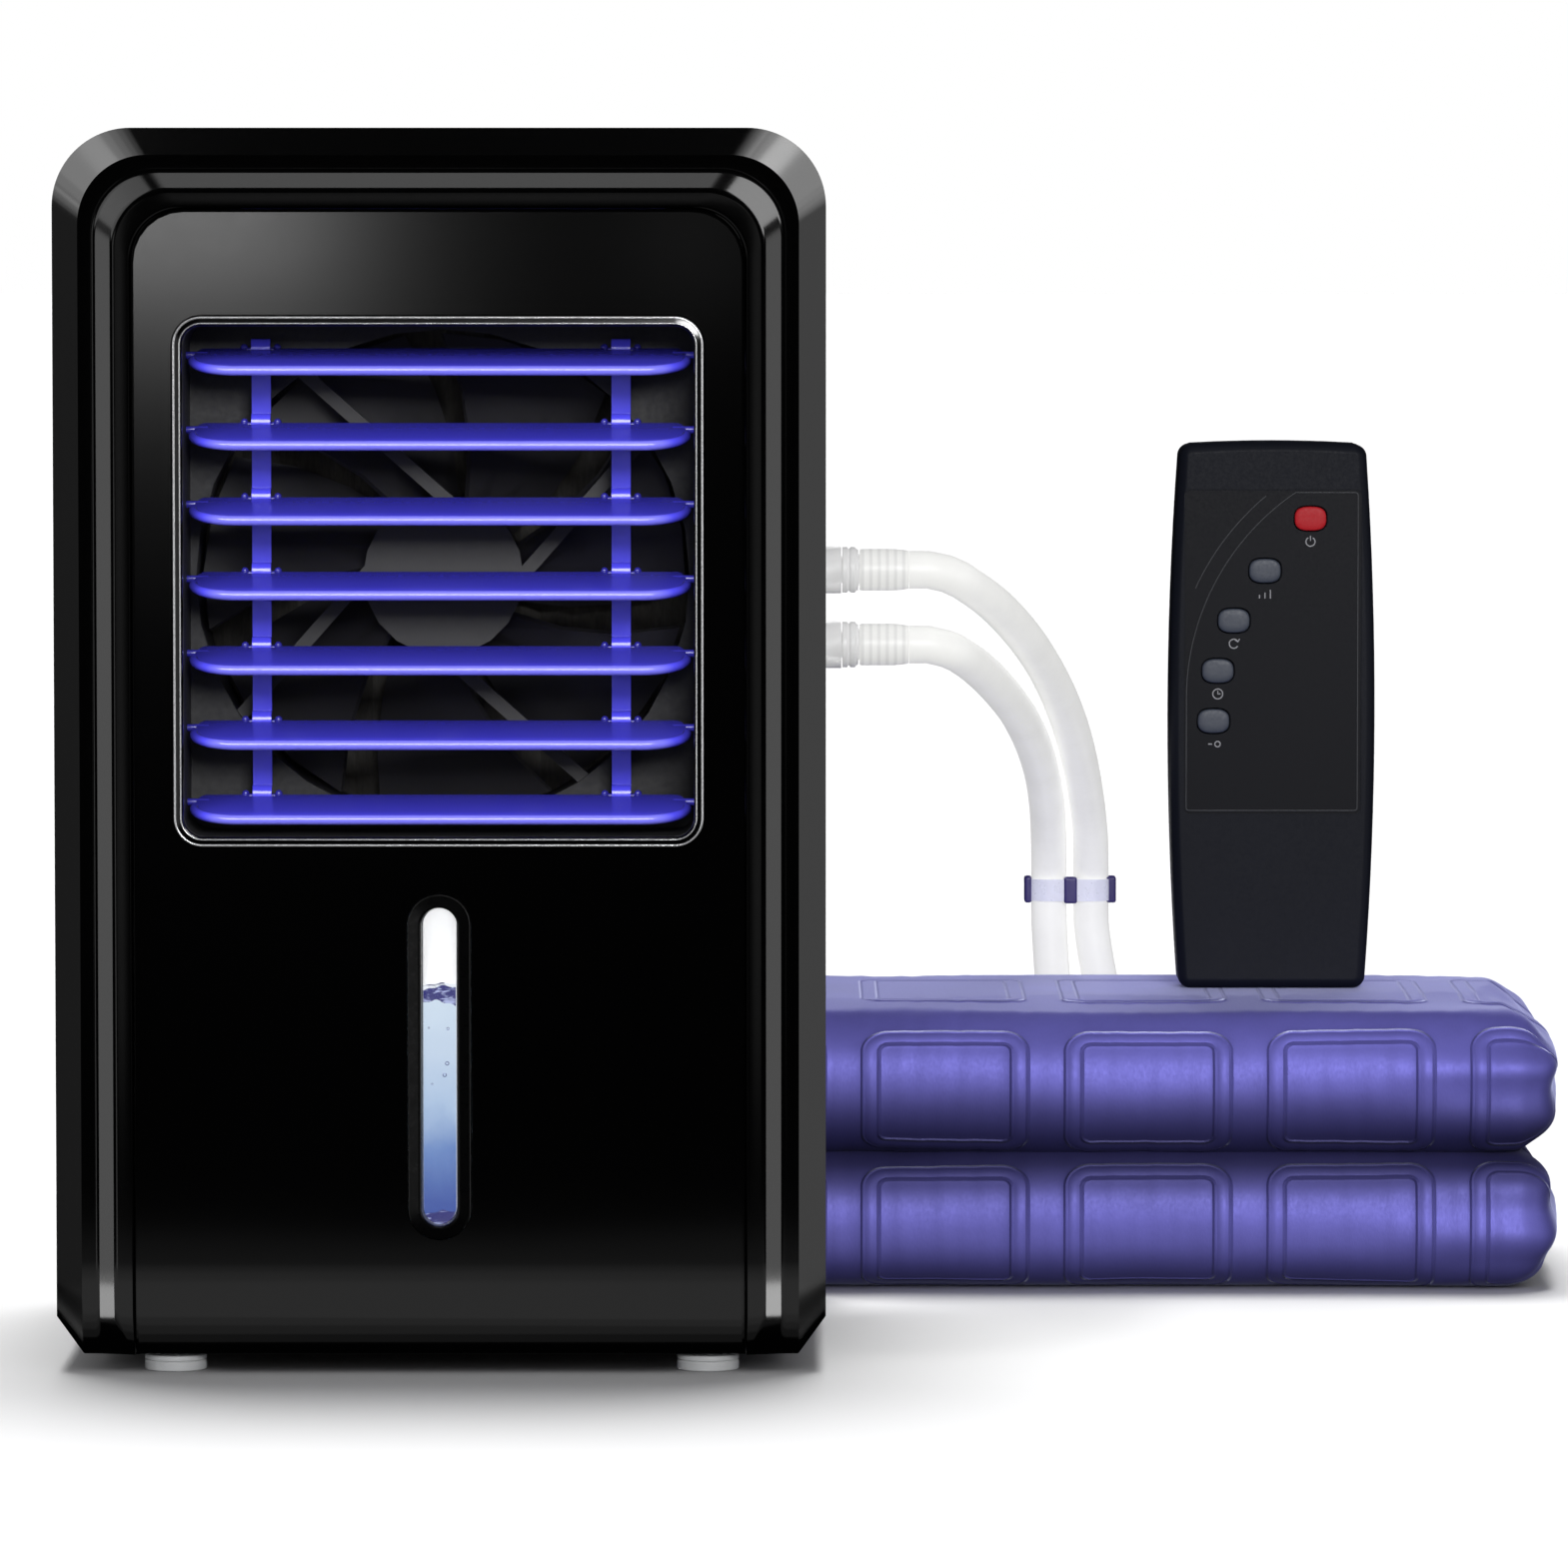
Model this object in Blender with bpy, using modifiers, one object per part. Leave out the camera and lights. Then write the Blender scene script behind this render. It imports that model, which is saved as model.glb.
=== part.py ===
"""Water cooling mattress pad: a tower with louvers, fan and tank, its two hoses, the
folded pad and a remote control.

Lengths are metres and +Z is up. Places are first measured from the tower's front
centre on the floor, with +X to the right and +Y to the back, and `at` then moves them
so that the part stands centred on the origin.
"""

import math

import bmesh
import bpy
from mathutils import Matrix, Vector

# Clearances shared by all pieces
SEAT = 0.0003
RUN = 0.0005
OVERLAP = 0.0010
MERGE_DISTANCE = 0.000001

# Tower housing
TOWER_WIDTH = 0.1860
TOWER_HEIGHT = 0.3000
TOWER_DEPTH = 0.1600
FOOT_HEIGHT = 0.0041
TOP_RADIUS = 0.0190
CORNER_CUT_WIDTH = 0.0067
CORNER_CUT_HEIGHT = 0.0091
SHELL_WALL = 0.0024
FOOT_RADIUS = 0.0075
FOOT_SIDE_INSET = 0.0285
FOOT_FRONT_Y = 0.0132
FOOT_BACK_INSET = 0.0200
FOOT_EDGE = 0.0008

# Front frame: slopes and bands from its outer edge in to the panel's groove
OUTER_SLOPE_WIDTH = 0.0065
OUTER_SLOPE_DEPTH = 0.0055
OUTER_BAND_WIDTH = 0.0038
INNER_SLOPE_WIDTH = 0.0046
INNER_SLOPE_DEPTH = 0.0030
INNER_BAND_WIDTH = 0.0043
INNER_BAND_SETBACK = 0.0008
FRAME_DEPTH = 0.0220
FRAME_WALL = 0.0022
LEDGE_WIDTH = 0.0048
GROOVE_WIDTH = 0.0010
CLOSING_HEIGHT = 0.0090

# Front panel, which rolls back at its foot
PANEL_THICKNESS = 0.0025
PANEL_RADIUS = 0.0120
PANEL_FOOT_GAP = 0.0007
ROLL_HEIGHT = 0.0230
ROLL_DEPTH = 0.0055

# Air grille: trim ring, cassette and slats
GRILLE_SIDE_MARGIN = 0.0293
GRILLE_TOP_MARGIN = 0.0450
GRILLE_RADIUS = 0.0070
TRIM_WIDTH = 0.0024
TRIM_PROUD = 0.0010
TRIM_EDGE = 0.0007
CASSETTE_DEPTH = 0.0340
FLANGE_LAP = 0.0028
FLANGE_THICKNESS = 0.0025
SLAT_COUNT = 7
SLAT_MARGIN = 0.0007
SLAT_TILT = 15
SLAT_PIVOT_Y = 0.0170
SLAT_END_GAP = 0.0045
SLAT_FRONT = 0.0134
SLAT_REAR = 0.0035
SLAT_THICKNESS = 0.0014
SLAT_END_LENGTH = 0.0100
SLAT_END_DEPTH = 0.0120
SLAT_REAR_CORNER = 0.0025
BEAD_RADIUS = 0.0011
PIVOT_RADIUS = 0.0009
PIVOT_REACH = 0.0014
LINK_REACH = 0.0046
LINK_PIN_RADIUS = 0.0006
LINK_BAR_INSET = 0.0157
LINK_BAR_WIDTH = 0.0053
LINK_BAR_THICKNESS = 0.0014
LINK_BAR_TAIL = 0.0022
HOOK_THICKNESS = 0.0008
HOOK_STRIP_ANGLE = 20
HOOK_END_ANGLE = 225
EAR_WIDTH = 0.0018
EAR_MARGIN = 0.0008

# Fan behind the slats
FAN_RING_MARGIN = 0.0002
FAN_RING_WALL = 0.0035
FAN_DEPTH = 0.0250
FAN_EAR_RADIUS = 0.0048
FAN_EAR_HOLE_RADIUS = 0.0022
FAN_EAR_THICKNESS = 0.0040
FAN_EAR_OFFSET = 0.0030
FAN_EAR_ANGLE = 60
MOTOR_RADIUS = 0.0195
MOTOR_SETBACK = 0.0006
MOTOR_THICKNESS = 0.0030
STRUT_WIDTH = 0.0032
STRUT_COUNT = 4
STRUT_START = 85
STRUT_SWEEP = 40
SHAFT_RADIUS = 0.0015
SHAFT_DEPTH = 0.0018
HUB_RADIUS = 0.0190
HUB_DEPTH = 0.0190
BLADE_COUNT = 7
BLADE_TIP_GAP = 0.0012
BLADE_THICKNESS = 0.0016
BLADE_ROOT_DEPTH = 0.0170
BLADE_TIP_DEPTH = 0.0120
BLADE_ANGLE = 42
BLADE_SWEEP = 18

# Level window in the front panel
WINDOW_WIDTH = 0.0150
WINDOW_LOW_Z = 0.0329
WINDOW_TOP_GAP = 0.0115
BEZEL_WIDTH = 0.0032
BEZEL_PROUD = 0.0009
BEZEL_DEPTH = 0.0054
BEZEL_EDGE = 0.0006
LENS_SETBACK = 0.0006

# Water system and electronics inside the housing
TANK_SIDE_INSET = 0.0270
TANK_FRONT_Y = 0.0060
TANK_BACK_INSET = 0.0200
TANK_TOP_GAP = 0.0096
TANK_RADIUS = 0.0080
TANK_WALL = 0.0020
PUMP_WIDTH = 0.0400
PUMP_DEPTH = 0.0340
PUMP_HEIGHT = 0.0300
PUMP_SIDE_GAP = 0.0310
PUMP_BACK_INSET = 0.0280
PUMP_CAP_RADIUS = 0.0125
PUMP_CAP_DEPTH = 0.0050
PUMP_SPOUT_RADIUS = 0.0040
PUMP_SPOUT_HEIGHT = 0.0120
WICK_SIDE_GAP = 0.0020
WICK_DEPTH = 0.0200
WICK_LAP = 0.0003
WICK_PLEATS = 14
WICK_PLEAT_DEPTH = 0.0030
CHUTE_WALL = 0.0020
CHUTE_DIP = 0.0060
BOARD_HALF_WIDTH = 0.0400
BOARD_HALF_DEPTH = 0.0150
BOARD_THICKNESS = 0.0016

# Top: control panel with its buttons, and the fill lid on its pin
CONTROLS_Y = 0.0480
CONTROLS_HALF_WIDTH = 0.0420
CONTROLS_HALF_DEPTH = 0.0160
CONTROLS_RADIUS = 0.0050
CONTROLS_LIP = 0.0020
CONTROLS_LIP_THICKNESS = 0.0020
CONTROLS_RIB_X = 0.0380
CONTROLS_RIB_HEIGHT = 0.0022
PANEL_BUTTON_RADIUS = 0.0055
PANEL_BUTTON_SPACING = 0.0180
PANEL_BUTTON_COUNT = 4
PANEL_BUTTON_LIP = 0.0011
PANEL_BUTTON_TRAVEL = 0.0008
PANEL_BUTTON_EDGE = 0.0006
LID_HALF_WIDTH = 0.0320
LID_FRONT_Y = 0.0840
LID_BACK_INSET = 0.0237
LID_BEAD_RADIUS = 0.0021
LID_PIN_RADIUS = 0.0010
LID_LUG_WIDTH = 0.0040
LID_LUG_DEPTH = 0.0060
LID_LUG_HEIGHT = 0.0042

# Back: cover with its intake, screws and power inlet
COVER_DEPTH = 0.0097
COVER_EDGE = 0.0030
SCREW_SIDE_INSET = 0.0080
SCREW_END_INSET = 0.0260
BOSS_RADIUS = 0.0060
BOSS_LENGTH = 0.0260
SCREW_RADIUS = 0.0015
SCREW_HEAD_RADIUS = 0.0034
SCREW_HEAD_HEIGHT = 0.0022
SCREW_LENGTH = 0.0200
SCREW_SOCKET_DEPTH = 0.0045
INTAKE_SLOTS = 12
INTAKE_SLOT_HEIGHT = 0.0034
INTAKE_PITCH = 0.0088
INTAKE_SIDE_INSET = 0.0410
INLET_SIDE_INSET = 0.0270
INLET_ABOVE_PAD = 0.0220
INLET_RADIUS = 0.0062
INLET_FLANGE_RADIUS = 0.0080
INLET_FLANGE_THICKNESS = 0.0015
INLET_BORE_RADIUS = 0.0036
INLET_LENGTH = 0.0140
INLET_FLOOR = 0.0020

# Hose ports on the right side, hoses and their couplings
HOSE_DIAMETER = 0.0096
PORT_BACK_INSET = 0.0250
PORT_HIGH_Z = 0.1886
PORT_LOW_Z = 0.1696
PORT_FLANGE_RADIUS = 0.0060
PORT_FLANGE_THICKNESS = 0.0041
PORT_NECK_RADIUS = 0.0042
PORT_BARB_RADIUS = 0.0033
PORT_BORE_RADIUS = 0.0020
PORT_BARB_LENGTH = 0.0125
PORT_TAIL_LENGTH = 0.0120
COUPLING_LENGTH = 0.0167
COUPLING_RIB_RADIUS = 0.0058
COUPLING_RIB_PITCH = 0.0022
COUPLING_RIBS = 2
COUPLING_RADIUS = 0.0052
COUPLING_FLARE_RADIUS = 0.0055
COUPLING_END_RADIUS = 0.0049
CLIP_Z = 0.0945
CLIP_HEIGHT = 0.0071
CLIP_WALL = 0.0012
HOSE_GAP_X = 0.0115
HOSE_CLIP_SIDE = 0.0620
HOSE_CLIP_BEHIND = 0.0105
HOSE_STEP_DIAMETERS = 2.4

# Coils of the spare hose on the floor behind the pad
COIL_SIDE = 0.1290
COIL_BEHIND = 0.0690
COIL_RADIUS = 0.0580
COIL_PITCH = 0.0102
COIL_TURNS = 2.5
COIL_LOOP_POINTS = 24
COIL_FLOOR_Z = 0.0049

# Folded pad: two layers, with welded channels round rectangles
PAD_SIDE = 0.1930
PAD_LENGTH = 0.3560
PAD_BEHIND = 0.0120
PAD_DEPTH = 0.1240
PAD_HEIGHT = 0.0730
PAD_NOSE = 0.0150
PAD_CREASE = 0.0050
PAD_CROWN = 0.0008
PAD_END_DRAW = 0.0050
PAD_END_LENGTH = 0.0120
CHANNEL_PITCH = 0.0526
CHANNEL_HALF_WIDTH = 0.0192
CHANNEL_HALF_BAND = 0.0024
CHANNEL_HEIGHT = 0.0010
LAST_CHANNEL_INSET = 0.0035
PAD_PORT_SPACING = 0.0160
PAD_PORT_SIDE = 0.0280
PAD_PORT_FLANGE_RADIUS = 0.0060
PAD_PORT_FLANGE_THICKNESS = 0.0020
PAD_PORT_RADIUS = 0.0050
PAD_PORT_BORE_RADIUS = 0.0030
PAD_PORT_LENGTH = 0.0220

# Remote control standing on the pad
REMOTE_SIDE = 0.1192
REMOTE_ON_PAD = 0.0650
REMOTE_THICKNESS = 0.0180
REMOTE_FRONT_THICKNESS = 0.0055
REMOTE_HEIGHT = 0.1441
REMOTE_END_HALF_WIDTH = 0.0248
REMOTE_MIDDLE_HALF_WIDTH = 0.0272
REMOTE_CORNER = 0.0032
REMOTE_FRONT_EDGE = 0.0016
REMOTE_BACK_EDGE = 0.0024
FACE_HALF_WIDTH = 0.0235
FACE_HALF_HEIGHT = 0.0430
FACE_RISE = 0.0172
FACE_RADIUS = 0.0016
FACE_DEPTH = 0.0004
KEY_HALF_WIDTH = 0.0042
KEY_HALF_HEIGHT = 0.0032
KEY_PROUD = 0.0006
KEY_DEPTH = 0.0020
KEY_TRAVEL = 0.0008
KEY_EDGE = 0.0005
BAY_HALF_WIDTH = 0.0130
BAY_HALF_HEIGHT = 0.0240
BAY_DROP = 0.0300
BATTERY_LIP = 0.0030
BATTERY_COVER_THICKNESS = 0.0015

# Counts and angles
ROUND_SIDES = 12
PIN_SIDES = 8
LINK_SIDES = 6
EAR_SIDES = 10
KEY_SIDES = 14
BUTTON_SIDES = 16
DISC_SIDES = 20
HUB_SIDES = 28
HOOK_STEPS = 6
CLIP_STEPS = 8
REMOTE_CORNER_STEPS = 3
SKIPPED_POINTS = 8
CURVE_STEPS = 12
FAN_SIDES = 32
CORNER_STEPS = 5
SHARP_ANGLE = 40
BEVEL_ANGLE = 50

# Shares along a piece, of the sizes that they follow
LEG_ROW_SHARES = (0.0, 0.08, 0.2, 0.4, 0.68, 1.0)
ROLL_CUT_SHARES = (0.1, 0.25, 0.45, 0.7, 1.0)
CLOSING_SHARE = 0.9
BLADE_RADIUS_SHARES = (0.0, 0.33, 0.66, 1.0)
BLADE_CHORD_SHARES = (-1.0, -0.33, 0.33, 1.0)
PAD_END_SHARES = (0.0, 0.15, 0.5)
PAD_TOP_SHARES = (0.22, 0.5, 0.78)
REMOTE_SIDE_SHARES = (-0.66, -0.33, 0.0, 0.33, 0.66)

# Points on the noses of the pad's folds: each angle in degrees, and its share of the relief
FRONT_LOW_NOSE_SHARES = ((-90, 0), (-50, 0.5), (-12, 1), (25, 1), (62, 0.6))
FRONT_HIGH_NOSE_SHARES = ((-62, 0.6), (-25, 1), (12, 1), (50, 0.5), (90, 0))
BACK_HIGH_NOSE_SHARES = ((90, 0), (30, 1), (-30, 1))
BACK_LOW_NOSE_SHARES = ((30, 1), (0, 0), (-45, 0.5), (-90, 0))

# Places of the remote's keys: across from its middle line, and up from its middle
KEY_PLACES = (
    (0.0099, 0.0525),
    (-0.0021, 0.0387),
    (-0.0103, 0.0255),
    (-0.0145, 0.0122),
    (-0.0156, -0.0011),
)

# Routes of the hoses, from the tower's right side, its back and the floor: from their
# couplings to the clip, and on to their coils
UPPER_ROUTE = (
    (0.0323, -0.0238, 0.1872),
    (0.0360, -0.0200, 0.1850),
    (0.0439, -0.0060, 0.1788),
    (0.0521, 0.0150, 0.1694),
    (0.0588, 0.0400, 0.1588),
    (0.0643, 0.0670, 0.1468),
    (0.0683, 0.0940, 0.1346),
    (0.0711, 0.1180, 0.1224),
    (0.0729, 0.1360, 0.1110),
)
UPPER_DROP = (
    (0.0738, 0.1469, 0.0830),
    (0.0760, 0.1470, 0.0700),
    (0.0795, 0.1470, 0.0560),
    (0.0855, 0.1470, 0.0430),
    (0.0940, 0.1470, 0.0325),
    (0.1020, 0.1470, 0.0270),
)
LOWER_ROUTE = (
    (0.0320, -0.0238, 0.1682),
    (0.0340, -0.0200, 0.1670),
    (0.0392, -0.0080, 0.1630),
    (0.0451, 0.0120, 0.1566),
    (0.0509, 0.0390, 0.1484),
    (0.0556, 0.0690, 0.1388),
    (0.0588, 0.0980, 0.1290),
    (0.0608, 0.1220, 0.1186),
    (0.0617, 0.1390, 0.1085),
)
LOWER_DROP = (
    (0.0622, 0.1469, 0.0830),
    (0.0632, 0.1470, 0.0690),
    (0.0655, 0.1470, 0.0520),
    (0.0710, 0.1470, 0.0340),
    (0.0810, 0.1470, 0.0185),
    (0.0930, 0.1470, 0.0092),
    (0.1020, 0.1470, 0.0058),
)

# Ends of the hoses, from the far side of their coils to the ports of the pad
UPPER_END = (
    (0.1060, 0.2630, 0.0345),
    (0.0830, 0.2630, 0.0305),
    (0.0560, 0.2575, 0.0215),
    (0.0310, 0.2410, 0.0120),
    (0.0160, 0.2180, 0.0065),
    (0.0120, 0.1960, 0.0080),
    (0.0120, 0.1810, 0.0150),
)
LOWER_END = (
    (0.1060, 0.2630, 0.0146),
    (0.0830, 0.2630, 0.0115),
    (0.0630, 0.2590, 0.0068),
    (0.0450, 0.2480, 0.0050),
    (0.0330, 0.2310, 0.0050),
    (0.0282, 0.2100, 0.0052),
    (0.0280, 0.1900, 0.0110),
    (0.0280, 0.1800, 0.0155),
)

# Surface finishes: colour, roughness and metallic value
FINISHES = {
    "gloss_black": ((0.012, 0.012, 0.014), 0.12, 0.0),
    "satin_black": ((0.020, 0.020, 0.022), 0.35, 0.0),
    "dark_plastic": ((0.035, 0.035, 0.040), 0.50, 0.0),
    "louver_blue": ((0.075, 0.045, 0.550), 0.25, 0.0),
    "clear_plastic": ((0.800, 0.840, 0.850), 0.10, 0.0),
    "tank_plastic": ((0.550, 0.700, 0.850), 0.20, 0.0),
    "foot_rubber": ((0.550, 0.550, 0.550), 0.60, 0.0),
    "hose_plastic": ((0.850, 0.850, 0.840), 0.30, 0.0),
    "pad_fabric": ((0.120, 0.100, 0.480), 0.60, 0.0),
    "remote_black": ((0.015, 0.017, 0.025), 0.45, 0.0),
    "key_grey": ((0.230, 0.250, 0.290), 0.50, 0.0),
    "key_red": ((0.700, 0.020, 0.020), 0.40, 0.0),
    "board_green": ((0.020, 0.160, 0.060), 0.50, 0.0),
    "wick_paper": ((0.420, 0.350, 0.220), 0.90, 0.0),
    "screw_steel": ((0.600, 0.600, 0.620), 0.30, 1.0),
}

PART_COLLECTION = "water_cooling_pad"
TOOL_COLLECTION = "cutters"

# Places worked out from the sizes above
HALF_WIDTH = TOWER_WIDTH / 2
FOOT_X = HALF_WIDTH - FOOT_SIDE_INSET
FOOT_BACK_Y = TOWER_DEPTH - FOOT_BACK_INSET
GRILLE_SIZE = TOWER_WIDTH - 2 * GRILLE_SIDE_MARGIN
GRILLE_Z = TOWER_HEIGHT - GRILLE_TOP_MARGIN - GRILLE_SIZE / 2
GRILLE_LOW_Z = GRILLE_Z - GRILLE_SIZE / 2
FLANGE_SIZE = GRILLE_SIZE + 2 * FLANGE_LAP
SLAT_PITCH = (GRILLE_SIZE - 2 * SLAT_MARGIN) / SLAT_COUNT
SLAT_HALF_LENGTH = GRILLE_SIZE / 2 - SLAT_END_GAP
LINK_BAR_X = SLAT_HALF_LENGTH - LINK_BAR_INSET
FAN_RING_RADIUS = GRILLE_SIZE / 2 - FAN_RING_MARGIN
FAN_BORE_RADIUS = FAN_RING_RADIUS - FAN_RING_WALL
FAN_EAR_REACH = FAN_RING_RADIUS + FAN_EAR_OFFSET
WINDOW_HIGH_Z = GRILLE_LOW_Z - WINDOW_TOP_GAP
WINDOW_HEIGHT = WINDOW_HIGH_Z - WINDOW_LOW_Z
WINDOW_Z = (WINDOW_LOW_Z + WINDOW_HIGH_Z) / 2
TANK_HALF_WIDTH = HALF_WIDTH - TANK_SIDE_INSET
TANK_BACK_Y = TOWER_DEPTH - TANK_BACK_INSET
TANK_TOP_Z = GRILLE_LOW_Z - TANK_TOP_GAP
PUMP_X = TANK_HALF_WIDTH - PUMP_SIDE_GAP
PUMP_Y = TANK_BACK_Y - PUMP_BACK_INSET
WICK_HALF_WIDTH = TANK_HALF_WIDTH - WICK_SIDE_GAP
WICK_HEIGHT = GRILLE_SIZE + 2 * WICK_LAP
CHUTE_BOTTOM_Z = TANK_TOP_Z - CHUTE_DIP
SCREW_X = HALF_WIDTH - SCREW_SIDE_INSET
SCREW_LOW_Z = SCREW_END_INSET
SCREW_HIGH_Z = TOWER_HEIGHT - SCREW_END_INSET
INTAKE_HALF_WIDTH = HALF_WIDTH - INTAKE_SIDE_INSET
INLET_X = INLET_SIDE_INSET - HALF_WIDTH
INLET_Z = PAD_HEIGHT + INLET_ABOVE_PAD
PORT_Y = TOWER_DEPTH - PORT_BACK_INSET
PAD_RIGHT = HALF_WIDTH + PAD_SIDE
PAD_FRONT_Y = TOWER_DEPTH + PAD_BEHIND
PAD_BACK_Y = PAD_FRONT_Y + PAD_DEPTH
PAD_PORT_X = HALF_WIDTH + PAD_PORT_SIDE
HOSE_CLIP_X = HALF_WIDTH + HOSE_CLIP_SIDE
HOSE_CLIP_Y = PAD_BACK_Y + HOSE_CLIP_BEHIND
COIL_X = HALF_WIDTH + COIL_SIDE
COIL_Y = PAD_BACK_Y + COIL_BEHIND
REMOTE_X = HALF_WIDTH + REMOTE_SIDE
REMOTE_FRONT_Y = PAD_FRONT_Y + REMOTE_ON_PAD
PANEL_BACK_Y = PANEL_THICKNESS
BEHIND_PANEL_Y = PANEL_BACK_Y + SEAT
PANEL_INSET = (
    OUTER_SLOPE_WIDTH + OUTER_BAND_WIDTH + INNER_SLOPE_WIDTH + INNER_BAND_WIDTH + GROOVE_WIDTH
)
SHELL_FRONT_Y = FRAME_DEPTH + SEAT
SHELL_BACK_Y = TOWER_DEPTH - COVER_DEPTH - SEAT
SHELL_FLOOR_Z = FOOT_HEIGHT + SHELL_WALL
SHELL_CEILING_Z = TOWER_HEIGHT - SHELL_WALL
FAN_FRONT_Y = CASSETTE_DEPTH + SEAT
FAN_BACK_Y = FAN_FRONT_Y + FAN_DEPTH
MOTOR_FRONT_Y = FAN_FRONT_Y + MOTOR_SETBACK
MOTOR_BACK_Y = MOTOR_FRONT_Y + MOTOR_THICKNESS
ROTOR_FRONT_Y = MOTOR_BACK_Y + RUN
WICK_FRONT_Y = FAN_BACK_Y + SEAT
TANK_FLOOR_Z = SHELL_FLOOR_Z + SEAT
LID_BACK_Y = TOWER_DEPTH - LID_BACK_INSET
LID_PIN_Y = LID_BACK_Y - SEAT - LID_BEAD_RADIUS
LID_PIN_Z = TOWER_HEIGHT - LID_BEAD_RADIUS
CONTROLS_BOTTOM_Z = SHELL_CEILING_Z - SEAT - CONTROLS_LIP_THICKNESS
BOARD_TOP_Z = CONTROLS_BOTTOM_Z - CONTROLS_RIB_HEIGHT - SEAT
HOOK_INNER_RADIUS = LINK_PIN_RADIUS + SEAT
HOOK_OUTER_RADIUS = HOOK_INNER_RADIUS + HOOK_THICKNESS
PAD_LAYER_HEIGHT = (PAD_HEIGHT - PAD_CROWN - CHANNEL_HEIGHT - SEAT) / 2
PAD_PORT_Z = PAD_LAYER_HEIGHT / 2
PAD_PORT_TIP_Y = PAD_BACK_Y + SEAT + PAD_PORT_LENGTH
COUPLING_END_X = HALF_WIDTH + SEAT + PORT_FLANGE_THICKNESS + SEAT + COUPLING_LENGTH
REMOTE_BOTTOM_Z = PAD_HEIGHT + SEAT
REMOTE_Z = REMOTE_BOTTOM_Z + REMOTE_HEIGHT / 2
REMOTE_SPLIT_Y = REMOTE_FRONT_Y + REMOTE_FRONT_THICKNESS
REMOTE_BACK_Y = REMOTE_FRONT_Y + REMOTE_THICKNESS
MIDDLE_X = (PAD_RIGHT - HALF_WIDTH) / 2
MIDDLE_Y = (PAD_PORT_TIP_Y - TRIM_PROUD) / 2

# Planes in which flat outlines are drawn, and the way across each
PLANES = {
    "front": (Matrix(((1, 0, 0, 0), (0, 0, -1, 0), (0, 1, 0, 0), (0, 0, 0, 1))), Vector((0, 1, 0))),
    "side": (Matrix(((0, 0, 1, 0), (1, 0, 0, 0), (0, 1, 0, 0), (0, 0, 0, 1))), Vector((1, 0, 0))),
    "top": (Matrix.Identity(4), Vector((0, 0, 1))),
}


def at(x, y, z):
    """Turn a place measured from the tower's front centre into the part's own frame."""
    return Vector((x - MIDDLE_X, y - MIDDLE_Y, z))


def start_scene():
    """Empty the scene and make the two collections."""
    for obj in list(bpy.data.objects):
        bpy.data.objects.remove(obj)
    for name in (PART_COLLECTION, TOOL_COLLECTION):
        bpy.context.scene.collection.children.link(bpy.data.collections.new(name))


def finish_material(name, finish):
    """A plain Principled material of one of the finishes."""
    colour, roughness, metallic = FINISHES[finish]
    material = bpy.data.materials.new(name + "_finish")
    material.use_nodes = True
    shader = material.node_tree.nodes["Principled BSDF"]
    shader.inputs["Base Color"].default_value = (*colour, 1)
    shader.inputs["Roughness"].default_value = roughness
    shader.inputs["Metallic"].default_value = metallic
    return material


def add_part(name, data, finish, pivot=(0, 0, 0)):
    """Give a shape, made at its place on the tower, its node, material and pivot."""
    data.transform(Matrix.Translation(-Vector(pivot)))
    part = bpy.data.objects.new(name, data)
    part.location = at(*pivot)
    data.materials.append(finish_material(name, finish))
    bpy.data.collections[PART_COLLECTION].objects.link(part)
    return part


def add_copy(name, part, finish, move):
    """A second node of the same shape, moved from the first."""
    copy = bpy.data.objects.new(name, part.data.copy())
    copy.location = part.location + Vector(move)
    copy.rotation_euler = part.rotation_euler
    copy.data.materials.clear()
    copy.data.materials.append(finish_material(name, finish))
    bpy.data.collections[PART_COLLECTION].objects.link(copy)
    return copy


def use_tool(part, mesh, operation):
    """Cut a shape made at its place on the tower out of a part, or join it on."""
    tool = bpy.data.objects.new(f"{part.name}_{operation.lower()}", mesh)
    tool.location = at(0, 0, 0)
    tool.hide_render = True
    tool.display_type = "WIRE"
    bpy.data.collections[TOOL_COLLECTION].objects.link(tool)
    step = part.modifiers.new(operation.lower(), "BOOLEAN")
    step.operation = operation
    step.object = tool


def cut(part, *meshes):
    """Cut shapes out of a part."""
    for mesh in meshes:
        use_tool(part, mesh, "DIFFERENCE")


def join(part, *meshes):
    """Join shapes on to a part."""
    for mesh in meshes:
        use_tool(part, mesh, "UNION")


def round_edges(part, width, segments=1):
    """Round the sharp edges of a part."""
    bevel = part.modifiers.new("edges", "BEVEL")
    bevel.width = width
    bevel.segments = segments
    bevel.limit_method = "ANGLE"
    bevel.angle_limit = math.radians(BEVEL_ANGLE)


def add_wall(part, thickness):
    """Give an open surface its wall, on the inside."""
    wall = part.modifiers.new("wall", "SOLIDIFY")
    wall.thickness = thickness
    wall.offset = -1
    wall.use_even_offset = True


def shade_round(mesh):
    """Smooth a mesh, apart from its sharp edges."""
    mesh.shade_smooth()
    mesh.set_sharp_from_angle(angle=math.radians(SHARP_ANGLE))


def merge_flat_faces(bm):
    """Join the triangles of flat faces, so that their edges can be rounded."""
    limit = math.radians(1)
    bmesh.ops.dissolve_limit(bm, angle_limit=limit, verts=bm.verts, edges=bm.edges)


def mesh_from(bm):
    """Turn working geometry into a mesh with its faces pointing out."""
    bmesh.ops.recalc_face_normals(bm, faces=bm.faces)
    mesh = bpy.data.meshes.new("shape")
    bm.to_mesh(mesh)
    bm.free()
    shade_round(mesh)
    return mesh


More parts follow.
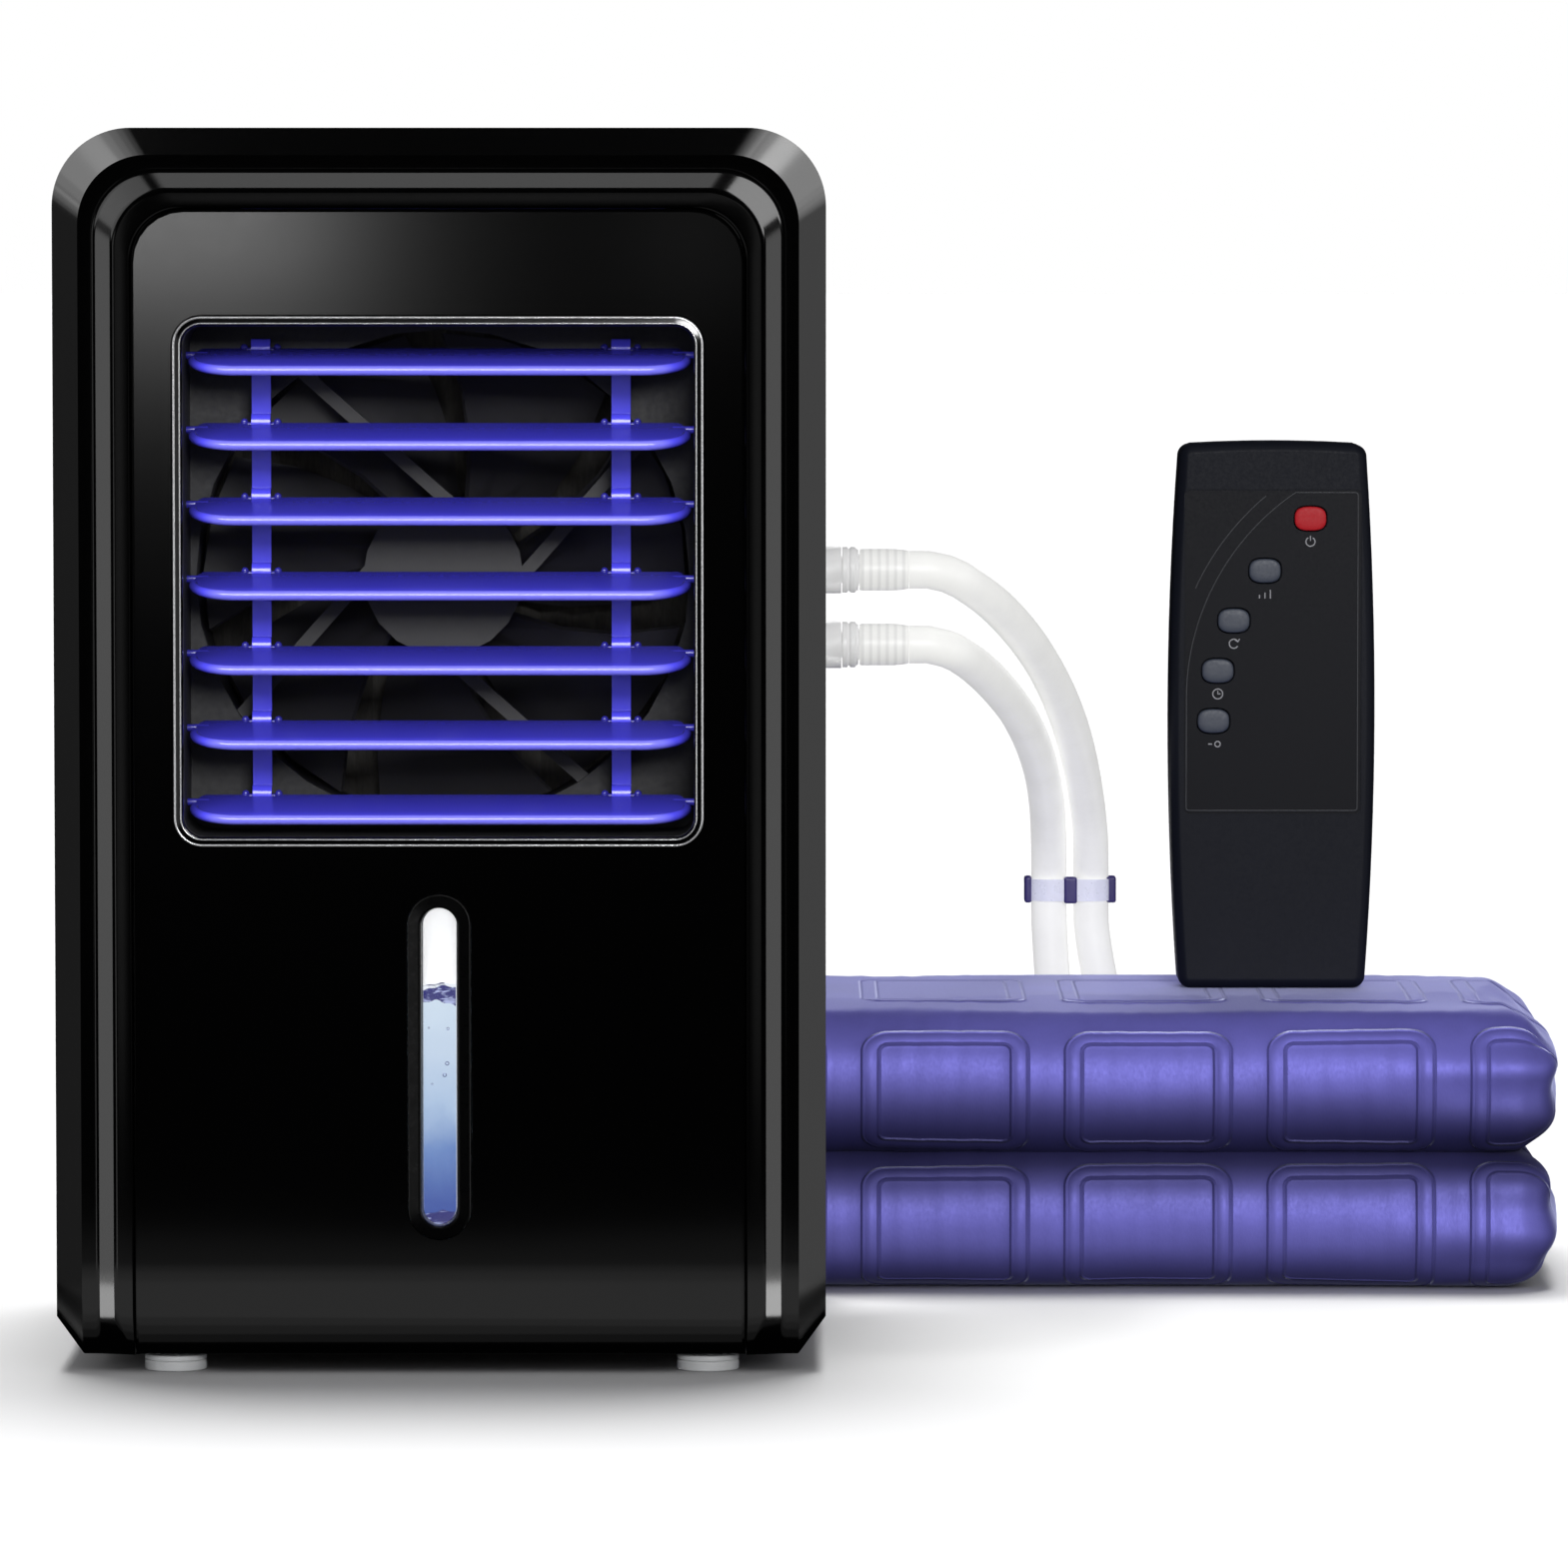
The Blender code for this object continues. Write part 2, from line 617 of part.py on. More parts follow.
def box(low, high):
    """A box between two corners."""
    bm = bmesh.new()
    bmesh.ops.create_cube(bm, size=1)
    low, high = Vector(low), Vector(high)
    scale = Matrix.Diagonal((*(high - low), 1))
    bmesh.ops.transform(bm, matrix=Matrix.Translation((low + high) / 2) @ scale, verts=bm.verts)
    return mesh_from(bm)


def rod(start, end, radius, sides=ROUND_SIDES):
    """A round bar between two points."""
    start, end = Vector(start), Vector(end)
    along = end - start
    bm = bmesh.new()
    bmesh.ops.create_cone(
        bm, cap_ends=True, segments=sides, radius1=radius, radius2=radius, depth=along.length
    )
    turn = along.to_track_quat("Z", "Y").to_matrix().to_4x4()
    bmesh.ops.transform(bm, matrix=Matrix.Translation((start + end) / 2) @ turn, verts=bm.verts)
    return mesh_from(bm)


def gathered(meshes):
    """Several shapes that lie apart, as one cutter."""
    bm = bmesh.new()
    for mesh in meshes:
        bm.from_mesh(mesh)
        bpy.data.meshes.remove(mesh)
    return mesh_from(bm)


def mesh_of_curve(curve, matrix):
    """A curve's own shape as a closed mesh."""
    holder = bpy.data.objects.new("holder", curve)
    bpy.context.scene.collection.objects.link(holder)
    seen = holder.evaluated_get(bpy.context.evaluated_depsgraph_get())
    source = bpy.data.meshes.new_from_object(seen)
    bm = bmesh.new()
    bm.from_mesh(source)
    bmesh.ops.remove_doubles(bm, verts=bm.verts, dist=MERGE_DISTANCE)
    bmesh.ops.transform(bm, matrix=matrix, verts=bm.verts)
    bpy.data.objects.remove(holder)
    bpy.data.curves.remove(curve)
    bpy.data.meshes.remove(source)
    return mesh_from(bm)


def flat(outlines, plane, low, high):
    """A flat outline, with its holes, given a thickness from low to high across its plane."""
    turn, across = PLANES[plane]
    curve = bpy.data.curves.new("outline", "CURVE")
    curve.dimensions = "2D"
    curve.fill_mode = "BOTH"
    curve.extrude = (high - low) / 2
    for outline in outlines:
        spline = curve.splines.new("POLY")
        spline.points.add(len(outline) - 1)
        for point, (first, second) in zip(spline.points, outline):
            point.co = (first, second, 0, 1)
        spline.use_cyclic_u = True
    return mesh_of_curve(curve, Matrix.Translation(across * (low + high) / 2) @ turn)


def ring(outline, width, plane, low, high):
    """A band of even width inside an outline, with clean faces that can be rounded."""
    turn, across = PLANES[plane]
    bm = bmesh.new()
    face = bm.faces.new([bm.verts.new((first, second, 0)) for first, second in outline])
    face.normal_update()
    bmesh.ops.inset_region(
        bm, faces=[face], thickness=width, use_even_offset=True, use_boundary=True
    )
    bmesh.ops.delete(bm, geom=[face], context="FACES_ONLY")
    pushed = bmesh.ops.extrude_face_region(bm, geom=bm.faces[:])["geom"]
    lifted = [item for item in pushed if isinstance(item, bmesh.types.BMVert)]
    bmesh.ops.translate(bm, verts=lifted, vec=(0, 0, high - low))
    bmesh.ops.translate(bm, verts=bm.verts, vec=(0, 0, (low - high) / 2))
    middle = Matrix.Translation(across * (low + high) / 2)
    bmesh.ops.transform(bm, matrix=middle @ turn, verts=bm.verts)
    return mesh_from(bm)


def loft(rows, closed_rows, caps=False):
    """A skin through rows of points, each with as many points as the next."""
    bm = bmesh.new()
    grid = [[bm.verts.new(point) for point in row] for row in rows]
    for near, far in zip(grid, grid[1:]):
        count = len(near)
        for index in range(count if closed_rows else count - 1):
            after = (index + 1) % count
            bm.faces.new((near[index], near[after], far[after], far[index]))
    if caps:
        bm.faces.new(grid[0])
        bm.faces.new(grid[-1])
    return mesh_from(bm)


def add_turned(name, profile, finish, place, turn, steps=ROUND_SIDES, bored=False):
    """A turned piece: its profile of (radius, height) runs down its outer side."""
    bm = bmesh.new()
    verts = [bm.verts.new((radius, 0, height)) for radius, height in profile]
    for first, second in zip(verts, verts[1:]):
        bm.edges.new((first, second))
    if bored:
        bm.edges.new((verts[-1], verts[0]))
    mesh = bpy.data.meshes.new(name)
    bm.to_mesh(mesh)
    bm.free()
    part = bpy.data.objects.new(name, mesh)
    part.location = at(*place)
    part.rotation_euler = [math.radians(angle) for angle in turn]
    mesh.materials.append(finish_material(name, finish))
    bpy.data.collections[PART_COLLECTION].objects.link(part)
    screw = part.modifiers.new("turn", "SCREW")
    screw.steps = steps
    screw.render_steps = steps
    screw.use_merge_vertices = True
    screw.merge_threshold = MERGE_DISTANCE
    screw.use_smooth_shade = True
    return part


def bake(part):
    """Keep a part's modified shape as its own mesh, and drop the tools that made it."""
    seen = part.evaluated_get(bpy.context.evaluated_depsgraph_get())
    mesh = bpy.data.meshes.new_from_object(seen)
    tools = [step.object for step in part.modifiers if step.type == "BOOLEAN"]
    part.modifiers.clear()
    part.data = mesh
    for tool in tools:
        bpy.data.objects.remove(tool)


def arc(middle, radius, start, end, steps):
    """Points along an arc, its angles in degrees."""
    points = []
    for index in range(steps + 1):
        angle = math.radians(start + (end - start) * index / steps)
        across, up = radius if isinstance(radius, tuple) else (radius, radius)
        points.append((middle[0] + across * math.cos(angle), middle[1] + up * math.sin(angle)))
    return points


def circle(middle, radius, sides=ROUND_SIDES):
    """An outline round a middle point."""
    return arc(middle, radius, 0, 360, sides)[:-1]


def rounded_box(half_width, half_height, radius, middle=(0, 0)):
    """A rectangle with round corners."""
    points = []
    for quarter, (side, level) in enumerate(((1, 1), (-1, 1), (-1, -1), (1, -1))):
        corner = (
            middle[0] + side * (half_width - radius),
            middle[1] + level * (half_height - radius),
        )
        points += arc(corner, radius, quarter * 90, (quarter + 1) * 90, CORNER_STEPS)
    return points


def stadium(half_width, half_height, middle):
    """An upright slot with half-round ends."""
    reach = half_height - half_width
    top = arc((middle[0], middle[1] + reach), half_width, 0, 180, 2 * CORNER_STEPS)
    bottom = arc((middle[0], middle[1] - reach), half_width, 180, 360, 2 * CORNER_STEPS)
    return top + bottom


def roll(height):
    """How far the front leans back at a height near the tower's foot."""
    share = min(max((FOOT_HEIGHT + ROLL_HEIGHT - height) / ROLL_HEIGHT, 0), 1)
    return ROLL_DEPTH * (1 - math.sqrt(1 - share ** 2))


def housing_outline(inset):
    """The tower seen from the front, drawn in by an even inset."""
    side = HALF_WIDTH - inset
    top = TOWER_HEIGHT - inset
    bottom = FOOT_HEIGHT + inset
    radius = TOP_RADIUS - inset
    right = arc((side - radius, top - radius), radius, 0, 90, CORNER_STEPS + 1)
    left = arc((radius - side, top - radius), radius, 90, 180, CORNER_STEPS + 1)
    foot = [
        (-side, bottom + CORNER_CUT_HEIGHT),
        (CORNER_CUT_WIDTH - side, bottom),
        (side - CORNER_CUT_WIDTH, bottom),
        (side, bottom + CORNER_CUT_HEIGHT),
    ]
    return right + left + foot


def frame_row(inset, setback, rolls, closing=0):
    """Half of one line of the front frame, from its left foot to the top centre."""
    side = HALF_WIDTH - inset
    radius = TOP_RADIUS - (TOP_RADIUS - PANEL_RADIUS) * inset / PANEL_INSET
    cut_share = max(0, 1 - inset / CORNER_CUT_WIDTH)
    bottom = FOOT_HEIGHT + CORNER_CUT_HEIGHT * cut_share
    roll_top = FOOT_HEIGHT + ROLL_HEIGHT
    points = []
    for share in LEG_ROW_SHARES:
        height = bottom + (roll_top - bottom) * share
        close = max(0, 1 - (height - FOOT_HEIGHT) / CLOSING_HEIGHT) * closing
        points.append((close - side, height))
    corner = (radius - side, TOWER_HEIGHT - inset - radius)
    points += arc(corner, radius, 180, 90, CORNER_STEPS + 1)
    points.append((0, TOWER_HEIGHT - inset))
    return [(x, setback + (roll(z) if rolls else 0), z) for x, z in points]


def make_front_frame():
    """The stepped frame round the front: one open half, mirrored and given a wall."""
    low = INNER_BAND_SETBACK + INNER_SLOPE_DEPTH
    band = OUTER_SLOPE_WIDTH + OUTER_BAND_WIDTH
    step = band + INNER_SLOPE_WIDTH
    inner = step + INNER_BAND_WIDTH
    rows = [
        frame_row(0, FRAME_DEPTH, False),
        frame_row(0, low + OUTER_SLOPE_DEPTH, False),
        frame_row(OUTER_SLOPE_WIDTH, low, True),
        frame_row(band, low, True),
        frame_row(step, INNER_BAND_SETBACK, True, CLOSING_SHARE * INNER_BAND_WIDTH),
        frame_row(inner, INNER_BAND_SETBACK, True),
        frame_row(inner, BEHIND_PANEL_Y, True),
        frame_row(inner + LEDGE_WIDTH, BEHIND_PANEL_Y, True),
    ]
    mesh = loft(rows, closed_rows=False)
    if sum(face.normal.y for face in mesh.polygons) > 0:
        mesh.flip_normals()
    frame = add_part("front_frame", mesh, "gloss_black")
    mirror = frame.modifiers.new("halves", "MIRROR")
    mirror.merge_threshold = MERGE_DISTANCE
    add_wall(frame, FRAME_WALL)


def make_front_panel():
    """The panel, with the grille and window openings, bent back at its foot."""
    side = HALF_WIDTH - PANEL_INSET
    top = TOWER_HEIGHT - PANEL_INSET
    bottom = FOOT_HEIGHT + PANEL_FOOT_GAP
    corner = (side - PANEL_RADIUS, top - PANEL_RADIUS)
    outline = [(-side, bottom), (side, bottom)]
    outline += arc(corner, PANEL_RADIUS, 0, 90, CORNER_STEPS + 1)
    outline += arc((-corner[0], corner[1]), PANEL_RADIUS, 90, 180, CORNER_STEPS + 1)
    grille = GRILLE_SIZE / 2 + SEAT
    openings = [
        rounded_box(grille, grille, GRILLE_RADIUS + SEAT, (0, GRILLE_Z)),
        stadium(WINDOW_WIDTH / 2 + SEAT, WINDOW_HEIGHT / 2 + SEAT, (0, WINDOW_Z)),
    ]
    mesh = flat([outline, *openings], "front", 0, PANEL_THICKNESS)
    bm = bmesh.new()
    bm.from_mesh(mesh)
    for share in ROLL_CUT_SHARES:
        level = FOOT_HEIGHT + ROLL_HEIGHT * share
        everything = bm.verts[:] + bm.edges[:] + bm.faces[:]
        bmesh.ops.bisect_plane(bm, geom=everything, plane_co=(0, 0, level), plane_no=(0, 0, 1))
    for vert in bm.verts:
        vert.co.y += roll(vert.co.z)
    bmesh.ops.triangulate(bm, faces=bm.faces)
    bm.to_mesh(mesh)
    bm.free()
    shade_round(mesh)
    add_part("front_panel", mesh, "gloss_black")


def make_grille_trim():
    """The bright ring round the air grille."""
    half = GRILLE_SIZE / 2
    outline = rounded_box(half, half, GRILLE_RADIUS, (0, GRILLE_Z))
    trim = add_part(
        "grille_trim", ring(outline, TRIM_WIDTH, "front", -TRIM_PROUD, PANEL_BACK_Y), "gloss_black"
    )
    round_edges(trim, TRIM_EDGE, 2)


def slat_height(index):
    """Height of a slat's pivot, counted from the top."""
    return GRILLE_Z + SLAT_PITCH * ((SLAT_COUNT - 1) / 2 - index)


def make_louver_cassette():
    """The box that holds the slats: a sleeve, a flange for the fan, and pivot holes."""
    half = GRILLE_SIZE / 2
    outline = rounded_box(half, half, GRILLE_RADIUS, (0, GRILLE_Z))
    sleeve_back = CASSETTE_DEPTH - FLANGE_THICKNESS + OVERLAP
    sleeve = ring(outline, TRIM_WIDTH, "front", BEHIND_PANEL_Y, sleeve_back)
    cassette = add_part("louver_cassette", sleeve, "satin_black")
    flange = [
        rounded_box(FLANGE_SIZE / 2, FLANGE_SIZE / 2, GRILLE_RADIUS, (0, GRILLE_Z)),
        circle((0, GRILLE_Z), FAN_BORE_RADIUS, FAN_SIDES),
    ]
    join(cassette, flat(flange, "front", CASSETTE_DEPTH - FLANGE_THICKNESS, CASSETTE_DEPTH))
    reach = half + OVERLAP
    holes = [
        rod(
            (-reach, SLAT_PIVOT_Y, slat_height(index)),
            (reach, SLAT_PIVOT_Y, slat_height(index)),
            PIVOT_RADIUS + SEAT,
            PIN_SIDES,
        )
        for index in range(SLAT_COUNT)
    ]
    cut(cassette, gathered(holes))


def slat_rear_points(bar_x):
    """The notch and the two ears of a slat's rear edge at one link bar, right to left."""
    notch_half = LINK_BAR_WIDTH / 2 + RUN
    ear_half = notch_half + EAR_WIDTH
    tip = LINK_REACH + EAR_MARGIN
    notch = LINK_REACH - HOOK_OUTER_RADIUS - RUN
    steps = ((ear_half, SLAT_REAR), (ear_half, tip), (notch_half, tip), (notch_half, notch))
    right = [(bar_x + side, depth) for side, depth in steps]
    left = [(bar_x - side, depth) for side, depth in reversed(steps)]
    return right + left


def slat_outline():
    """A slat seen from above, with its pivot axis on y = 0."""
    end_x = SLAT_HALF_LENGTH - SLAT_END_LENGTH
    end_y = SLAT_END_DEPTH - SLAT_FRONT
    radii = (SLAT_END_LENGTH, SLAT_END_DEPTH)
    right = arc((end_x, end_y), radii, -90, 0, CORNER_STEPS)
    left = arc((-end_x, end_y), radii, 180, 270, CORNER_STEPS)
    rear = [(SLAT_HALF_LENGTH, SLAT_REAR - SLAT_REAR_CORNER)]
    rear += [(SLAT_HALF_LENGTH - SLAT_REAR_CORNER, SLAT_REAR)]
    rear += slat_rear_points(LINK_BAR_X) + slat_rear_points(-LINK_BAR_X)
    rear += [(SLAT_REAR_CORNER - SLAT_HALF_LENGTH, SLAT_REAR)]
    rear += [(-SLAT_HALF_LENGTH, SLAT_REAR - SLAT_REAR_CORNER)]
    return right + rear + left


def slat_bead():
    """The round lip along a slat's front edge and ends."""
    end_x = SLAT_HALF_LENGTH - SLAT_END_LENGTH
    end_y = SLAT_END_DEPTH - SLAT_FRONT
    radii = (SLAT_END_LENGTH, SLAT_END_DEPTH)
    path = arc((-end_x, end_y), radii, 180, 270, CORNER_STEPS)
    path += arc((end_x, end_y), radii, -90, 0, CORNER_STEPS)
    curve = tube_curve([(x, y, 0) for x, y in path], 2 * BEAD_RADIUS, 1)
    return mesh_of_curve(curve, Matrix.Identity(4))


def make_slats():
    """The slats, alike, each tilted on its own pivot and named from the top down."""
    top = Vector((0, SLAT_PIVOT_Y, slat_height(0)))
    shift = Matrix.Translation(top)
    plate = flat([slat_outline()], "top", -SLAT_THICKNESS / 2, SLAT_THICKNESS / 2)
    plate.transform(shift)
    first = add_part("louver_1", plate, "louver_blue", top)
    bead = slat_bead()
    tip = SLAT_HALF_LENGTH + BEAD_RADIUS + PIVOT_REACH
    base = SLAT_HALF_LENGTH - SLAT_REAR_CORNER
    pivots = [
        rod((side * base, 0, 0), (side * tip, 0, 0), PIVOT_RADIUS, PIN_SIDES) for side in (-1, 1)
    ]
    half = LINK_BAR_WIDTH / 2 + RUN + EAR_WIDTH / 2
    pins = [
        rod((x - half, LINK_REACH, 0), (x + half, LINK_REACH, 0), LINK_PIN_RADIUS, LINK_SIDES)
        for x in (-LINK_BAR_X, LINK_BAR_X)
    ]
    for mesh in (bead, gathered(pivots), gathered(pins)):
        mesh.transform(shift)
        join(first, mesh)
    bake(first)
    first.rotation_euler.x = math.radians(SLAT_TILT)
    for index in range(1, SLAT_COUNT):
        add_copy(f"louver_{index + 1}", first, "louver_blue", (0, 0, -SLAT_PITCH * index))


def link_pin(index):
    """Place of a slat's link pin at rest, as depth and height."""
    tilt = math.radians(SLAT_TILT)
    depth = SLAT_PIVOT_Y + LINK_REACH * math.cos(tilt)
    return depth, slat_height(index) + LINK_REACH * math.sin(tilt)


def link_bar_outline():
    """A link bar from the side: a strip with one hook for each slat's pin."""
    depth, top = link_pin(0)
    bottom = link_pin(SLAT_COUNT - 1)[1]
    face = HOOK_INNER_RADIUS * math.cos(math.radians(HOOK_STRIP_ANGLE))
    start = math.degrees(math.acos(face / HOOK_OUTER_RADIUS))
    back = depth + face + LINK_BAR_THICKNESS
    points = [(back, bottom - LINK_BAR_TAIL)]
    points += [(back, top + HOOK_OUTER_RADIUS * math.sin(math.radians(start)))]
    for index in range(SLAT_COUNT):
        pin = link_pin(index)
        points += arc(pin, HOOK_OUTER_RADIUS, start, HOOK_END_ANGLE, HOOK_STEPS)
        points += arc(pin, HOOK_INNER_RADIUS, HOOK_END_ANGLE, HOOK_STRIP_ANGLE, HOOK_STEPS)
    points += [(depth + face, bottom - LINK_BAR_TAIL)]
    return points


def make_link_bars():
    """The two bars that turn all slats together, each pivoted on the top slat's pin."""
    outline = link_bar_outline()
    for name, x in (("link_bar_left", -LINK_BAR_X), ("link_bar_right", LINK_BAR_X)):
        low, high = x - LINK_BAR_WIDTH / 2, x + LINK_BAR_WIDTH / 2
        add_part(name, flat([outline], "side", low, high), "louver_blue", (x, *link_pin(0)))


def fan_point(radius, angle):
    """A point in the fan's own plane, as across and up."""
    turn = math.radians(angle)
    return radius * math.cos(turn), GRILLE_Z + radius * math.sin(turn)


def fan_strut(angle):
    """One strut of the fan frame, from the motor plate out to the ring."""
    start = Vector(fan_point(MOTOR_RADIUS - STRUT_WIDTH / 2, angle))
    end = Vector(fan_point((FAN_BORE_RADIUS + FAN_RING_RADIUS) / 2, angle + STRUT_SWEEP))
    along = (end - start).normalized()
    aside = Vector((-along.y, along.x)) * STRUT_WIDTH / 2
    corners = [start - aside, end - aside, end + aside, start + aside]
    return flat([[tuple(point) for point in corners]], "front", MOTOR_FRONT_Y, MOTOR_BACK_Y)


def make_fan_frame():
    """The round fan frame: ring, ears, motor plate with its bearing hole, and struts."""
    middle = (0, GRILLE_Z)
    outline = [
        circle(middle, FAN_RING_RADIUS, FAN_SIDES),
        circle(middle, FAN_BORE_RADIUS, FAN_SIDES),
    ]
    frame = add_part("fan_frame", flat(outline, "front", FAN_FRONT_Y, FAN_BACK_Y), "dark_plastic")
    ears = []
    for angle in (FAN_EAR_ANGLE, 180 - FAN_EAR_ANGLE, 180 + FAN_EAR_ANGLE, -FAN_EAR_ANGLE):
        place = fan_point(FAN_EAR_REACH, angle)
        outer = circle(place, FAN_EAR_RADIUS, EAR_SIDES)
        hole = circle(place, FAN_EAR_HOLE_RADIUS, LINK_SIDES)
        front = FAN_FRONT_Y + MOTOR_SETBACK
        ears.append(flat([outer, hole], "front", front, front + FAN_EAR_THICKNESS))
    join(frame, gathered(ears))
    disc = circle(middle, MOTOR_RADIUS, DISC_SIDES)
    motor = flat([disc], "front", MOTOR_FRONT_Y, MOTOR_BACK_Y)
    struts = [fan_strut(STRUT_START + 360 * index / STRUT_COUNT) for index in range(STRUT_COUNT)]
    join(frame, motor, gathered(struts))
    bearing = MOTOR_BACK_Y - SHAFT_DEPTH - SEAT
    hole_radius = SHAFT_RADIUS + SEAT
    cut(frame, rod((0, bearing, GRILLE_Z), (0, MOTOR_BACK_Y + OVERLAP, GRILLE_Z), hole_radius))


def fan_blade(angle):
    """One blade: a twisted surface from inside the hub to near the ring."""
    root = HUB_RADIUS - OVERLAP
    tip = FAN_BORE_RADIUS - BLADE_TIP_GAP
    middle_y = ROTOR_FRONT_Y + HUB_DEPTH / 2
    rows = []
    for share in BLADE_RADIUS_SHARES:
        radius = root + (tip - root) * share
        depth = BLADE_ROOT_DEPTH + (BLADE_TIP_DEPTH - BLADE_ROOT_DEPTH) * share
        row = []
        for chord in BLADE_CHORD_SHARES:
            x, z = fan_point(radius, angle + BLADE_SWEEP * share + BLADE_ANGLE / 2 * chord)
            row.append((x, middle_y - depth / 2 * chord, z))
        rows.append(row)
    skin = loft(rows, closed_rows=False)
    blade = bpy.data.objects.new("blade", skin)
    bpy.context.scene.collection.objects.link(blade)
    wall = blade.modifiers.new("wall", "SOLIDIFY")
    wall.thickness = BLADE_THICKNESS
    wall.offset = 0
    seen = blade.evaluated_get(bpy.context.evaluated_depsgraph_get())
    mesh = bpy.data.meshes.new_from_object(seen)
    bpy.data.objects.remove(blade)
    return mesh


def make_fan_rotor():
    """The hub with its shaft end and its ring of blades."""
    hub_back = ROTOR_FRONT_Y + HUB_DEPTH
    hub = rod((0, ROTOR_FRONT_Y, GRILLE_Z), (0, hub_back, GRILLE_Z), HUB_RADIUS, HUB_SIDES)
    rotor = add_part("fan_rotor", hub, "dark_plastic", (0, ROTOR_FRONT_Y, GRILLE_Z))
    shaft_start = (0, MOTOR_BACK_Y - SHAFT_DEPTH, GRILLE_Z)
    shaft_end = (0, ROTOR_FRONT_Y + OVERLAP, GRILLE_Z)
    join(rotor, rod(shaft_start, shaft_end, SHAFT_RADIUS, PIN_SIDES))
    blades = [fan_blade(360 * index / BLADE_COUNT) for index in range(BLADE_COUNT)]
    join(rotor, gathered(blades))


def make_window():
    """The level window: its bezel, and the clear lens in front of the tank."""
    middle = (0, WINDOW_Z)
    outline = stadium(WINDOW_WIDTH / 2, WINDOW_HEIGHT / 2, middle)
    band = ring(outline, BEZEL_WIDTH, "front", -BEZEL_PROUD, BEZEL_DEPTH)
    bezel = add_part("window_bezel", band, "satin_black")
    round_edges(bezel, BEZEL_EDGE)
    half_width = WINDOW_WIDTH / 2 - BEZEL_WIDTH - SEAT
    half_height = WINDOW_HEIGHT / 2 - BEZEL_WIDTH - SEAT
    lens = flat([stadium(half_width, half_height, middle)], "front", LENS_SETBACK, BEZEL_DEPTH)
    add_part("window_lens", lens, "clear_plastic")


def add_hinge_lugs(shell):
    """Lugs beside the fill opening, bored for the lid's pin."""
    low_z = SHELL_CEILING_Z - LID_LUG_HEIGHT
    low_y = LID_PIN_Y - LID_LUG_DEPTH / 2
    for side in (-1, 1):
        near = side * LID_HALF_WIDTH
        far = side * (LID_HALF_WIDTH + LID_LUG_WIDTH)
        lug = box(
            (min(near, far), low_y, low_z),
            (max(near, far), low_y + LID_LUG_DEPTH, SHELL_CEILING_Z + SEAT),
        )
        join(shell, lug)
    reach = LID_HALF_WIDTH + LID_LUG_WIDTH + OVERLAP
    left, right = (-reach, LID_PIN_Y, LID_PIN_Z), (reach, LID_PIN_Y, LID_PIN_Z)
    cut(shell, rod(left, right, LID_PIN_RADIUS + SEAT, PIN_SIDES))


def screw_places():
    """Places of the four cover screws, as across and up."""
    return [(side * SCREW_X, height) for height in (SCREW_LOW_Z, SCREW_HIGH_Z) for side in (-1, 1)]


def make_housing_shell():
    """The housing: a sleeve with a tongue under the panel, openings, lugs and bosses."""
    outlines = [housing_outline(0), housing_outline(SHELL_WALL)]
    sleeve = flat(outlines, "front", SHELL_FRONT_Y, SHELL_BACK_Y)
    shell = add_part("housing_shell", sleeve, "gloss_black")
    tongue_half = HALF_WIDTH - PANEL_INSET - LEDGE_WIDTH
    tongue_front = ROLL_DEPTH + PANEL_BACK_Y + SEAT
    tongue = box(
        (-tongue_half, tongue_front, FOOT_HEIGHT),
        (tongue_half, SHELL_FRONT_Y + OVERLAP, SHELL_FLOOR_Z),
    )
    bosses = [
        rod((x, SHELL_BACK_Y - BOSS_LENGTH, z), (x, SHELL_BACK_Y, z), BOSS_RADIUS)
        for x, z in screw_places()
    ]
    join(shell, tongue, gathered(bosses))
    screw_end = SHELL_BACK_Y - SCREW_LENGTH
    bores = [
        rod((x, screw_end, z), (x, SHELL_BACK_Y + OVERLAP, z), SCREW_RADIUS + SEAT, PIN_SIDES)
        for x, z in screw_places()
    ]
    cut(shell, gathered(bores))
    low, high = SHELL_CEILING_Z - OVERLAP, TOWER_HEIGHT + OVERLAP
    controls = rounded_box(
        CONTROLS_HALF_WIDTH, CONTROLS_HALF_DEPTH, CONTROLS_RADIUS, (0, CONTROLS_Y)
    )
    cut(shell, flat([controls], "top", low, high))
    cut(shell, box((-LID_HALF_WIDTH, LID_FRONT_Y, low), (LID_HALF_WIDTH, LID_BACK_Y, high)))
    inner, outer = HALF_WIDTH - SHELL_WALL - OVERLAP, HALF_WIDTH + OVERLAP
    for height in (PORT_HIGH_Z, PORT_LOW_Z):
        hole_radius = PORT_NECK_RADIUS + SEAT
        cut(shell, rod((inner, PORT_Y, height), (outer, PORT_Y, height), hole_radius))
    add_hinge_lugs(shell)


def make_feet():
    """Four round feet under the housing."""
    top = FOOT_HEIGHT - SEAT
    profile = [
        (0, top),
        (FOOT_RADIUS, top),
        (FOOT_RADIUS, FOOT_EDGE),
        (FOOT_RADIUS - FOOT_EDGE, 0),
        (0, 0),
    ]
    places = [(side, depth) for depth in (FOOT_FRONT_Y, FOOT_BACK_Y) for side in (-1, 1)]
    for number, (side, depth) in enumerate(places, 1):
        place = (side * FOOT_X, depth, 0)
        add_turned(f"foot_{number}", profile, "foot_rubber", place, (0, 0, 0), DISC_SIDES)


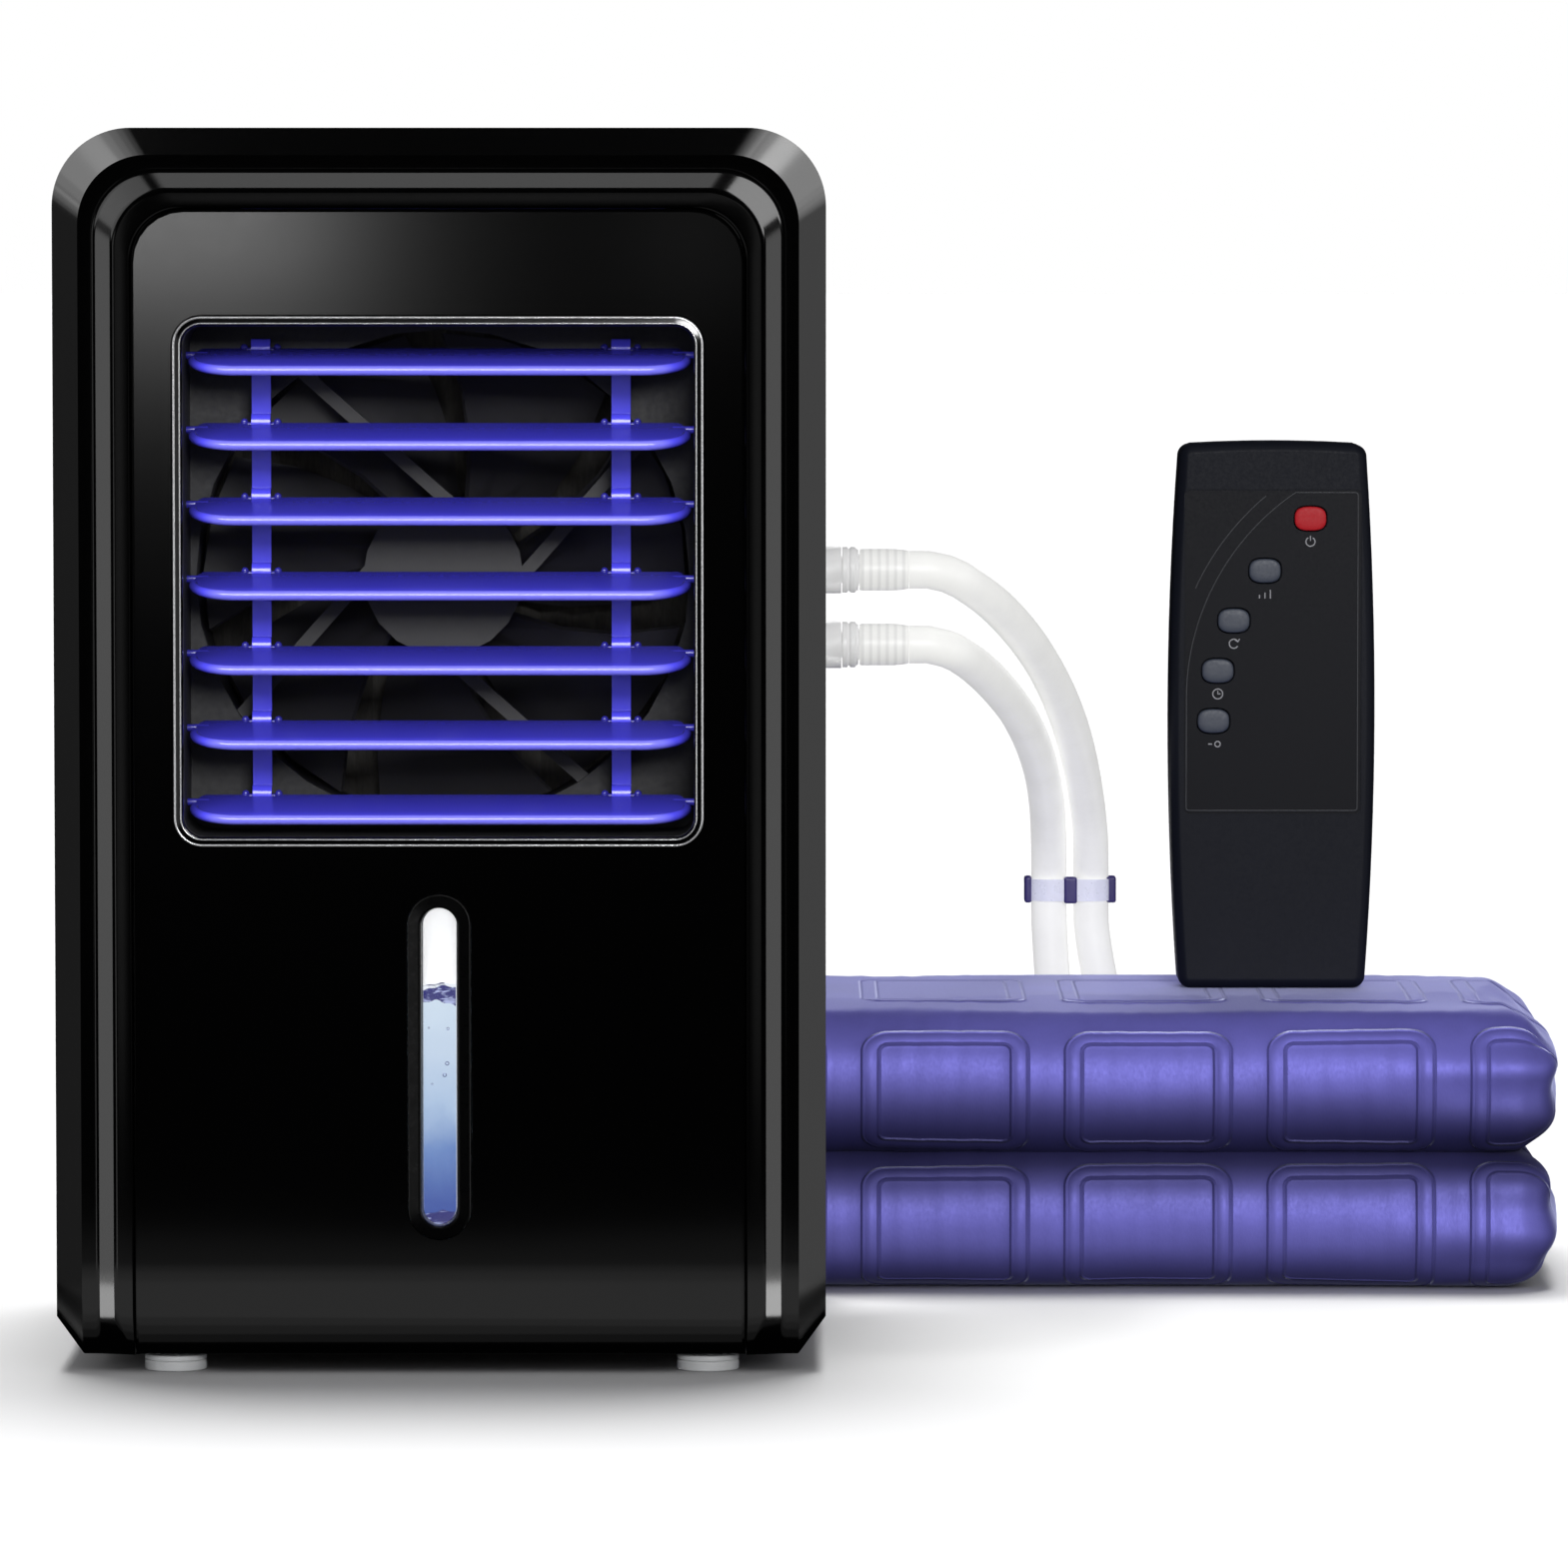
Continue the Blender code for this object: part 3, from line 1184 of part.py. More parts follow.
def make_water_tank():
    """The open water tank in the lower half of the tower."""
    half_depth = (TANK_BACK_Y - TANK_FRONT_Y) / 2
    middle = (0, (TANK_FRONT_Y + TANK_BACK_Y) / 2)
    outline = rounded_box(TANK_HALF_WIDTH, half_depth, TANK_RADIUS, middle)
    block = flat([outline], "top", TANK_FLOOR_Z, TANK_TOP_Z)
    bm = bmesh.new()
    bm.from_mesh(block)
    lid = [face for face in bm.faces if face.calc_center_median().z > TANK_TOP_Z - OVERLAP]
    bmesh.ops.delete(bm, geom=lid, context="FACES")
    bm.to_mesh(block)
    bm.free()
    add_wall(add_part("water_tank", block, "tank_plastic"), TANK_WALL)


def make_pump():
    """The sealed pump standing on the tank's floor, with its front cap and spout."""
    floor = TANK_FLOOR_Z + TANK_WALL + SEAT
    low = (PUMP_X - PUMP_WIDTH / 2, PUMP_Y - PUMP_DEPTH / 2, floor)
    high = (PUMP_X + PUMP_WIDTH / 2, PUMP_Y + PUMP_DEPTH / 2, floor + PUMP_HEIGHT)
    pump = add_part("circulation_pump", box(low, high), "dark_plastic")
    round_edges(pump, PUMP_CAP_DEPTH / 2)
    level = floor + PUMP_HEIGHT / 2
    front = PUMP_Y - PUMP_DEPTH / 2
    cap = rod(
        (PUMP_X, front - PUMP_CAP_DEPTH, level), (PUMP_X, front + OVERLAP, level), PUMP_CAP_RADIUS
    )
    top = floor + PUMP_HEIGHT
    spout_top = (PUMP_X, PUMP_Y, top + PUMP_SPOUT_HEIGHT)
    spout = rod((PUMP_X, PUMP_Y, top - OVERLAP), spout_top, PUMP_SPOUT_RADIUS)
    join(pump, cap, spout)


def make_evaporative_pad():
    """The pleated wick behind the fan."""
    steps = 2 * WICK_PLEATS
    front, back = [], []
    for index in range(steps + 1):
        x = WICK_HALF_WIDTH * (2 * index / steps - 1)
        fold = WICK_PLEAT_DEPTH * (index % 2)
        front.append((x, WICK_FRONT_Y + fold))
        back.append((x, WICK_FRONT_Y + WICK_DEPTH - WICK_PLEAT_DEPTH + fold))
    low, high = GRILLE_Z - WICK_HEIGHT / 2, GRILLE_Z + WICK_HEIGHT / 2
    pad = flat([front + back[::-1]], "top", low, high)
    add_part("evaporative_pad", pad, "wick_paper")


def make_fill_chute():
    """The square chute that leads from the fill opening down into the tank."""
    half_depth = (LID_PIN_Y - LID_LUG_DEPTH / 2 - RUN - LID_FRONT_Y) / 2 + CHUTE_WALL / 2
    middle = (0, LID_FRONT_Y - CHUTE_WALL + half_depth)
    outline = rounded_box(LID_HALF_WIDTH + CHUTE_WALL, half_depth, 2 * CHUTE_WALL, middle)
    top = SHELL_CEILING_Z - SEAT
    add_part("fill_chute", ring(outline, CHUTE_WALL, "top", CHUTE_BOTTOM_Z, top), "dark_plastic")


def panel_button_x(index):
    """Place of one of the top buttons, counted from the left."""
    return PANEL_BUTTON_SPACING * (index - (PANEL_BUTTON_COUNT - 1) / 2)


def make_control_panel():
    """The plate let into the top, its lip, its ribs and the holes for the buttons."""
    middle = (0, CONTROLS_Y)
    lip_top = SHELL_CEILING_Z - SEAT
    lip = rounded_box(
        CONTROLS_HALF_WIDTH + CONTROLS_LIP,
        CONTROLS_HALF_DEPTH + CONTROLS_LIP,
        CONTROLS_RADIUS + CONTROLS_LIP,
        middle,
    )
    panel = add_part(
        "control_panel", flat([lip], "top", CONTROLS_BOTTOM_Z, lip_top), "satin_black"
    )
    plate = rounded_box(
        CONTROLS_HALF_WIDTH - SEAT, CONTROLS_HALF_DEPTH - SEAT, CONTROLS_RADIUS - SEAT, middle
    )
    join(panel, flat([plate], "top", lip_top - OVERLAP, TOWER_HEIGHT))
    for side in (-1, 1):
        low_x = side * CONTROLS_RIB_X - OVERLAP
        rib = box(
            (low_x, CONTROLS_Y - BOARD_HALF_DEPTH, BOARD_TOP_Z + SEAT),
            (low_x + 2 * OVERLAP, CONTROLS_Y + BOARD_HALF_DEPTH, CONTROLS_BOTTOM_Z + OVERLAP),
        )
        join(panel, rib)
    holes = []
    for index in range(PANEL_BUTTON_COUNT):
        x = panel_button_x(index)
        low = (x, CONTROLS_Y, CONTROLS_BOTTOM_Z - OVERLAP)
        high = (x, CONTROLS_Y, TOWER_HEIGHT + OVERLAP)
        holes.append(rod(low, high, PANEL_BUTTON_RADIUS + SEAT, BUTTON_SIDES))
    cut(panel, gathered(holes))


def make_panel_buttons():
    """The round buttons of the top, each held by a lip under the control panel."""
    lip_top = CONTROLS_BOTTOM_Z - SEAT
    bottom = BOARD_TOP_Z + SEAT + PANEL_BUTTON_TRAVEL
    top = TOWER_HEIGHT - SEAT
    profile = [
        (0, top),
        (PANEL_BUTTON_RADIUS - PANEL_BUTTON_EDGE, top),
        (PANEL_BUTTON_RADIUS, top - PANEL_BUTTON_EDGE),
        (PANEL_BUTTON_RADIUS, lip_top),
        (PANEL_BUTTON_RADIUS + PANEL_BUTTON_LIP, lip_top),
        (PANEL_BUTTON_RADIUS + PANEL_BUTTON_LIP, bottom),
        (0, bottom),
    ]
    for index in range(PANEL_BUTTON_COUNT):
        place = (panel_button_x(index), CONTROLS_Y, 0)
        name = f"panel_button_{index + 1}"
        add_turned(name, profile, "satin_black", place, (0, 0, 0), BUTTON_SIDES)


def make_control_board():
    """The circuit board under the control panel."""
    low = (-BOARD_HALF_WIDTH, CONTROLS_Y - BOARD_HALF_DEPTH, BOARD_TOP_Z - BOARD_THICKNESS)
    high = (BOARD_HALF_WIDTH, CONTROLS_Y + BOARD_HALF_DEPTH, BOARD_TOP_Z)
    add_part("control_board", box(low, high), "board_green")


def make_fill_lid():
    """The hinged fill lid, flush with the top, and the steel pin through its bead."""
    half = LID_HALF_WIDTH - SEAT
    low = (-half, LID_FRONT_Y + SEAT, SHELL_CEILING_Z)
    high = (half, LID_PIN_Y, TOWER_HEIGHT)
    pivot = (0, LID_PIN_Y, LID_PIN_Z)
    lid = add_part("fill_lid", box(low, high), "gloss_black", pivot)
    left, right = (-half, LID_PIN_Y, LID_PIN_Z), (half, LID_PIN_Y, LID_PIN_Z)
    join(lid, rod(left, right, LID_BEAD_RADIUS, BUTTON_SIDES))
    reach = LID_HALF_WIDTH + LID_LUG_WIDTH
    left, right = (-reach, LID_PIN_Y, LID_PIN_Z), (reach, LID_PIN_Y, LID_PIN_Z)
    cut(lid, rod(left, right, LID_PIN_RADIUS + SEAT, PIN_SIDES))
    add_part("fill_lid_pin", rod(left, right, LID_PIN_RADIUS, PIN_SIDES), "screw_steel")


def make_rear_cover():
    """The back: a shallow lid with screw columns, intake slots and the inlet's hole."""
    front = SHELL_BACK_Y + SEAT
    block = flat([housing_outline(0)], "front", front, TOWER_DEPTH)
    bm = bmesh.new()
    bm.from_mesh(block)
    merge_flat_faces(bm)
    back = [
        edge for edge in bm.edges if min(vert.co.y for vert in edge.verts) > TOWER_DEPTH - SEAT
    ]
    bmesh.ops.bevel(
        bm, geom=back, offset=COVER_EDGE, segments=2, profile=0.5, affect="EDGES",
        clamp_overlap=True,
    )
    bm.to_mesh(block)
    bm.free()
    cover = add_part("rear_cover", block, "satin_black")
    inner_back = TOWER_DEPTH - SHELL_WALL
    cut(cover, flat([housing_outline(SHELL_WALL)], "front", front - OVERLAP, inner_back))
    columns = [
        rod((x, front, z), (x, inner_back + OVERLAP, z), BOSS_RADIUS) for x, z in screw_places()
    ]
    join(cover, gathered(columns))
    seat = TOWER_DEPTH - SCREW_SOCKET_DEPTH
    sockets = [
        rod((x, seat, z), (x, TOWER_DEPTH + OVERLAP, z), SCREW_HEAD_RADIUS + SEAT)
        for x, z in screw_places()
    ]
    holes = [
        rod((x, front - OVERLAP, z), (x, seat + OVERLAP, z), SCREW_RADIUS + SEAT, PIN_SIDES)
        for x, z in screw_places()
    ]
    cut(cover, gathered(sockets), gathered(holes))
    slots = []
    for index in range(INTAKE_SLOTS):
        low_z = GRILLE_Z + INTAKE_PITCH * (index - (INTAKE_SLOTS - 1) / 2) - INTAKE_SLOT_HEIGHT / 2
        slots.append(
            box(
                (-INTAKE_HALF_WIDTH, inner_back - OVERLAP, low_z),
                (INTAKE_HALF_WIDTH, TOWER_DEPTH + OVERLAP, low_z + INTAKE_SLOT_HEIGHT),
            )
        )
    inlet = rod(
        (INLET_X, inner_back - OVERLAP, INLET_Z),
        (INLET_X, TOWER_DEPTH + OVERLAP, INLET_Z),
        INLET_RADIUS + SEAT,
        BUTTON_SIDES,
    )
    cut(cover, gathered(slots), inlet)


def make_rear_screws():
    """The four screws that hold the rear cover, heads in their sockets."""
    head_bottom = TOWER_DEPTH - SCREW_SOCKET_DEPTH + SEAT
    head_top = head_bottom + SCREW_HEAD_HEIGHT
    tip = SHELL_BACK_Y - SCREW_LENGTH + SEAT
    profile = [
        (0, head_top),
        (SCREW_HEAD_RADIUS - FACE_DEPTH, head_top),
        (SCREW_HEAD_RADIUS, head_bottom + SCREW_HEAD_HEIGHT / 2),
        (SCREW_HEAD_RADIUS, head_bottom),
        (SCREW_RADIUS, head_bottom),
        (SCREW_RADIUS, tip),
        (0, tip),
    ]
    for number, (x, z) in enumerate(screw_places(), 1):
        name = f"rear_screw_{number}"
        add_turned(name, profile, "screw_steel", (x, 0, z), (-90, 0, 0), PIN_SIDES)


def make_power_inlet():
    """The round low-voltage inlet in the rear cover."""
    outer = TOWER_DEPTH + SEAT + INLET_FLANGE_THICKNESS
    floor = outer - INLET_LENGTH + INLET_FLOOR
    profile = [
        (INLET_BORE_RADIUS, outer),
        (INLET_FLANGE_RADIUS, outer),
        (INLET_FLANGE_RADIUS, TOWER_DEPTH + SEAT),
        (INLET_RADIUS, TOWER_DEPTH + SEAT),
        (INLET_RADIUS, outer - INLET_LENGTH),
        (0, outer - INLET_LENGTH),
        (0, floor),
        (INLET_BORE_RADIUS, floor),
    ]
    place = (INLET_X, 0, INLET_Z)
    add_turned("power_inlet", profile, "satin_black", place, (-90, 0, 0), BUTTON_SIDES, bored=True)


def make_ports():
    """The two barbed hose ports through the right side of the housing."""
    face = HALF_WIDTH + SEAT
    flange = face + PORT_FLANGE_THICKNESS
    tip = flange + PORT_BARB_LENGTH
    tail = HALF_WIDTH - SHELL_WALL
    profile = [
        (PORT_BORE_RADIUS, tip),
        (PORT_BARB_RADIUS - SEAT, tip),
        (PORT_BARB_RADIUS, tip - PORT_BARB_RADIUS),
        (PORT_BARB_RADIUS, flange),
        (PORT_FLANGE_RADIUS, flange),
        (PORT_FLANGE_RADIUS, face),
        (PORT_NECK_RADIUS, face),
        (PORT_NECK_RADIUS, tail),
        (PORT_BARB_RADIUS, tail),
        (PORT_BARB_RADIUS, tail - PORT_TAIL_LENGTH),
        (PORT_BORE_RADIUS, tail - PORT_TAIL_LENGTH),
    ]
    for name, height in (("port_upper", PORT_HIGH_Z), ("port_lower", PORT_LOW_Z)):
        place = (0, PORT_Y, height)
        add_turned(name, profile, "clear_plastic", place, (0, 90, 0), bored=True)


def make_couplings():
    """The ribbed hose ends that push over the ports' barbs."""
    far = COUPLING_END_X
    near = far - COUPLING_LENGTH
    bore = PORT_BARB_RADIUS + SEAT
    flare = far - 2 * COUPLING_RIB_PITCH
    profile = [
        (bore, far),
        (COUPLING_END_RADIUS, far),
        (COUPLING_FLARE_RADIUS, far - COUPLING_RIB_PITCH),
        (COUPLING_RADIUS, flare),
    ]
    for index in reversed(range(COUPLING_RIBS)):
        root = near + COUPLING_RIB_PITCH * (index + 1)
        profile += [(COUPLING_RADIUS, root), (COUPLING_RIB_RADIUS, root - COUPLING_RIB_PITCH / 3)]
        if index:
            profile += [(COUPLING_RIB_RADIUS, root - 2 * COUPLING_RIB_PITCH / 3)]
    profile += [(COUPLING_RIB_RADIUS, near), (bore, near)]
    for name, height in (("coupling_upper", PORT_HIGH_Z), ("coupling_lower", PORT_LOW_Z)):
        place = (0, PORT_Y, height)
        add_turned(name, profile, "clear_plastic", place, (0, 90, 0), bored=True)


def make_hose_clip():
    """The double clip that holds the hoses side by side."""
    reach = HOSE_DIAMETER / 2 + SEAT
    hose_y = HOSE_CLIP_Y
    right_x = HOSE_CLIP_X + HOSE_GAP_X
    outer = arc((right_x, hose_y), reach + CLIP_WALL, -90, 90, CLIP_STEPS)
    outer += arc((HOSE_CLIP_X, hose_y), reach + CLIP_WALL, 90, 270, CLIP_STEPS)
    holes = [circle((x, hose_y), reach, BUTTON_SIDES) for x in (HOSE_CLIP_X, right_x)]
    low, high = CLIP_Z - CLIP_HEIGHT / 2, CLIP_Z + CLIP_HEIGHT / 2
    add_part("hose_clip", flat([outer, *holes], "top", low, high), "louver_blue")


def smooth_route(points, spacing):
    """A route with straight ends, and evenly spaced points on a smooth curve between."""
    points = [Vector(point) for point in points]
    fine = []
    for before, start, end, after in zip(points, points[1:], points[2:], points[3:]):
        for index in range(CURVE_STEPS):
            share = index / CURVE_STEPS
            fine.append(
                start
                + (end - before) * share / 2
                + (2 * before - 5 * start + 4 * end - after) * share ** 2 / 2
                + (3 * start - before - 3 * end + after) * share ** 3 / 2
            )
    fine.append(points[-2])
    length = route_length(fine)
    count = max(round(length / spacing), 2)
    route, walked, target = [points[0], fine[0]], 0, length / count
    for before, after in zip(fine, fine[1:]):
        piece = (after - before).length
        while walked + piece >= target and len(route) <= count:
            route.append(before.lerp(after, (target - walked) / piece))
            target += length / count
        walked += piece
    return route + [points[-2], points[-1]]


def route_length(points):
    """Length of a chain of points."""
    return sum((after - before).length for before, after in zip(points, points[1:]))


def coil_route(floor_z):
    """The turns of a coil: a flat spiral in, a climb of one layer, and the same way out."""
    steps = round(COIL_TURNS * COIL_LOOP_POINTS)
    points = []
    for index in range(steps + 1):
        turns = index / COIL_LOOP_POINTS
        middle = COIL_TURNS / 2
        radius = COIL_RADIUS - COIL_PITCH * (middle - abs(turns - middle))
        climb = min(max((turns - middle) * 2 + 0.5, 0), 1)
        angle = math.radians(360 * turns - 90)
        points.append(
            Vector((
                COIL_X + radius * math.cos(angle),
                COIL_Y + radius * math.sin(angle),
                floor_z + COIL_PITCH * climb,
            ))
        )
    return points


def tube_curve(points, diameter, resolution):
    """A round tube with filled ends along a chain of points."""
    curve = bpy.data.curves.new("tube", "CURVE")
    curve.dimensions = "3D"
    curve.bevel_depth = diameter / 2
    curve.bevel_resolution = resolution
    curve.use_fill_caps = True
    spline = curve.splines.new("POLY")
    spline.points.add(len(points) - 1)
    for point, place in zip(spline.points, points):
        point.co = (*place, 1)
    spline.use_smooth = True
    return curve


def least_gap(points, diameter):
    """The least gap between stretches of a tube that aren't neighbours along it."""
    least = math.inf
    apart = SKIPPED_POINTS
    for index, point in enumerate(points):
        for start, end in zip(points[index + apart:], points[index + apart + 1:]):
            along = end - start
            share = min(max((point - start).dot(along) / along.length_squared, 0), 1)
            least = min(least, (start + along * share - point).length)
    return least - diameter


def beside_tower(route):
    """The points of a route, placed from the tower's right side and its back."""
    return [(x + HALF_WIDTH, y + TOWER_DEPTH, z) for x, y, z in route]


def free_stretch(port_z, clip_x, route, drop, coil_z):
    """A hose from its coupling through the clip and down to the floor behind the pad."""
    start_x = COUPLING_END_X + SEAT
    straight = HOSE_DIAMETER / 2
    coil_y = COIL_Y - COIL_RADIUS
    start = [(start_x, PORT_Y, port_z), (start_x + straight, PORT_Y, port_z)]
    clip = (clip_x, HOSE_CLIP_Y, CLIP_Z)
    above = (clip_x, HOSE_CLIP_Y, CLIP_Z + straight)
    below = (clip_x, HOSE_CLIP_Y, CLIP_Z - straight)
    end_x = COIL_X - HOSE_DIAMETER - SEAT
    end = [(end_x - straight, coil_y, coil_z), (end_x, coil_y, coil_z)]
    spacing = HOSE_DIAMETER * HOSE_STEP_DIAMETERS
    first = smooth_route([*start, *beside_tower(route), above, clip], spacing)
    second = smooth_route([clip, below, *beside_tower(drop), *end], spacing)
    return first[:-1] + second[1:]


def coiled_stretch(coil_z, tail, port_x):
    """The rest of a hose: its coil, and its end up to the pad's port."""
    lead = Vector((COIL_X - HOSE_DIAMETER, COIL_Y - COIL_RADIUS, coil_z))
    coil = coil_route(coil_z)
    near_port = PAD_PORT_TIP_Y + SEAT
    end = [(port_x, near_port + HOSE_DIAMETER, PAD_PORT_Z), (port_x, near_port, PAD_PORT_Z)]
    start = [coil[-2], coil[-1]]
    spacing = HOSE_DIAMETER * HOSE_STEP_DIAMETERS
    rest = smooth_route([*start, *beside_tower(tail), *end], spacing)
    return [lead] + coil[:-1] + rest[1:]


def make_hoses():
    """Each hose as a free stretch down from its coupling, then its coil and its end."""
    plans = (
        ("hose_upper", PORT_HIGH_Z, 1, UPPER_ROUTE, UPPER_DROP, UPPER_END),
        ("hose_lower", PORT_LOW_Z, 0, LOWER_ROUTE, LOWER_DROP, LOWER_END),
    )
    for name, port_z, rank, route, drop, tail in plans:
        coil_z = COIL_FLOOR_Z + 2 * COIL_PITCH * rank
        clip_x = HOSE_CLIP_X + HOSE_GAP_X * rank
        stretch = free_stretch(port_z, clip_x, route, drop, coil_z)
        add_part(name, tube_curve(stretch, HOSE_DIAMETER, 2), "hose_plastic")
        turns = coiled_stretch(coil_z, tail, PAD_PORT_X - PAD_PORT_SPACING * rank)
        add_part(name + "_coil", tube_curve(turns, HOSE_DIAMETER, 1), "hose_plastic")
        gap = least_gap(turns, HOSE_DIAMETER)
        length = route_length(stretch) + route_length(turns)
        print(f"{name}: {length:.4f} m long, least gap in its coil {gap * 1000:.2f} mm")


def pad_section():
    """Half the pad's outline in depth and height, as (y, z, middle z, relief share)."""
    layer = PAD_LAYER_HEIGHT
    lower, upper = layer / 2, layer + layer / 2
    front, back = PAD_FRONT_Y, PAD_BACK_Y
    nose = PAD_NOSE
    points = []

    def add_nose(edge, way, middle, angles):
        for angle, relief in angles:
            turn = math.radians(angle)
            depth = edge + way * nose * (1 - math.cos(turn))
            points.append((depth, middle + layer / 2 * math.sin(turn), middle, relief))

    crease = nose + PAD_CREASE
    add_nose(front, 1, lower, FRONT_LOW_NOSE_SHARES)
    points.append((front + crease, layer, layer, 0))
    add_nose(front, 1, upper, FRONT_HIGH_NOSE_SHARES)
    for share in PAD_TOP_SHARES:
        depth = front + nose + (back - front - 2 * nose) * share
        points.append((depth, 2 * layer + PAD_CROWN, upper, 1))
    add_nose(back, -1, upper, BACK_HIGH_NOSE_SHARES)
    points.append((back - crease, layer, layer, 0))
    add_nose(back, -1, lower, BACK_LOW_NOSE_SHARES)
    return points


def pad_columns():
    """Places along the pad's length, as (x, relief height, distance from the nearer end)."""
    left = PAD_RIGHT - PAD_LENGTH
    band, half = CHANNEL_HALF_BAND, CHANNEL_HALF_WIDTH
    marks = []
    middle = PAD_RIGHT - LAST_CHANNEL_INSET
    while middle > left - CHANNEL_PITCH:
        profile = (
            (0, CHANNEL_HEIGHT / 2),
            (half - band, -CHANNEL_HEIGHT / 2),
            (half, CHANNEL_HEIGHT),
            (half + band, -CHANNEL_HEIGHT / 2),
        )
        marks += [(middle + offset, height) for offset, height in profile]
        marks += [(middle - offset, height) for offset, height in profile[1:]]
        marks.append((middle - CHANNEL_PITCH / 2, 0))
        middle -= CHANNEL_PITCH
    ends = [PAD_END_LENGTH * share for share in PAD_END_SHARES]
    clear = ends[-1] + CHANNEL_HALF_BAND
    inner = [mark for mark in marks if left + clear < mark[0] < PAD_RIGHT - clear]
    columns = [(left + step, 0, step) for step in ends]
    columns += [(x, height, min(x - left, PAD_RIGHT - x)) for x, height in sorted(inner)]
    return columns + [(PAD_RIGHT - step, 0, step) for step in reversed(ends)]


def make_cooling_pad():
    """The folded pad: its section drawn in at the ends and raised along the channels."""
    section = pad_section()
    middle_y = (PAD_FRONT_Y + PAD_BACK_Y) / 2
    half_depth = (PAD_BACK_Y - PAD_FRONT_Y) / 2
    rows = []
    for x, height, from_end in pad_columns():
        share = max(0, 1 - from_end / PAD_END_LENGTH)
        draw = PAD_END_DRAW * (1 - math.sqrt(1 - share ** 2))
        row = []
        for y, z, middle_z, relief in section:
            out_y = (y - middle_y) / half_depth
            out_z = (z - middle_z) / (PAD_LAYER_HEIGHT / 2)
            shift = height * relief - draw
            new_z = max(z + shift * out_z, 0)
            row.append((x, y + shift * out_y * (1 - abs(out_z) / 2), new_z))
        rows.append(row)
    add_part("cooling_pad", loft(rows, closed_rows=True, caps=True), "pad_fabric")


def make_pad_ports():
    """The two hose ports at the pad's back edge."""
    near = PAD_BACK_Y + SEAT
    flange = near + PAD_PORT_FLANGE_THICKNESS
    tip = PAD_PORT_TIP_Y
    floor = flange + PAD_PORT_FLANGE_THICKNESS
    profile = [
        (PAD_PORT_BORE_RADIUS, tip),
        (PAD_PORT_RADIUS, tip),
        (PAD_PORT_RADIUS, flange),
        (PAD_PORT_FLANGE_RADIUS, flange),
        (PAD_PORT_FLANGE_RADIUS, near),
        (0, near),
        (0, floor),
        (PAD_PORT_BORE_RADIUS, floor),
    ]
    for number, x in enumerate((PAD_PORT_X, PAD_PORT_X - PAD_PORT_SPACING), 1):
        place = (x, 0, PAD_PORT_Z)
        add_turned(f"pad_port_{number}", profile, "hose_plastic", place, (-90, 0, 0), bored=True)


def remote_outline():
    """The remote from the front, with its sides bowed out and its corners round."""
    half_height = REMOTE_HEIGHT / 2
    corner_z = half_height - REMOTE_CORNER
    corner_x = REMOTE_END_HALF_WIDTH - REMOTE_CORNER
    bow = REMOTE_MIDDLE_HALF_WIDTH - REMOTE_END_HALF_WIDTH
    right = []
    for share in REMOTE_SIDE_SHARES:
        right.append((REMOTE_END_HALF_WIDTH + bow * (1 - share ** 2), corner_z * share))
    right += arc((corner_x, corner_z), REMOTE_CORNER, 0, 90, REMOTE_CORNER_STEPS)
    left = [(-x, z) for x, z in reversed(right)]
    below = arc((-corner_x, -corner_z), REMOTE_CORNER, 180, 270, REMOTE_CORNER_STEPS)
    below += arc((corner_x, -corner_z), REMOTE_CORNER, 270, 360, REMOTE_CORNER_STEPS)
    return [(x + REMOTE_X, z + REMOTE_Z) for x, z in right + left + below]


def key_outline(place, margin):
    """An oval key, or its hole with a margin."""
    across, up = place
    radii = (KEY_HALF_WIDTH + margin, KEY_HALF_HEIGHT + margin)
    return arc((REMOTE_X + across, REMOTE_Z + up), radii, 0, 360, KEY_SIDES)[:-1]


def make_remote():
    """The remote: front shell with its face and keys, back shell and battery cover."""
    front = add_part(
        "remote_front_shell",
        flat([remote_outline()], "front", REMOTE_FRONT_Y, REMOTE_SPLIT_Y - SEAT / 2),
        "remote_black",
    )
    round_front(front, REMOTE_FRONT_Y, REMOTE_FRONT_EDGE)
    face_y = REMOTE_FRONT_Y + FACE_DEPTH
    face = rounded_box(
        FACE_HALF_WIDTH, FACE_HALF_HEIGHT, FACE_RADIUS, (REMOTE_X, REMOTE_Z + FACE_RISE)
    )
    cut(front, flat([face], "front", REMOTE_FRONT_Y - OVERLAP, face_y))
    key_back = face_y + KEY_DEPTH
    pocket_back = key_back + KEY_TRAVEL + SEAT
    for number, place in enumerate(KEY_PLACES, 1):
        hole = flat([key_outline(place, SEAT)], "front", REMOTE_FRONT_Y - OVERLAP, pocket_back)
        cut(front, hole)
        key = add_part(
            f"remote_button_{number}",
            flat([key_outline(place, 0)], "front", face_y - KEY_PROUD, key_back),
            "key_red" if number == 1 else "key_grey",
        )
        round_front(key, face_y - KEY_PROUD, KEY_EDGE)
    make_remote_back()


def round_front(part, level, width):
    """Round the rim of a flat piece at one level of depth."""
    bm = bmesh.new()
    bm.from_mesh(part.data)
    merge_flat_faces(bm)
    rim = [
        edge for edge in bm.edges if all(abs(vert.co.y - level) < SEAT / 2 for vert in edge.verts)
    ]
    bmesh.ops.bevel(bm, geom=rim, offset=width, segments=2, profile=0.5, affect="EDGES")
    bmesh.ops.recalc_face_normals(bm, faces=bm.faces)
    bm.to_mesh(part.data)
    bm.free()
    shade_round(part.data)


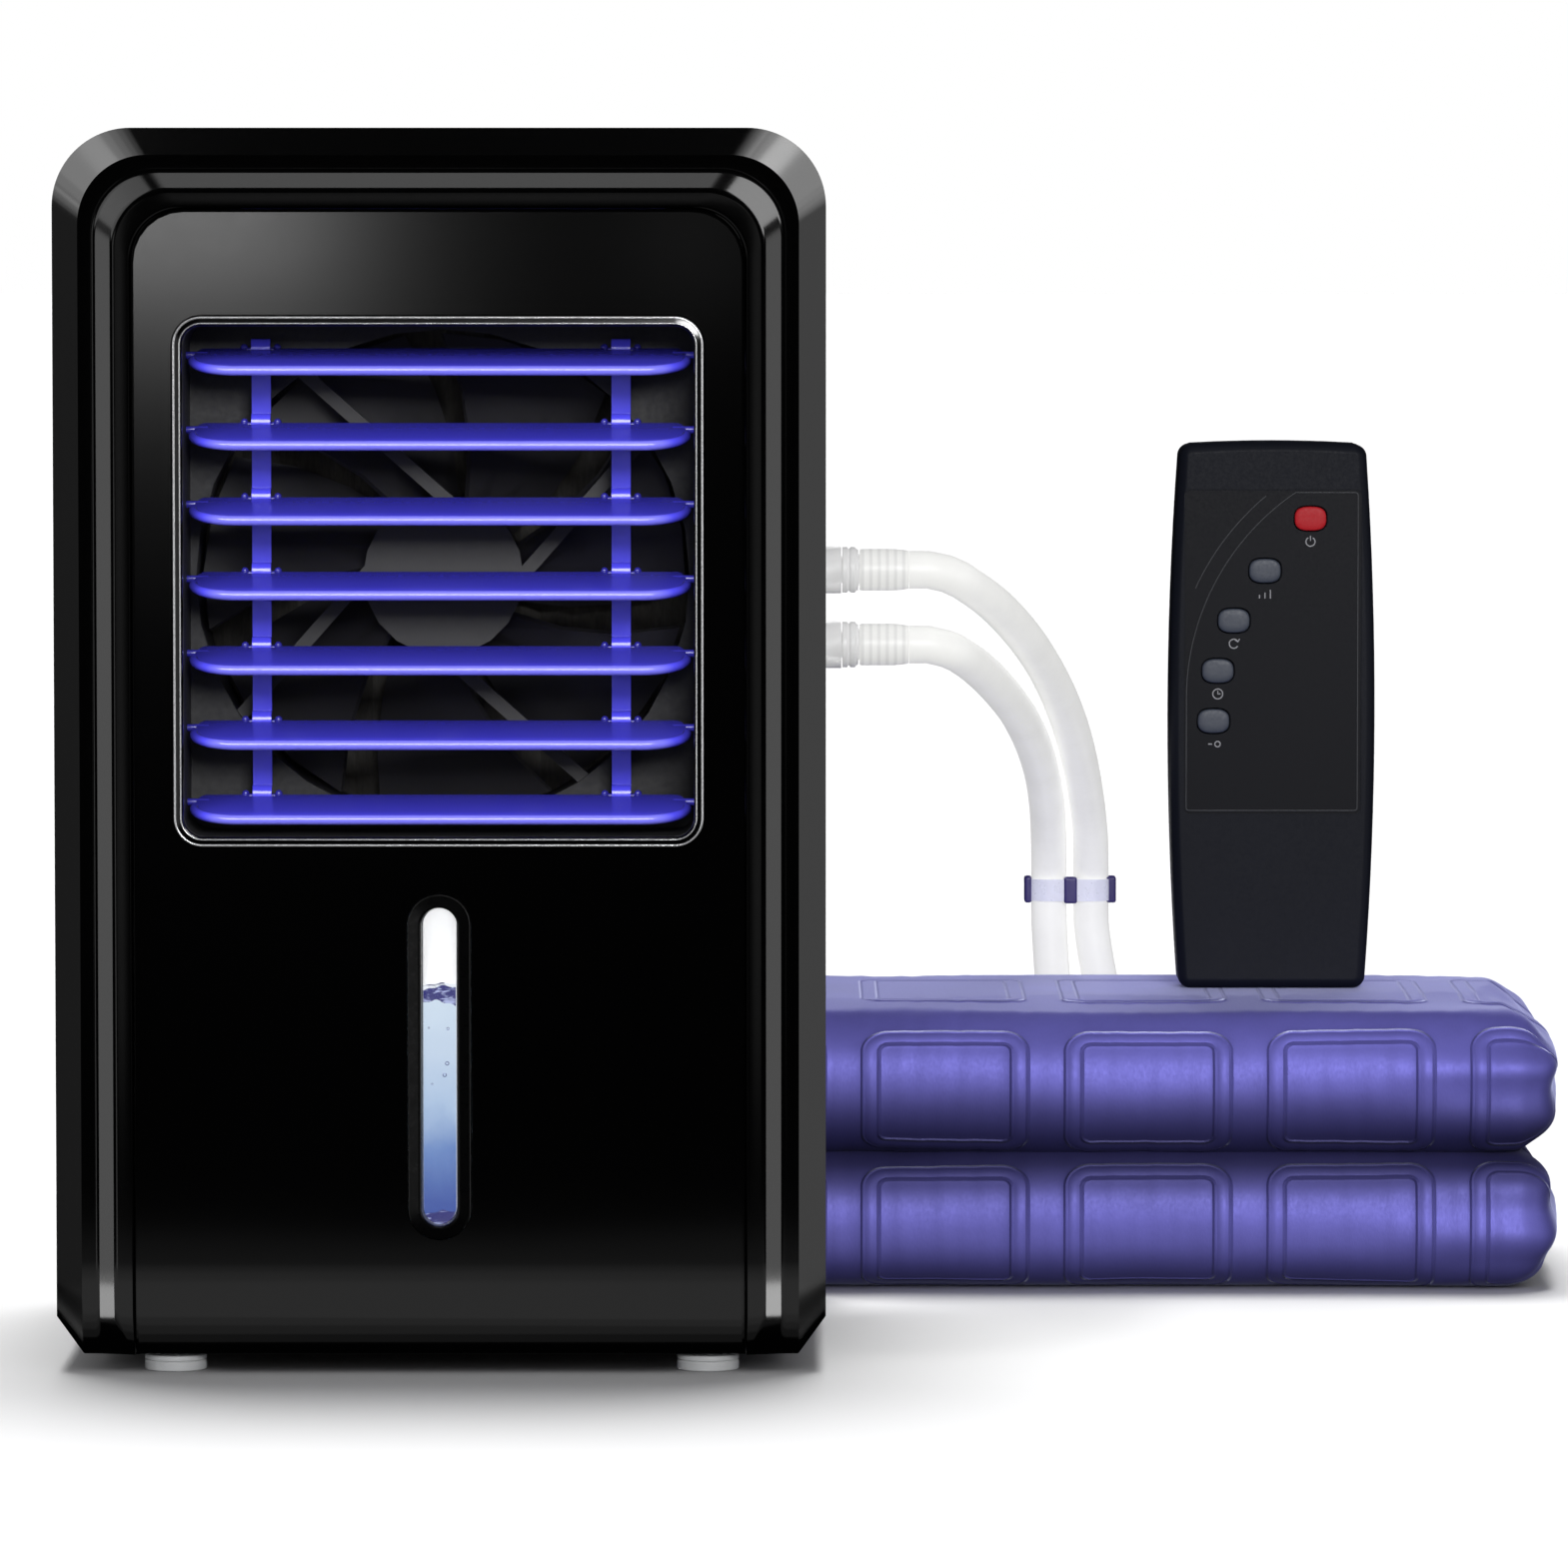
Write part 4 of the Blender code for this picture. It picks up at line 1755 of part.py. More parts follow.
def make_remote_back():
    """The remote's back shell with its battery bay, and the cover hinged at its foot."""
    back = add_part(
        "remote_back_shell",
        flat([remote_outline()], "front", REMOTE_SPLIT_Y + SEAT / 2, REMOTE_BACK_Y),
        "remote_black",
    )
    round_front(back, REMOTE_BACK_Y, REMOTE_BACK_EDGE)
    bay_z = REMOTE_Z - BAY_DROP
    cover_front = REMOTE_BACK_Y - BATTERY_COVER_THICKNESS
    recess = rounded_box(
        BAY_HALF_WIDTH + BATTERY_LIP, BAY_HALF_HEIGHT + BATTERY_LIP, FACE_RADIUS, (REMOTE_X, bay_z)
    )
    cut(back, flat([recess], "front", cover_front - SEAT, REMOTE_BACK_Y + OVERLAP))
    bay = rounded_box(BAY_HALF_WIDTH, BAY_HALF_HEIGHT, FACE_RADIUS, (REMOTE_X, bay_z))
    cut(back, flat([bay], "front", REMOTE_SPLIT_Y - OVERLAP, REMOTE_BACK_Y))
    cover = rounded_box(
        BAY_HALF_WIDTH + BATTERY_LIP - SEAT,
        BAY_HALF_HEIGHT + BATTERY_LIP - SEAT,
        FACE_RADIUS - SEAT,
        (REMOTE_X, bay_z),
    )
    hinge = (REMOTE_X, REMOTE_BACK_Y, bay_z - BAY_HALF_HEIGHT - BATTERY_LIP + SEAT)
    add_part(
        "remote_battery_cover",
        flat([cover], "front", cover_front, REMOTE_BACK_Y),
        "remote_black",
        hinge,
    )


def main():
    """Build the whole part."""
    start_scene()
    make_housing_shell()
    make_front_frame()
    make_front_panel()
    make_grille_trim()
    make_louver_cassette()
    make_slats()
    make_link_bars()
    make_fan_frame()
    make_fan_rotor()
    make_window()
    make_water_tank()
    make_pump()
    make_evaporative_pad()
    make_fill_chute()
    make_control_panel()
    make_control_board()
    make_panel_buttons()
    make_fill_lid()
    make_rear_cover()
    make_rear_screws()
    make_power_inlet()
    make_feet()
    make_ports()
    make_couplings()
    make_hose_clip()
    make_hoses()
    make_cooling_pad()
    make_pad_ports()
    make_remote()


main()
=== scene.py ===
"""Water cooling mattress pad: the finished look of the tower, its hoses, pad and remote.

Lengths are metres. Places are first measured from the tower's front centre on the floor,
with +X to the right and +Y to the back, and `at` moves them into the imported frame.
"""

import math

import bmesh
import bpy
import numpy as np
from mathutils import Matrix, Vector


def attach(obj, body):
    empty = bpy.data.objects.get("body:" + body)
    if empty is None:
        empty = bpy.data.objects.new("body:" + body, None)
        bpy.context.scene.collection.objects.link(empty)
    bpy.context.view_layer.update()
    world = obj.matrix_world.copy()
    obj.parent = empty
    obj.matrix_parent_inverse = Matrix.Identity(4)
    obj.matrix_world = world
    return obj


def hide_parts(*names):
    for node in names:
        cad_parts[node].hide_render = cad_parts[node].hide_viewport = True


bl_info = {
    "name": "Water cooling mattress pad",
    "version": (1, 0, 0),
    "blender": (4, 5, 0),
    "location": "View3D > Sidebar > Cooling pad",
    "description": "Models a cooling tower with its hoses, its folded water pad and its remote",
    "category": "Object",
}

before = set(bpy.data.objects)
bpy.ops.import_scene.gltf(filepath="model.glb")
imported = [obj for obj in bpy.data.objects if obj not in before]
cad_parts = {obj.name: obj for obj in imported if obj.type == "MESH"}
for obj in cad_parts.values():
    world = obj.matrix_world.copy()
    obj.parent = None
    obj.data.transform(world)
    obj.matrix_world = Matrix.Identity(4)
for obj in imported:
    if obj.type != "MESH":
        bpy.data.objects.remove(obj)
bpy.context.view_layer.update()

MIDDLE_X = 0.0965
MIDDLE_Y = 0.15865

# Tower
HALF_WIDTH = 0.0930
TOWER_HEIGHT = 0.3000
FOOT_HEIGHT = 0.0041
TOP_RADIUS = 0.0190
CORNER_CUT_WIDTH = 0.0067
CORNER_CUT_HEIGHT = 0.0091
PANEL_INSET = 0.0202
PANEL_RADIUS = 0.0120
ROLL_HEIGHT = 0.0230
ROLL_DEPTH = 0.0055
CLOSING_HEIGHT = 0.0090
CLOSING = 0.0039
BAND_START = 0.0103
BAND_CREST = 0.0149
BAND_END = 0.0192
FOOT_X = 0.0645
FOOT_DEPTHS = (0.0132, 0.1400)

# The front frame's section: how far in from its edge, how far back, and how much it rolls
FRAME_FRONT = (
    (0.0000, 0.0220, 0), (0.0000, 0.0093, 0), (0.0065, 0.0038, 1), (BAND_START, 0.0038, 1),
    (BAND_CREST, 0.00105, 1), (BAND_END, 0.0008, 1), (BAND_END, 0.0028, 1), (0.0240, 0.0028, 1),
)
FRAME_BACK = (
    (0.0240, 0.0050, 1), (0.0160, 0.0050, 1), (0.0115, 0.0062, 1), (0.0080, 0.0062, 1),
    (0.0022, 0.0108, 0), (0.0022, 0.0220, 0),
)

# Grille
GRILLE_HALF = 0.0637
GRILLE_RADIUS = 0.0070
GRILLE_Z = 0.1913
RIM_WIDTH = 0.0024
# Thin beads on the rim, painted bright as highlights on its edges: inset, depth and radius
RIM_BEADS = ((0.0004, -0.0006, 0.00028), (0.0018, -0.00085, 0.00018))
SLAT_COUNT = 7
SLAT_PITCH = 0.0180
SLAT_HEIGHTS = tuple(
    GRILLE_Z + SLAT_PITCH * ((SLAT_COUNT - 1) / 2 - index) for index in range(SLAT_COUNT)
)
SLAT_TILT = 15
SLAT_PIVOT_Y = 0.0170
SLAT_HALF_LENGTH = 0.0594
SLAT_FRONT = 0.0134
SLAT_REAR = 0.0035
SLAT_END_LENGTH = 0.0108
SLAT_END_DEPTH = 0.0085
SLAT_TURN_LENGTH = 0.0026
SLAT_HALF_THICKNESS = 0.0007
BEAD_RADIUS = 0.0012
PIVOT_START = 0.0560
PIVOT_END = 0.0617
PIVOT_RADIUS = 0.0009
LINK_BAR_X = 0.0435
LINK_REACH = 0.0046
LINK_PIN_HALF = 0.0041
LINK_PIN_RADIUS = 0.0006
LINK_NUB_REACH = 0.0040
LINK_NUB_RADIUS = 0.0009
LINK_BAR_HALF_WIDTH = 0.00235
LINK_HOOK_HEIGHT = 0.0027

# Level window
WINDOW_HALF_WIDTH = 0.0075
WINDOW_HALF_HEIGHT = 0.0416
WINDOW_Z = 0.0745
BEZEL_WIDTH = 0.0032
WATER_LEVEL_Z = 0.0935
WATER_FOOT_Z = 0.0360

# Hoses
PORT_Y = 0.1350
PORT_HEIGHTS = {"upper": 0.1886, "lower": 0.1696}
COUPLING_START_X = 0.0977
COUPLING_END_X = 0.1144
HOSE_DIAMETER = 0.0096
HOSE_START_X = 0.1147
CLIP_X = 0.1550
CLIP_Y = 0.3065
CLIP_Z = 0.0945
CLIP_HEIGHT = 0.0071
CLIP_WALL = 0.0007
HOSE_GAP_X = 0.0115
COIL_X = 0.2220
COIL_Y = 0.3650
COIL_RADIUS = 0.0580
COIL_PITCH = 0.0102
COIL_TURNS = 2.5
COIL_FLOOR_Z = 0.0049
PAD_PORT_X = {"upper": 0.1050, "lower": 0.1210}
PAD_PORT_TIP_Y = 0.3183
PAD_PORT_Z = 0.0177

# The hoses' routes from the couplings to the clip, down to the floor, and from the coils on
ROUTES = {
    "upper": (
        (0.1253, 0.1362, 0.1872), (0.1290, 0.1400, 0.1850), (0.1369, 0.1540, 0.1788),
        (0.1451, 0.1750, 0.1694), (0.1518, 0.2000, 0.1588), (0.1573, 0.2270, 0.1468),
        (0.1613, 0.2540, 0.1346), (0.1641, 0.2780, 0.1224), (0.1659, 0.2960, 0.1110),
    ),
    "lower": (
        (0.1250, 0.1362, 0.1682), (0.1270, 0.1400, 0.1670), (0.1322, 0.1520, 0.1630),
        (0.1381, 0.1720, 0.1566), (0.1439, 0.1990, 0.1484), (0.1486, 0.2290, 0.1388),
        (0.1518, 0.2580, 0.1290), (0.1538, 0.2820, 0.1186), (0.1547, 0.2990, 0.1085),
    ),
}
DROPS = {
    "upper": (
        (0.1668, 0.3069, 0.0830), (0.1690, 0.3070, 0.0700), (0.1725, 0.3070, 0.0560),
        (0.1785, 0.3070, 0.0430), (0.1870, 0.3070, 0.0325), (0.1950, 0.3070, 0.0270),
    ),
    "lower": (
        (0.1552, 0.3069, 0.0830), (0.1562, 0.3070, 0.0690), (0.1585, 0.3070, 0.0520),
        (0.1640, 0.3070, 0.0340), (0.1740, 0.3070, 0.0185), (0.1860, 0.3070, 0.0092),
        (0.1950, 0.3070, 0.0058),
    ),
}
TAILS = {
    "upper": (
        (0.1990, 0.4230, 0.0345), (0.1760, 0.4230, 0.0305), (0.1490, 0.4175, 0.0215),
        (0.1240, 0.4010, 0.0120), (0.1090, 0.3780, 0.0065), (0.1050, 0.3560, 0.0080),
        (0.1050, 0.3410, 0.0150),
    ),
    "lower": (
        (0.1990, 0.4230, 0.0146), (0.1760, 0.4230, 0.0115), (0.1560, 0.4190, 0.0068),
        (0.1380, 0.4080, 0.0050), (0.1260, 0.3910, 0.0050), (0.1212, 0.3700, 0.0052),
        (0.1210, 0.3500, 0.0110), (0.1210, 0.3400, 0.0155),
    ),
}

# Folded pad
PAD_LOWEST = 0.0002
PAD_HIGHEST = 0.0731
PAD_LEFT = -0.0700
PAD_RIGHT = 0.2860
PAD_FRONT_Y = 0.1720
PAD_BACK_Y = 0.2960
PAD_NOSE = 0.0150
PAD_END_LENGTH = 0.0125
PAD_STEP = 0.0046
PAD_NOSE_STEPS = 12
PAD_END_STEPS = 7
PAD_LYING_HEIGHT = 0.0012
CHANNEL_PITCH = 0.0526
CHANNEL_FIRST_X = 0.2825
CHANNEL_HALF_WIDTH = 0.0193
CHANNEL_HALF_BAND = 0.0021
CHANNEL_CORNER = 0.0046
NOSE_CHANNEL_HALF = 0.0178
NOSE_CHANNEL_DROP = 0.0026
TOP_CHANNEL_MIDDLE = 0.2350
TOP_CHANNEL_HALF = 0.0300

# The pad's two layers: their lowest and highest places
PAD_LAYERS = ((0.0004, 0.0350), (0.0348, 0.0727))

# How clear the fabric's colour is along each layer's height, as its lower side lies in shade
PAD_SHADES = {
    "upper": ((0.0, 0.0), (0.12, 0.15), (0.30, 0.55), (0.48, 1.0), (1.0, 1.0)),
    "lower": ((0.0, 0.4), (0.12, 0.55), (0.35, 0.9), (0.55, 1.0), (0.75, 0.55), (0.92, 0.1)),
}
PAD_DROOP = 0.0028
PAD_DROOP_LENGTH = 0.0600

# Filling the pad by simulation: how many frames, and how far a point may move
SWELL_FRAMES = 20
SWELL_LIMIT = 0.0028

# Remote control
REMOTE_X = 0.2122
REMOTE_FRONT_Y = 0.2370
REMOTE_SPLIT_Y = 0.2425
REMOTE_BACK_Y = 0.2550
REMOTE_Z = 0.14535
REMOTE_HALF_HEIGHT = 0.07205
REMOTE_END_HALF_WIDTH = 0.0248
REMOTE_MIDDLE_HALF_WIDTH = 0.0272
REMOTE_CORNER = 0.0032
REMOTE_ARCH = 0.0008
FACE_HALF_WIDTH = 0.0235
FACE_HALF_HEIGHT = 0.0430
FACE_RISE = 0.0172
FACE_CORNER = 0.0016
BAY_DROP = 0.0300
FIELD_RIGHT = 0.0229
FIELD_TOP = 0.0598
FIELD_FOOT = -0.0252
SWEEP_MIDDLE = (0.0431, 0.0050)
SWEEP_RADIUS = 0.0663
KEY_PLACES = (
    (0.0099, 0.0525), (-0.0021, 0.0387), (-0.0103, 0.0255), (-0.0145, 0.0122),
    (-0.0156, -0.0011),
)
KEY_HALF_WIDTH = 0.0042
KEY_HALF_HEIGHT = 0.0032
KEY_FULLNESS = 0.72
MARK_DROP = 0.0061
MARK_SCALE = 1.2
LINE_RADIUS = 0.00017

# Camera and lights
CAMERA_PLACE = (-0.0136, -2.45865, 0.2900)
CAMERA_DIP = 3.663
CAMERA_LENS = 220.4
SENSOR_WIDTH = 36
LIGHT_AIM = (0.0, 0.0, 0.15)
SHINE_AIM = (0.0, 0.0, 0.16)

# How near two points of a new mesh are merged
MERGE_GAP = 0.000002

# Planes in which flat outlines are drawn, and the way across each
PLANES = {
    "front": (
        Matrix(((1, 0, 0, 0), (0, 0, -1, 0), (0, 1, 0, 0), (0, 0, 0, 1))), Vector((0, 1, 0)),
    ),
    "top": (Matrix.Identity(4), Vector((0, 0, 1))),
}


def at(x, y, z):
    """Turn a place measured from the tower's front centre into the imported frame."""
    return Vector((x - MIDDLE_X, y - MIDDLE_Y, z))


def deselect():
    """Leave nothing selected, in object mode."""
    if bpy.context.mode != "OBJECT":
        bpy.ops.object.mode_set(mode="OBJECT")
    bpy.ops.object.select_all(action="DESELECT")


def take_up(piece):
    """Select one piece alone."""
    deselect()
    piece.select_set(True)
    bpy.context.view_layer.objects.active = piece


def apply_step(piece, kind, **settings):
    """Add one modifier to a piece and apply it."""
    take_up(piece)
    step = piece.modifiers.new(kind.lower(), kind)
    for key, value in settings.items():
        setattr(step, key, value)
    bpy.ops.object.modifier_apply(modifier=step.name)


def round_edges(piece, width, segments=3, angle=40):
    """Round a piece's sharp edges."""
    apply_step(
        piece, "BEVEL", width=width, segments=segments, limit_method="ANGLE",
        angle_limit=math.radians(angle), use_clamp_overlap=True,
    )


def cut_out(piece, tool):
    """Cut one piece out of another, and remove the cutter."""
    apply_step(piece, "BOOLEAN", operation="DIFFERENCE", object=tool, solver="EXACT")
    bpy.data.objects.remove(tool)


def join_pieces(first, *others):
    """Join pieces into the first of them."""
    take_up(first)
    for other in others:
        other.select_set(True)
    bpy.ops.object.join()
    return first


def settle(piece, name, body, material, nodes=(), smooth=35):
    """Fix a finished piece: its place in its mesh, its name, finish and body."""
    take_up(piece)
    if piece.type == "MESH":
        bpy.ops.object.transform_apply(location=True, rotation=True, scale=True)
        if smooth:
            bpy.ops.object.shade_smooth_by_angle(angle=math.radians(smooth))
            apply_step(piece, "WEIGHTED_NORMAL", keep_sharp=True)
    piece.name = name
    piece.data.name = name
    piece.data.materials.clear()
    piece.data.materials.append(material)
    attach(piece, body)
    if nodes:
        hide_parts(*nodes)
    return piece


def new_piece(name, data):
    """Put new data into the scene as a piece."""
    piece = bpy.data.objects.new(name, data)
    bpy.context.scene.collection.objects.link(piece)
    return piece


def piece_from(working):
    """Turn working geometry into a piece with its faces pointing out."""
    bmesh.ops.recalc_face_normals(working, faces=working.faces)
    mesh = bpy.data.meshes.new("piece")
    working.to_mesh(mesh)
    working.free()
    return new_piece("piece", mesh)


def loft(rows, closed_loop=False, caps=False):
    """A skin through closed rows of points, each with as many points as the next."""
    working = bmesh.new()
    grid = [[working.verts.new(point) for point in row] for row in rows]
    pairs = list(zip(grid, grid[1:])) + ([(grid[-1], grid[0])] if closed_loop else [])
    for near, far in pairs:
        count = len(near)
        for index in range(count):
            after = (index + 1) % count
            working.faces.new((near[index], near[after], far[after], far[index]))
    if caps:
        working.faces.new(grid[0])
        working.faces.new(grid[-1])
    return piece_from(working)


def arc(middle, radius, start, end, steps):
    """Points along an arc, its angles in degrees."""
    across, up = radius if isinstance(radius, tuple) else (radius, radius)
    angles = [math.radians(start + (end - start) * index / steps) for index in range(steps + 1)]
    return [(middle[0] + across * math.cos(a), middle[1] + up * math.sin(a)) for a in angles]


def rounded_box(half_width, half_height, radius, middle=(0, 0), steps=8):
    """A rectangle with round corners."""
    points = []
    for quarter, (side, level) in enumerate(((1, 1), (-1, 1), (-1, -1), (1, -1))):
        corner = (
            middle[0] + side * (half_width - radius),
            middle[1] + level * (half_height - radius),
        )
        points += arc(corner, radius, quarter * 90, (quarter + 1) * 90, steps)
    return points


def stadium(half_width, half_height, middle, steps):
    """An upright slot with half-round ends."""
    reach = half_height - half_width
    top = arc((middle[0], middle[1] + reach), half_width, 0, 180, steps)
    bottom = arc((middle[0], middle[1] - reach), half_width, 180, 360, steps)
    return top + bottom


def fillet(points, radius, steps=3, closed=False):
    """Round the corners of a chain of points."""
    points = [Vector(point) for point in points]
    count = len(points)
    result = [] if closed else [points[0]]
    for index in range(count) if closed else range(1, count - 1):
        before, here, after = points[index - 1], points[index], points[(index + 1) % count]
        reach = min(radius, (before - here).length * 0.45, (after - here).length * 0.45)
        start = here + (before - here).normalized() * reach
        end = here + (after - here).normalized() * reach
        for step in range(steps + 1):
            share = step / steps
            result.append(
                start * (1 - share) ** 2 + here * 2 * share * (1 - share) + end * share ** 2
            )
    return result if closed else result + [points[-1]]


def flat(outlines, plane, low, high):
    """A flat outline, with its holes, given a thickness from low to high across its plane."""
    turn, across = PLANES[plane]
    curve = bpy.data.curves.new("outline", "CURVE")
    curve.dimensions = "2D"
    curve.fill_mode = "BOTH"
    curve.extrude = (high - low) / 2
    for outline in outlines:
        spline = curve.splines.new("POLY")
        spline.points.add(len(outline) - 1)
        for point, place in zip(spline.points, outline):
            point.co = (place[0], place[1], 0, 1)
        spline.use_cyclic_u = True
    take_up(new_piece("outline", curve))
    bpy.ops.object.convert(target="MESH")
    piece = bpy.context.object
    place = Matrix.Translation(at(0, 0, 0) + across * (low + high) / 2) @ turn
    piece.data.transform(place)
    tidy(piece)
    return piece


def tidy(piece, gap=MERGE_GAP):
    """Merge a piece's double points and turn its faces outwards."""
    take_up(piece)
    bpy.ops.object.mode_set(mode="EDIT")
    bpy.ops.mesh.select_all(action="SELECT")
    bpy.ops.mesh.remove_doubles(threshold=gap)
    bpy.ops.mesh.normals_make_consistent(inside=False)
    bpy.ops.object.mode_set(mode="OBJECT")


def turned(profile, place, turn=0, steps=48):
    """A turned piece from a chain of (radius, height) points, its axis turned about Y."""
    working = bmesh.new()
    verts = [working.verts.new((point[0], 0, point[1])) for point in profile]
    for first, second in zip(verts, verts[1:]):
        working.edges.new((first, second))
    piece = piece_from(working)
    apply_step(
        piece, "SCREW", steps=steps, render_steps=steps, use_merge_vertices=True,
        merge_threshold=MERGE_GAP,
    )
    turning = Matrix.Rotation(math.radians(turn), 4, "Y")
    piece.data.transform(Matrix.Translation(at(*place)) @ turning)
    tidy(piece)
    return piece


def added_piece():
    """The piece just added, with its place in its mesh."""
    bpy.ops.object.transform_apply(location=True, rotation=True, scale=True)
    return bpy.context.object


def rod(start, end, radius):
    """A round bar between two places of its own piece, with its ends' edges rounded."""
    start, end = Vector(start), Vector(end)
    along = end - start
    deselect()
    bpy.ops.mesh.primitive_cylinder_add(
        vertices=16, radius=radius, depth=along.length, location=(start + end) / 2,
        rotation=along.to_track_quat("Z", "Y").to_euler(),
    )
    piece = added_piece()
    round_edges(piece, radius / 4, 2)
    return piece


def block(low, high, rounded):
    """A box between two corners, with rounded edges."""
    low, high = at(*low), at(*high)
    deselect()
    bpy.ops.mesh.primitive_cube_add(size=1, location=(low + high) / 2)
    bpy.context.object.scale = high - low
    piece = added_piece()
    round_edges(piece, rounded, 3)
    return piece


def tube(points, radius, resolution, cyclic=False):
    """A round tube along a chain of places, as a curve."""
    curve = bpy.data.curves.new("tube", "CURVE")
    curve.dimensions = "3D"
    curve.bevel_depth = radius
    curve.bevel_resolution = resolution
    curve.use_fill_caps = True
    spline = curve.splines.new("POLY")
    spline.points.add(len(points) - 1)
    for point, place in zip(spline.points, points):
        point.co = (*place, 1)
    spline.use_smooth = True
    spline.use_cyclic_u = cyclic
    return new_piece("tube", curve)


def tube_mesh(points, radius, resolution, cyclic=False):
    """The same tube as a mesh."""
    piece = tube(points, radius, resolution, cyclic)
    take_up(piece)
    bpy.ops.object.convert(target="MESH")
    piece = bpy.context.object
    tidy(piece)
    return piece


def roll(height):
    """How far the front leans back at a height near the tower's foot."""
    share = min(max((FOOT_HEIGHT + ROLL_HEIGHT - height) / ROLL_HEIGHT, 0), 1)
    return ROLL_DEPTH * (1 - math.sqrt(1 - share ** 2))


# A Mix node's sockets for colours, by number, because they share their names with others
MIX_FIRST, MIX_SECOND, MIX_RESULT = 6, 7, 2


class Finish:
    """A node material built step by step on one Principled shader."""

    def __init__(self, name, roughness=0.4, **sockets):
        self.material = bpy.data.materials.new(name)
        self.material.use_nodes = True
        self.tree = self.material.node_tree
        self.shader = self.tree.nodes["Principled BSDF"]
        self.shader.inputs["Roughness"].default_value = roughness
        for socket, value in sockets.items():
            self.shader.inputs[socket.replace("_", " ")].default_value = value
        self.place = self.add("ShaderNodeTexCoord").outputs["Object"]
        self.relief = None

    def add(self, kind, **settings):
        """A new node with some settings and socket values."""
        node = self.tree.nodes.new(kind)
        for key, value in settings.items():
            if key in node.inputs:
                node.inputs[key].default_value = value
            else:
                setattr(node, key, value)
        return node

    def link(self, output, target):
        """Lead one node's output to a socket."""
        self.tree.links.new(output, target)

    def noise(self, scale, detail=4.0, roughness=0.55, stretch=(1, 1, 1), distortion=0.0):
        """Noise over the piece, stretched along its axes."""
        mapping = self.add("ShaderNodeMapping", Scale=stretch)
        self.link(self.place, mapping.inputs["Vector"])
        node = self.add(
            "ShaderNodeTexNoise", Scale=scale, Detail=detail, Roughness=roughness,
            Distortion=distortion,
        )
        self.link(mapping.outputs["Vector"], node.inputs["Vector"])
        return node.outputs["Fac"]

    def ramp(self, fac, *stops):
        """Colours picked along a value."""
        node = self.add("ShaderNodeValToRGB")
        elements = node.color_ramp.elements
        while len(elements) < len(stops):
            elements.new(0.5)
        for element, (position, colour) in zip(elements, stops):
            element.position = position
            element.color = (*colour, 1)
        self.link(fac, node.inputs["Fac"])
        return node.outputs["Color"]

    def spread(self, fac, low, high, start=0.3, end=0.7):
        """A value brought from one range to another."""
        limits = {"From Min": start, "From Max": end, "To Min": low, "To Max": high}
        node = self.add("ShaderNodeMapRange", **limits)
        self.link(fac, node.inputs["Value"])
        return node.outputs["Result"]

    def work(self, operation, first, second=None):
        """A sum on one value, or on two of which the second may be a number."""
        node = self.add("ShaderNodeMath", operation=operation)
        self.link(first, node.inputs[0])
        if isinstance(second, (int, float)):
            node.inputs[1].default_value = second
        elif second is not None:
            self.link(second, node.inputs[1])
        return node.outputs["Value"]

    def mix(self, fac, colour, output):
        """A plain colour mixed by a value with one that comes from a node."""
        node = self.add("ShaderNodeMix", data_type="RGBA")
        self.link(fac, node.inputs["Factor"])
        node.inputs[MIX_FIRST].default_value = (*colour, 1)
        self.link(output, node.inputs[MIX_SECOND])
        return node.outputs[MIX_RESULT]

    def axis(self, name):
        """One coordinate of the place on the piece."""
        node = self.add("ShaderNodeSeparateXYZ")
        self.link(self.place, node.inputs["Vector"])
        return node.outputs[name]

    def attribute(self, name):
        """A value kept on the piece's points."""
        return self.add("ShaderNodeAttribute", attribute_name=name).outputs["Fac"]

    def colour(self, output):
        """Take the surface's colour from a node."""
        self.link(output, self.shader.inputs["Base Color"])

    def gloss(self, output):
        """Take the surface's roughness from a node."""
        self.link(output, self.shader.inputs["Roughness"])

    def bump(self, height, strength=0.2, distance=0.0002):
        """A relief on top of the ones before."""
        node = self.add("ShaderNodeBump", Strength=strength, Distance=distance)
        self.link(height, node.inputs["Height"])
        if self.relief:
            self.link(self.relief, node.inputs["Normal"])
        self.relief = node.outputs["Normal"]
        self.link(self.relief, self.shader.inputs["Normal"])


def shades(colour, amount):
    """A colour made darker and lighter by a share."""
    return tuple(c * (1 - amount) for c in colour), tuple(min(c * (1 + amount), 1) for c in colour)


def moulded(name, colour, roughness, grain=350, mottle=0.12, relief=0.06, wear=0.15, **sockets):
    """Moulded plastic: faint flow marks in its colour, a fine skin in gloss and relief."""
    finish = Finish(name, roughness, **sockets)
    dark, light = shades(colour, mottle)
    flow = finish.noise(18, 3, 0.5, (1, 1, 0.4))
    skin = finish.noise(grain, 5, 0.6)
    finish.colour(finish.ramp(flow, (0.3, dark), (0.7, light)))
    finish.gloss(finish.spread(skin, roughness * (1 - wear), roughness * (1 + wear)))
    finish.bump(skin, relief, 0.0001)
    return finish.material


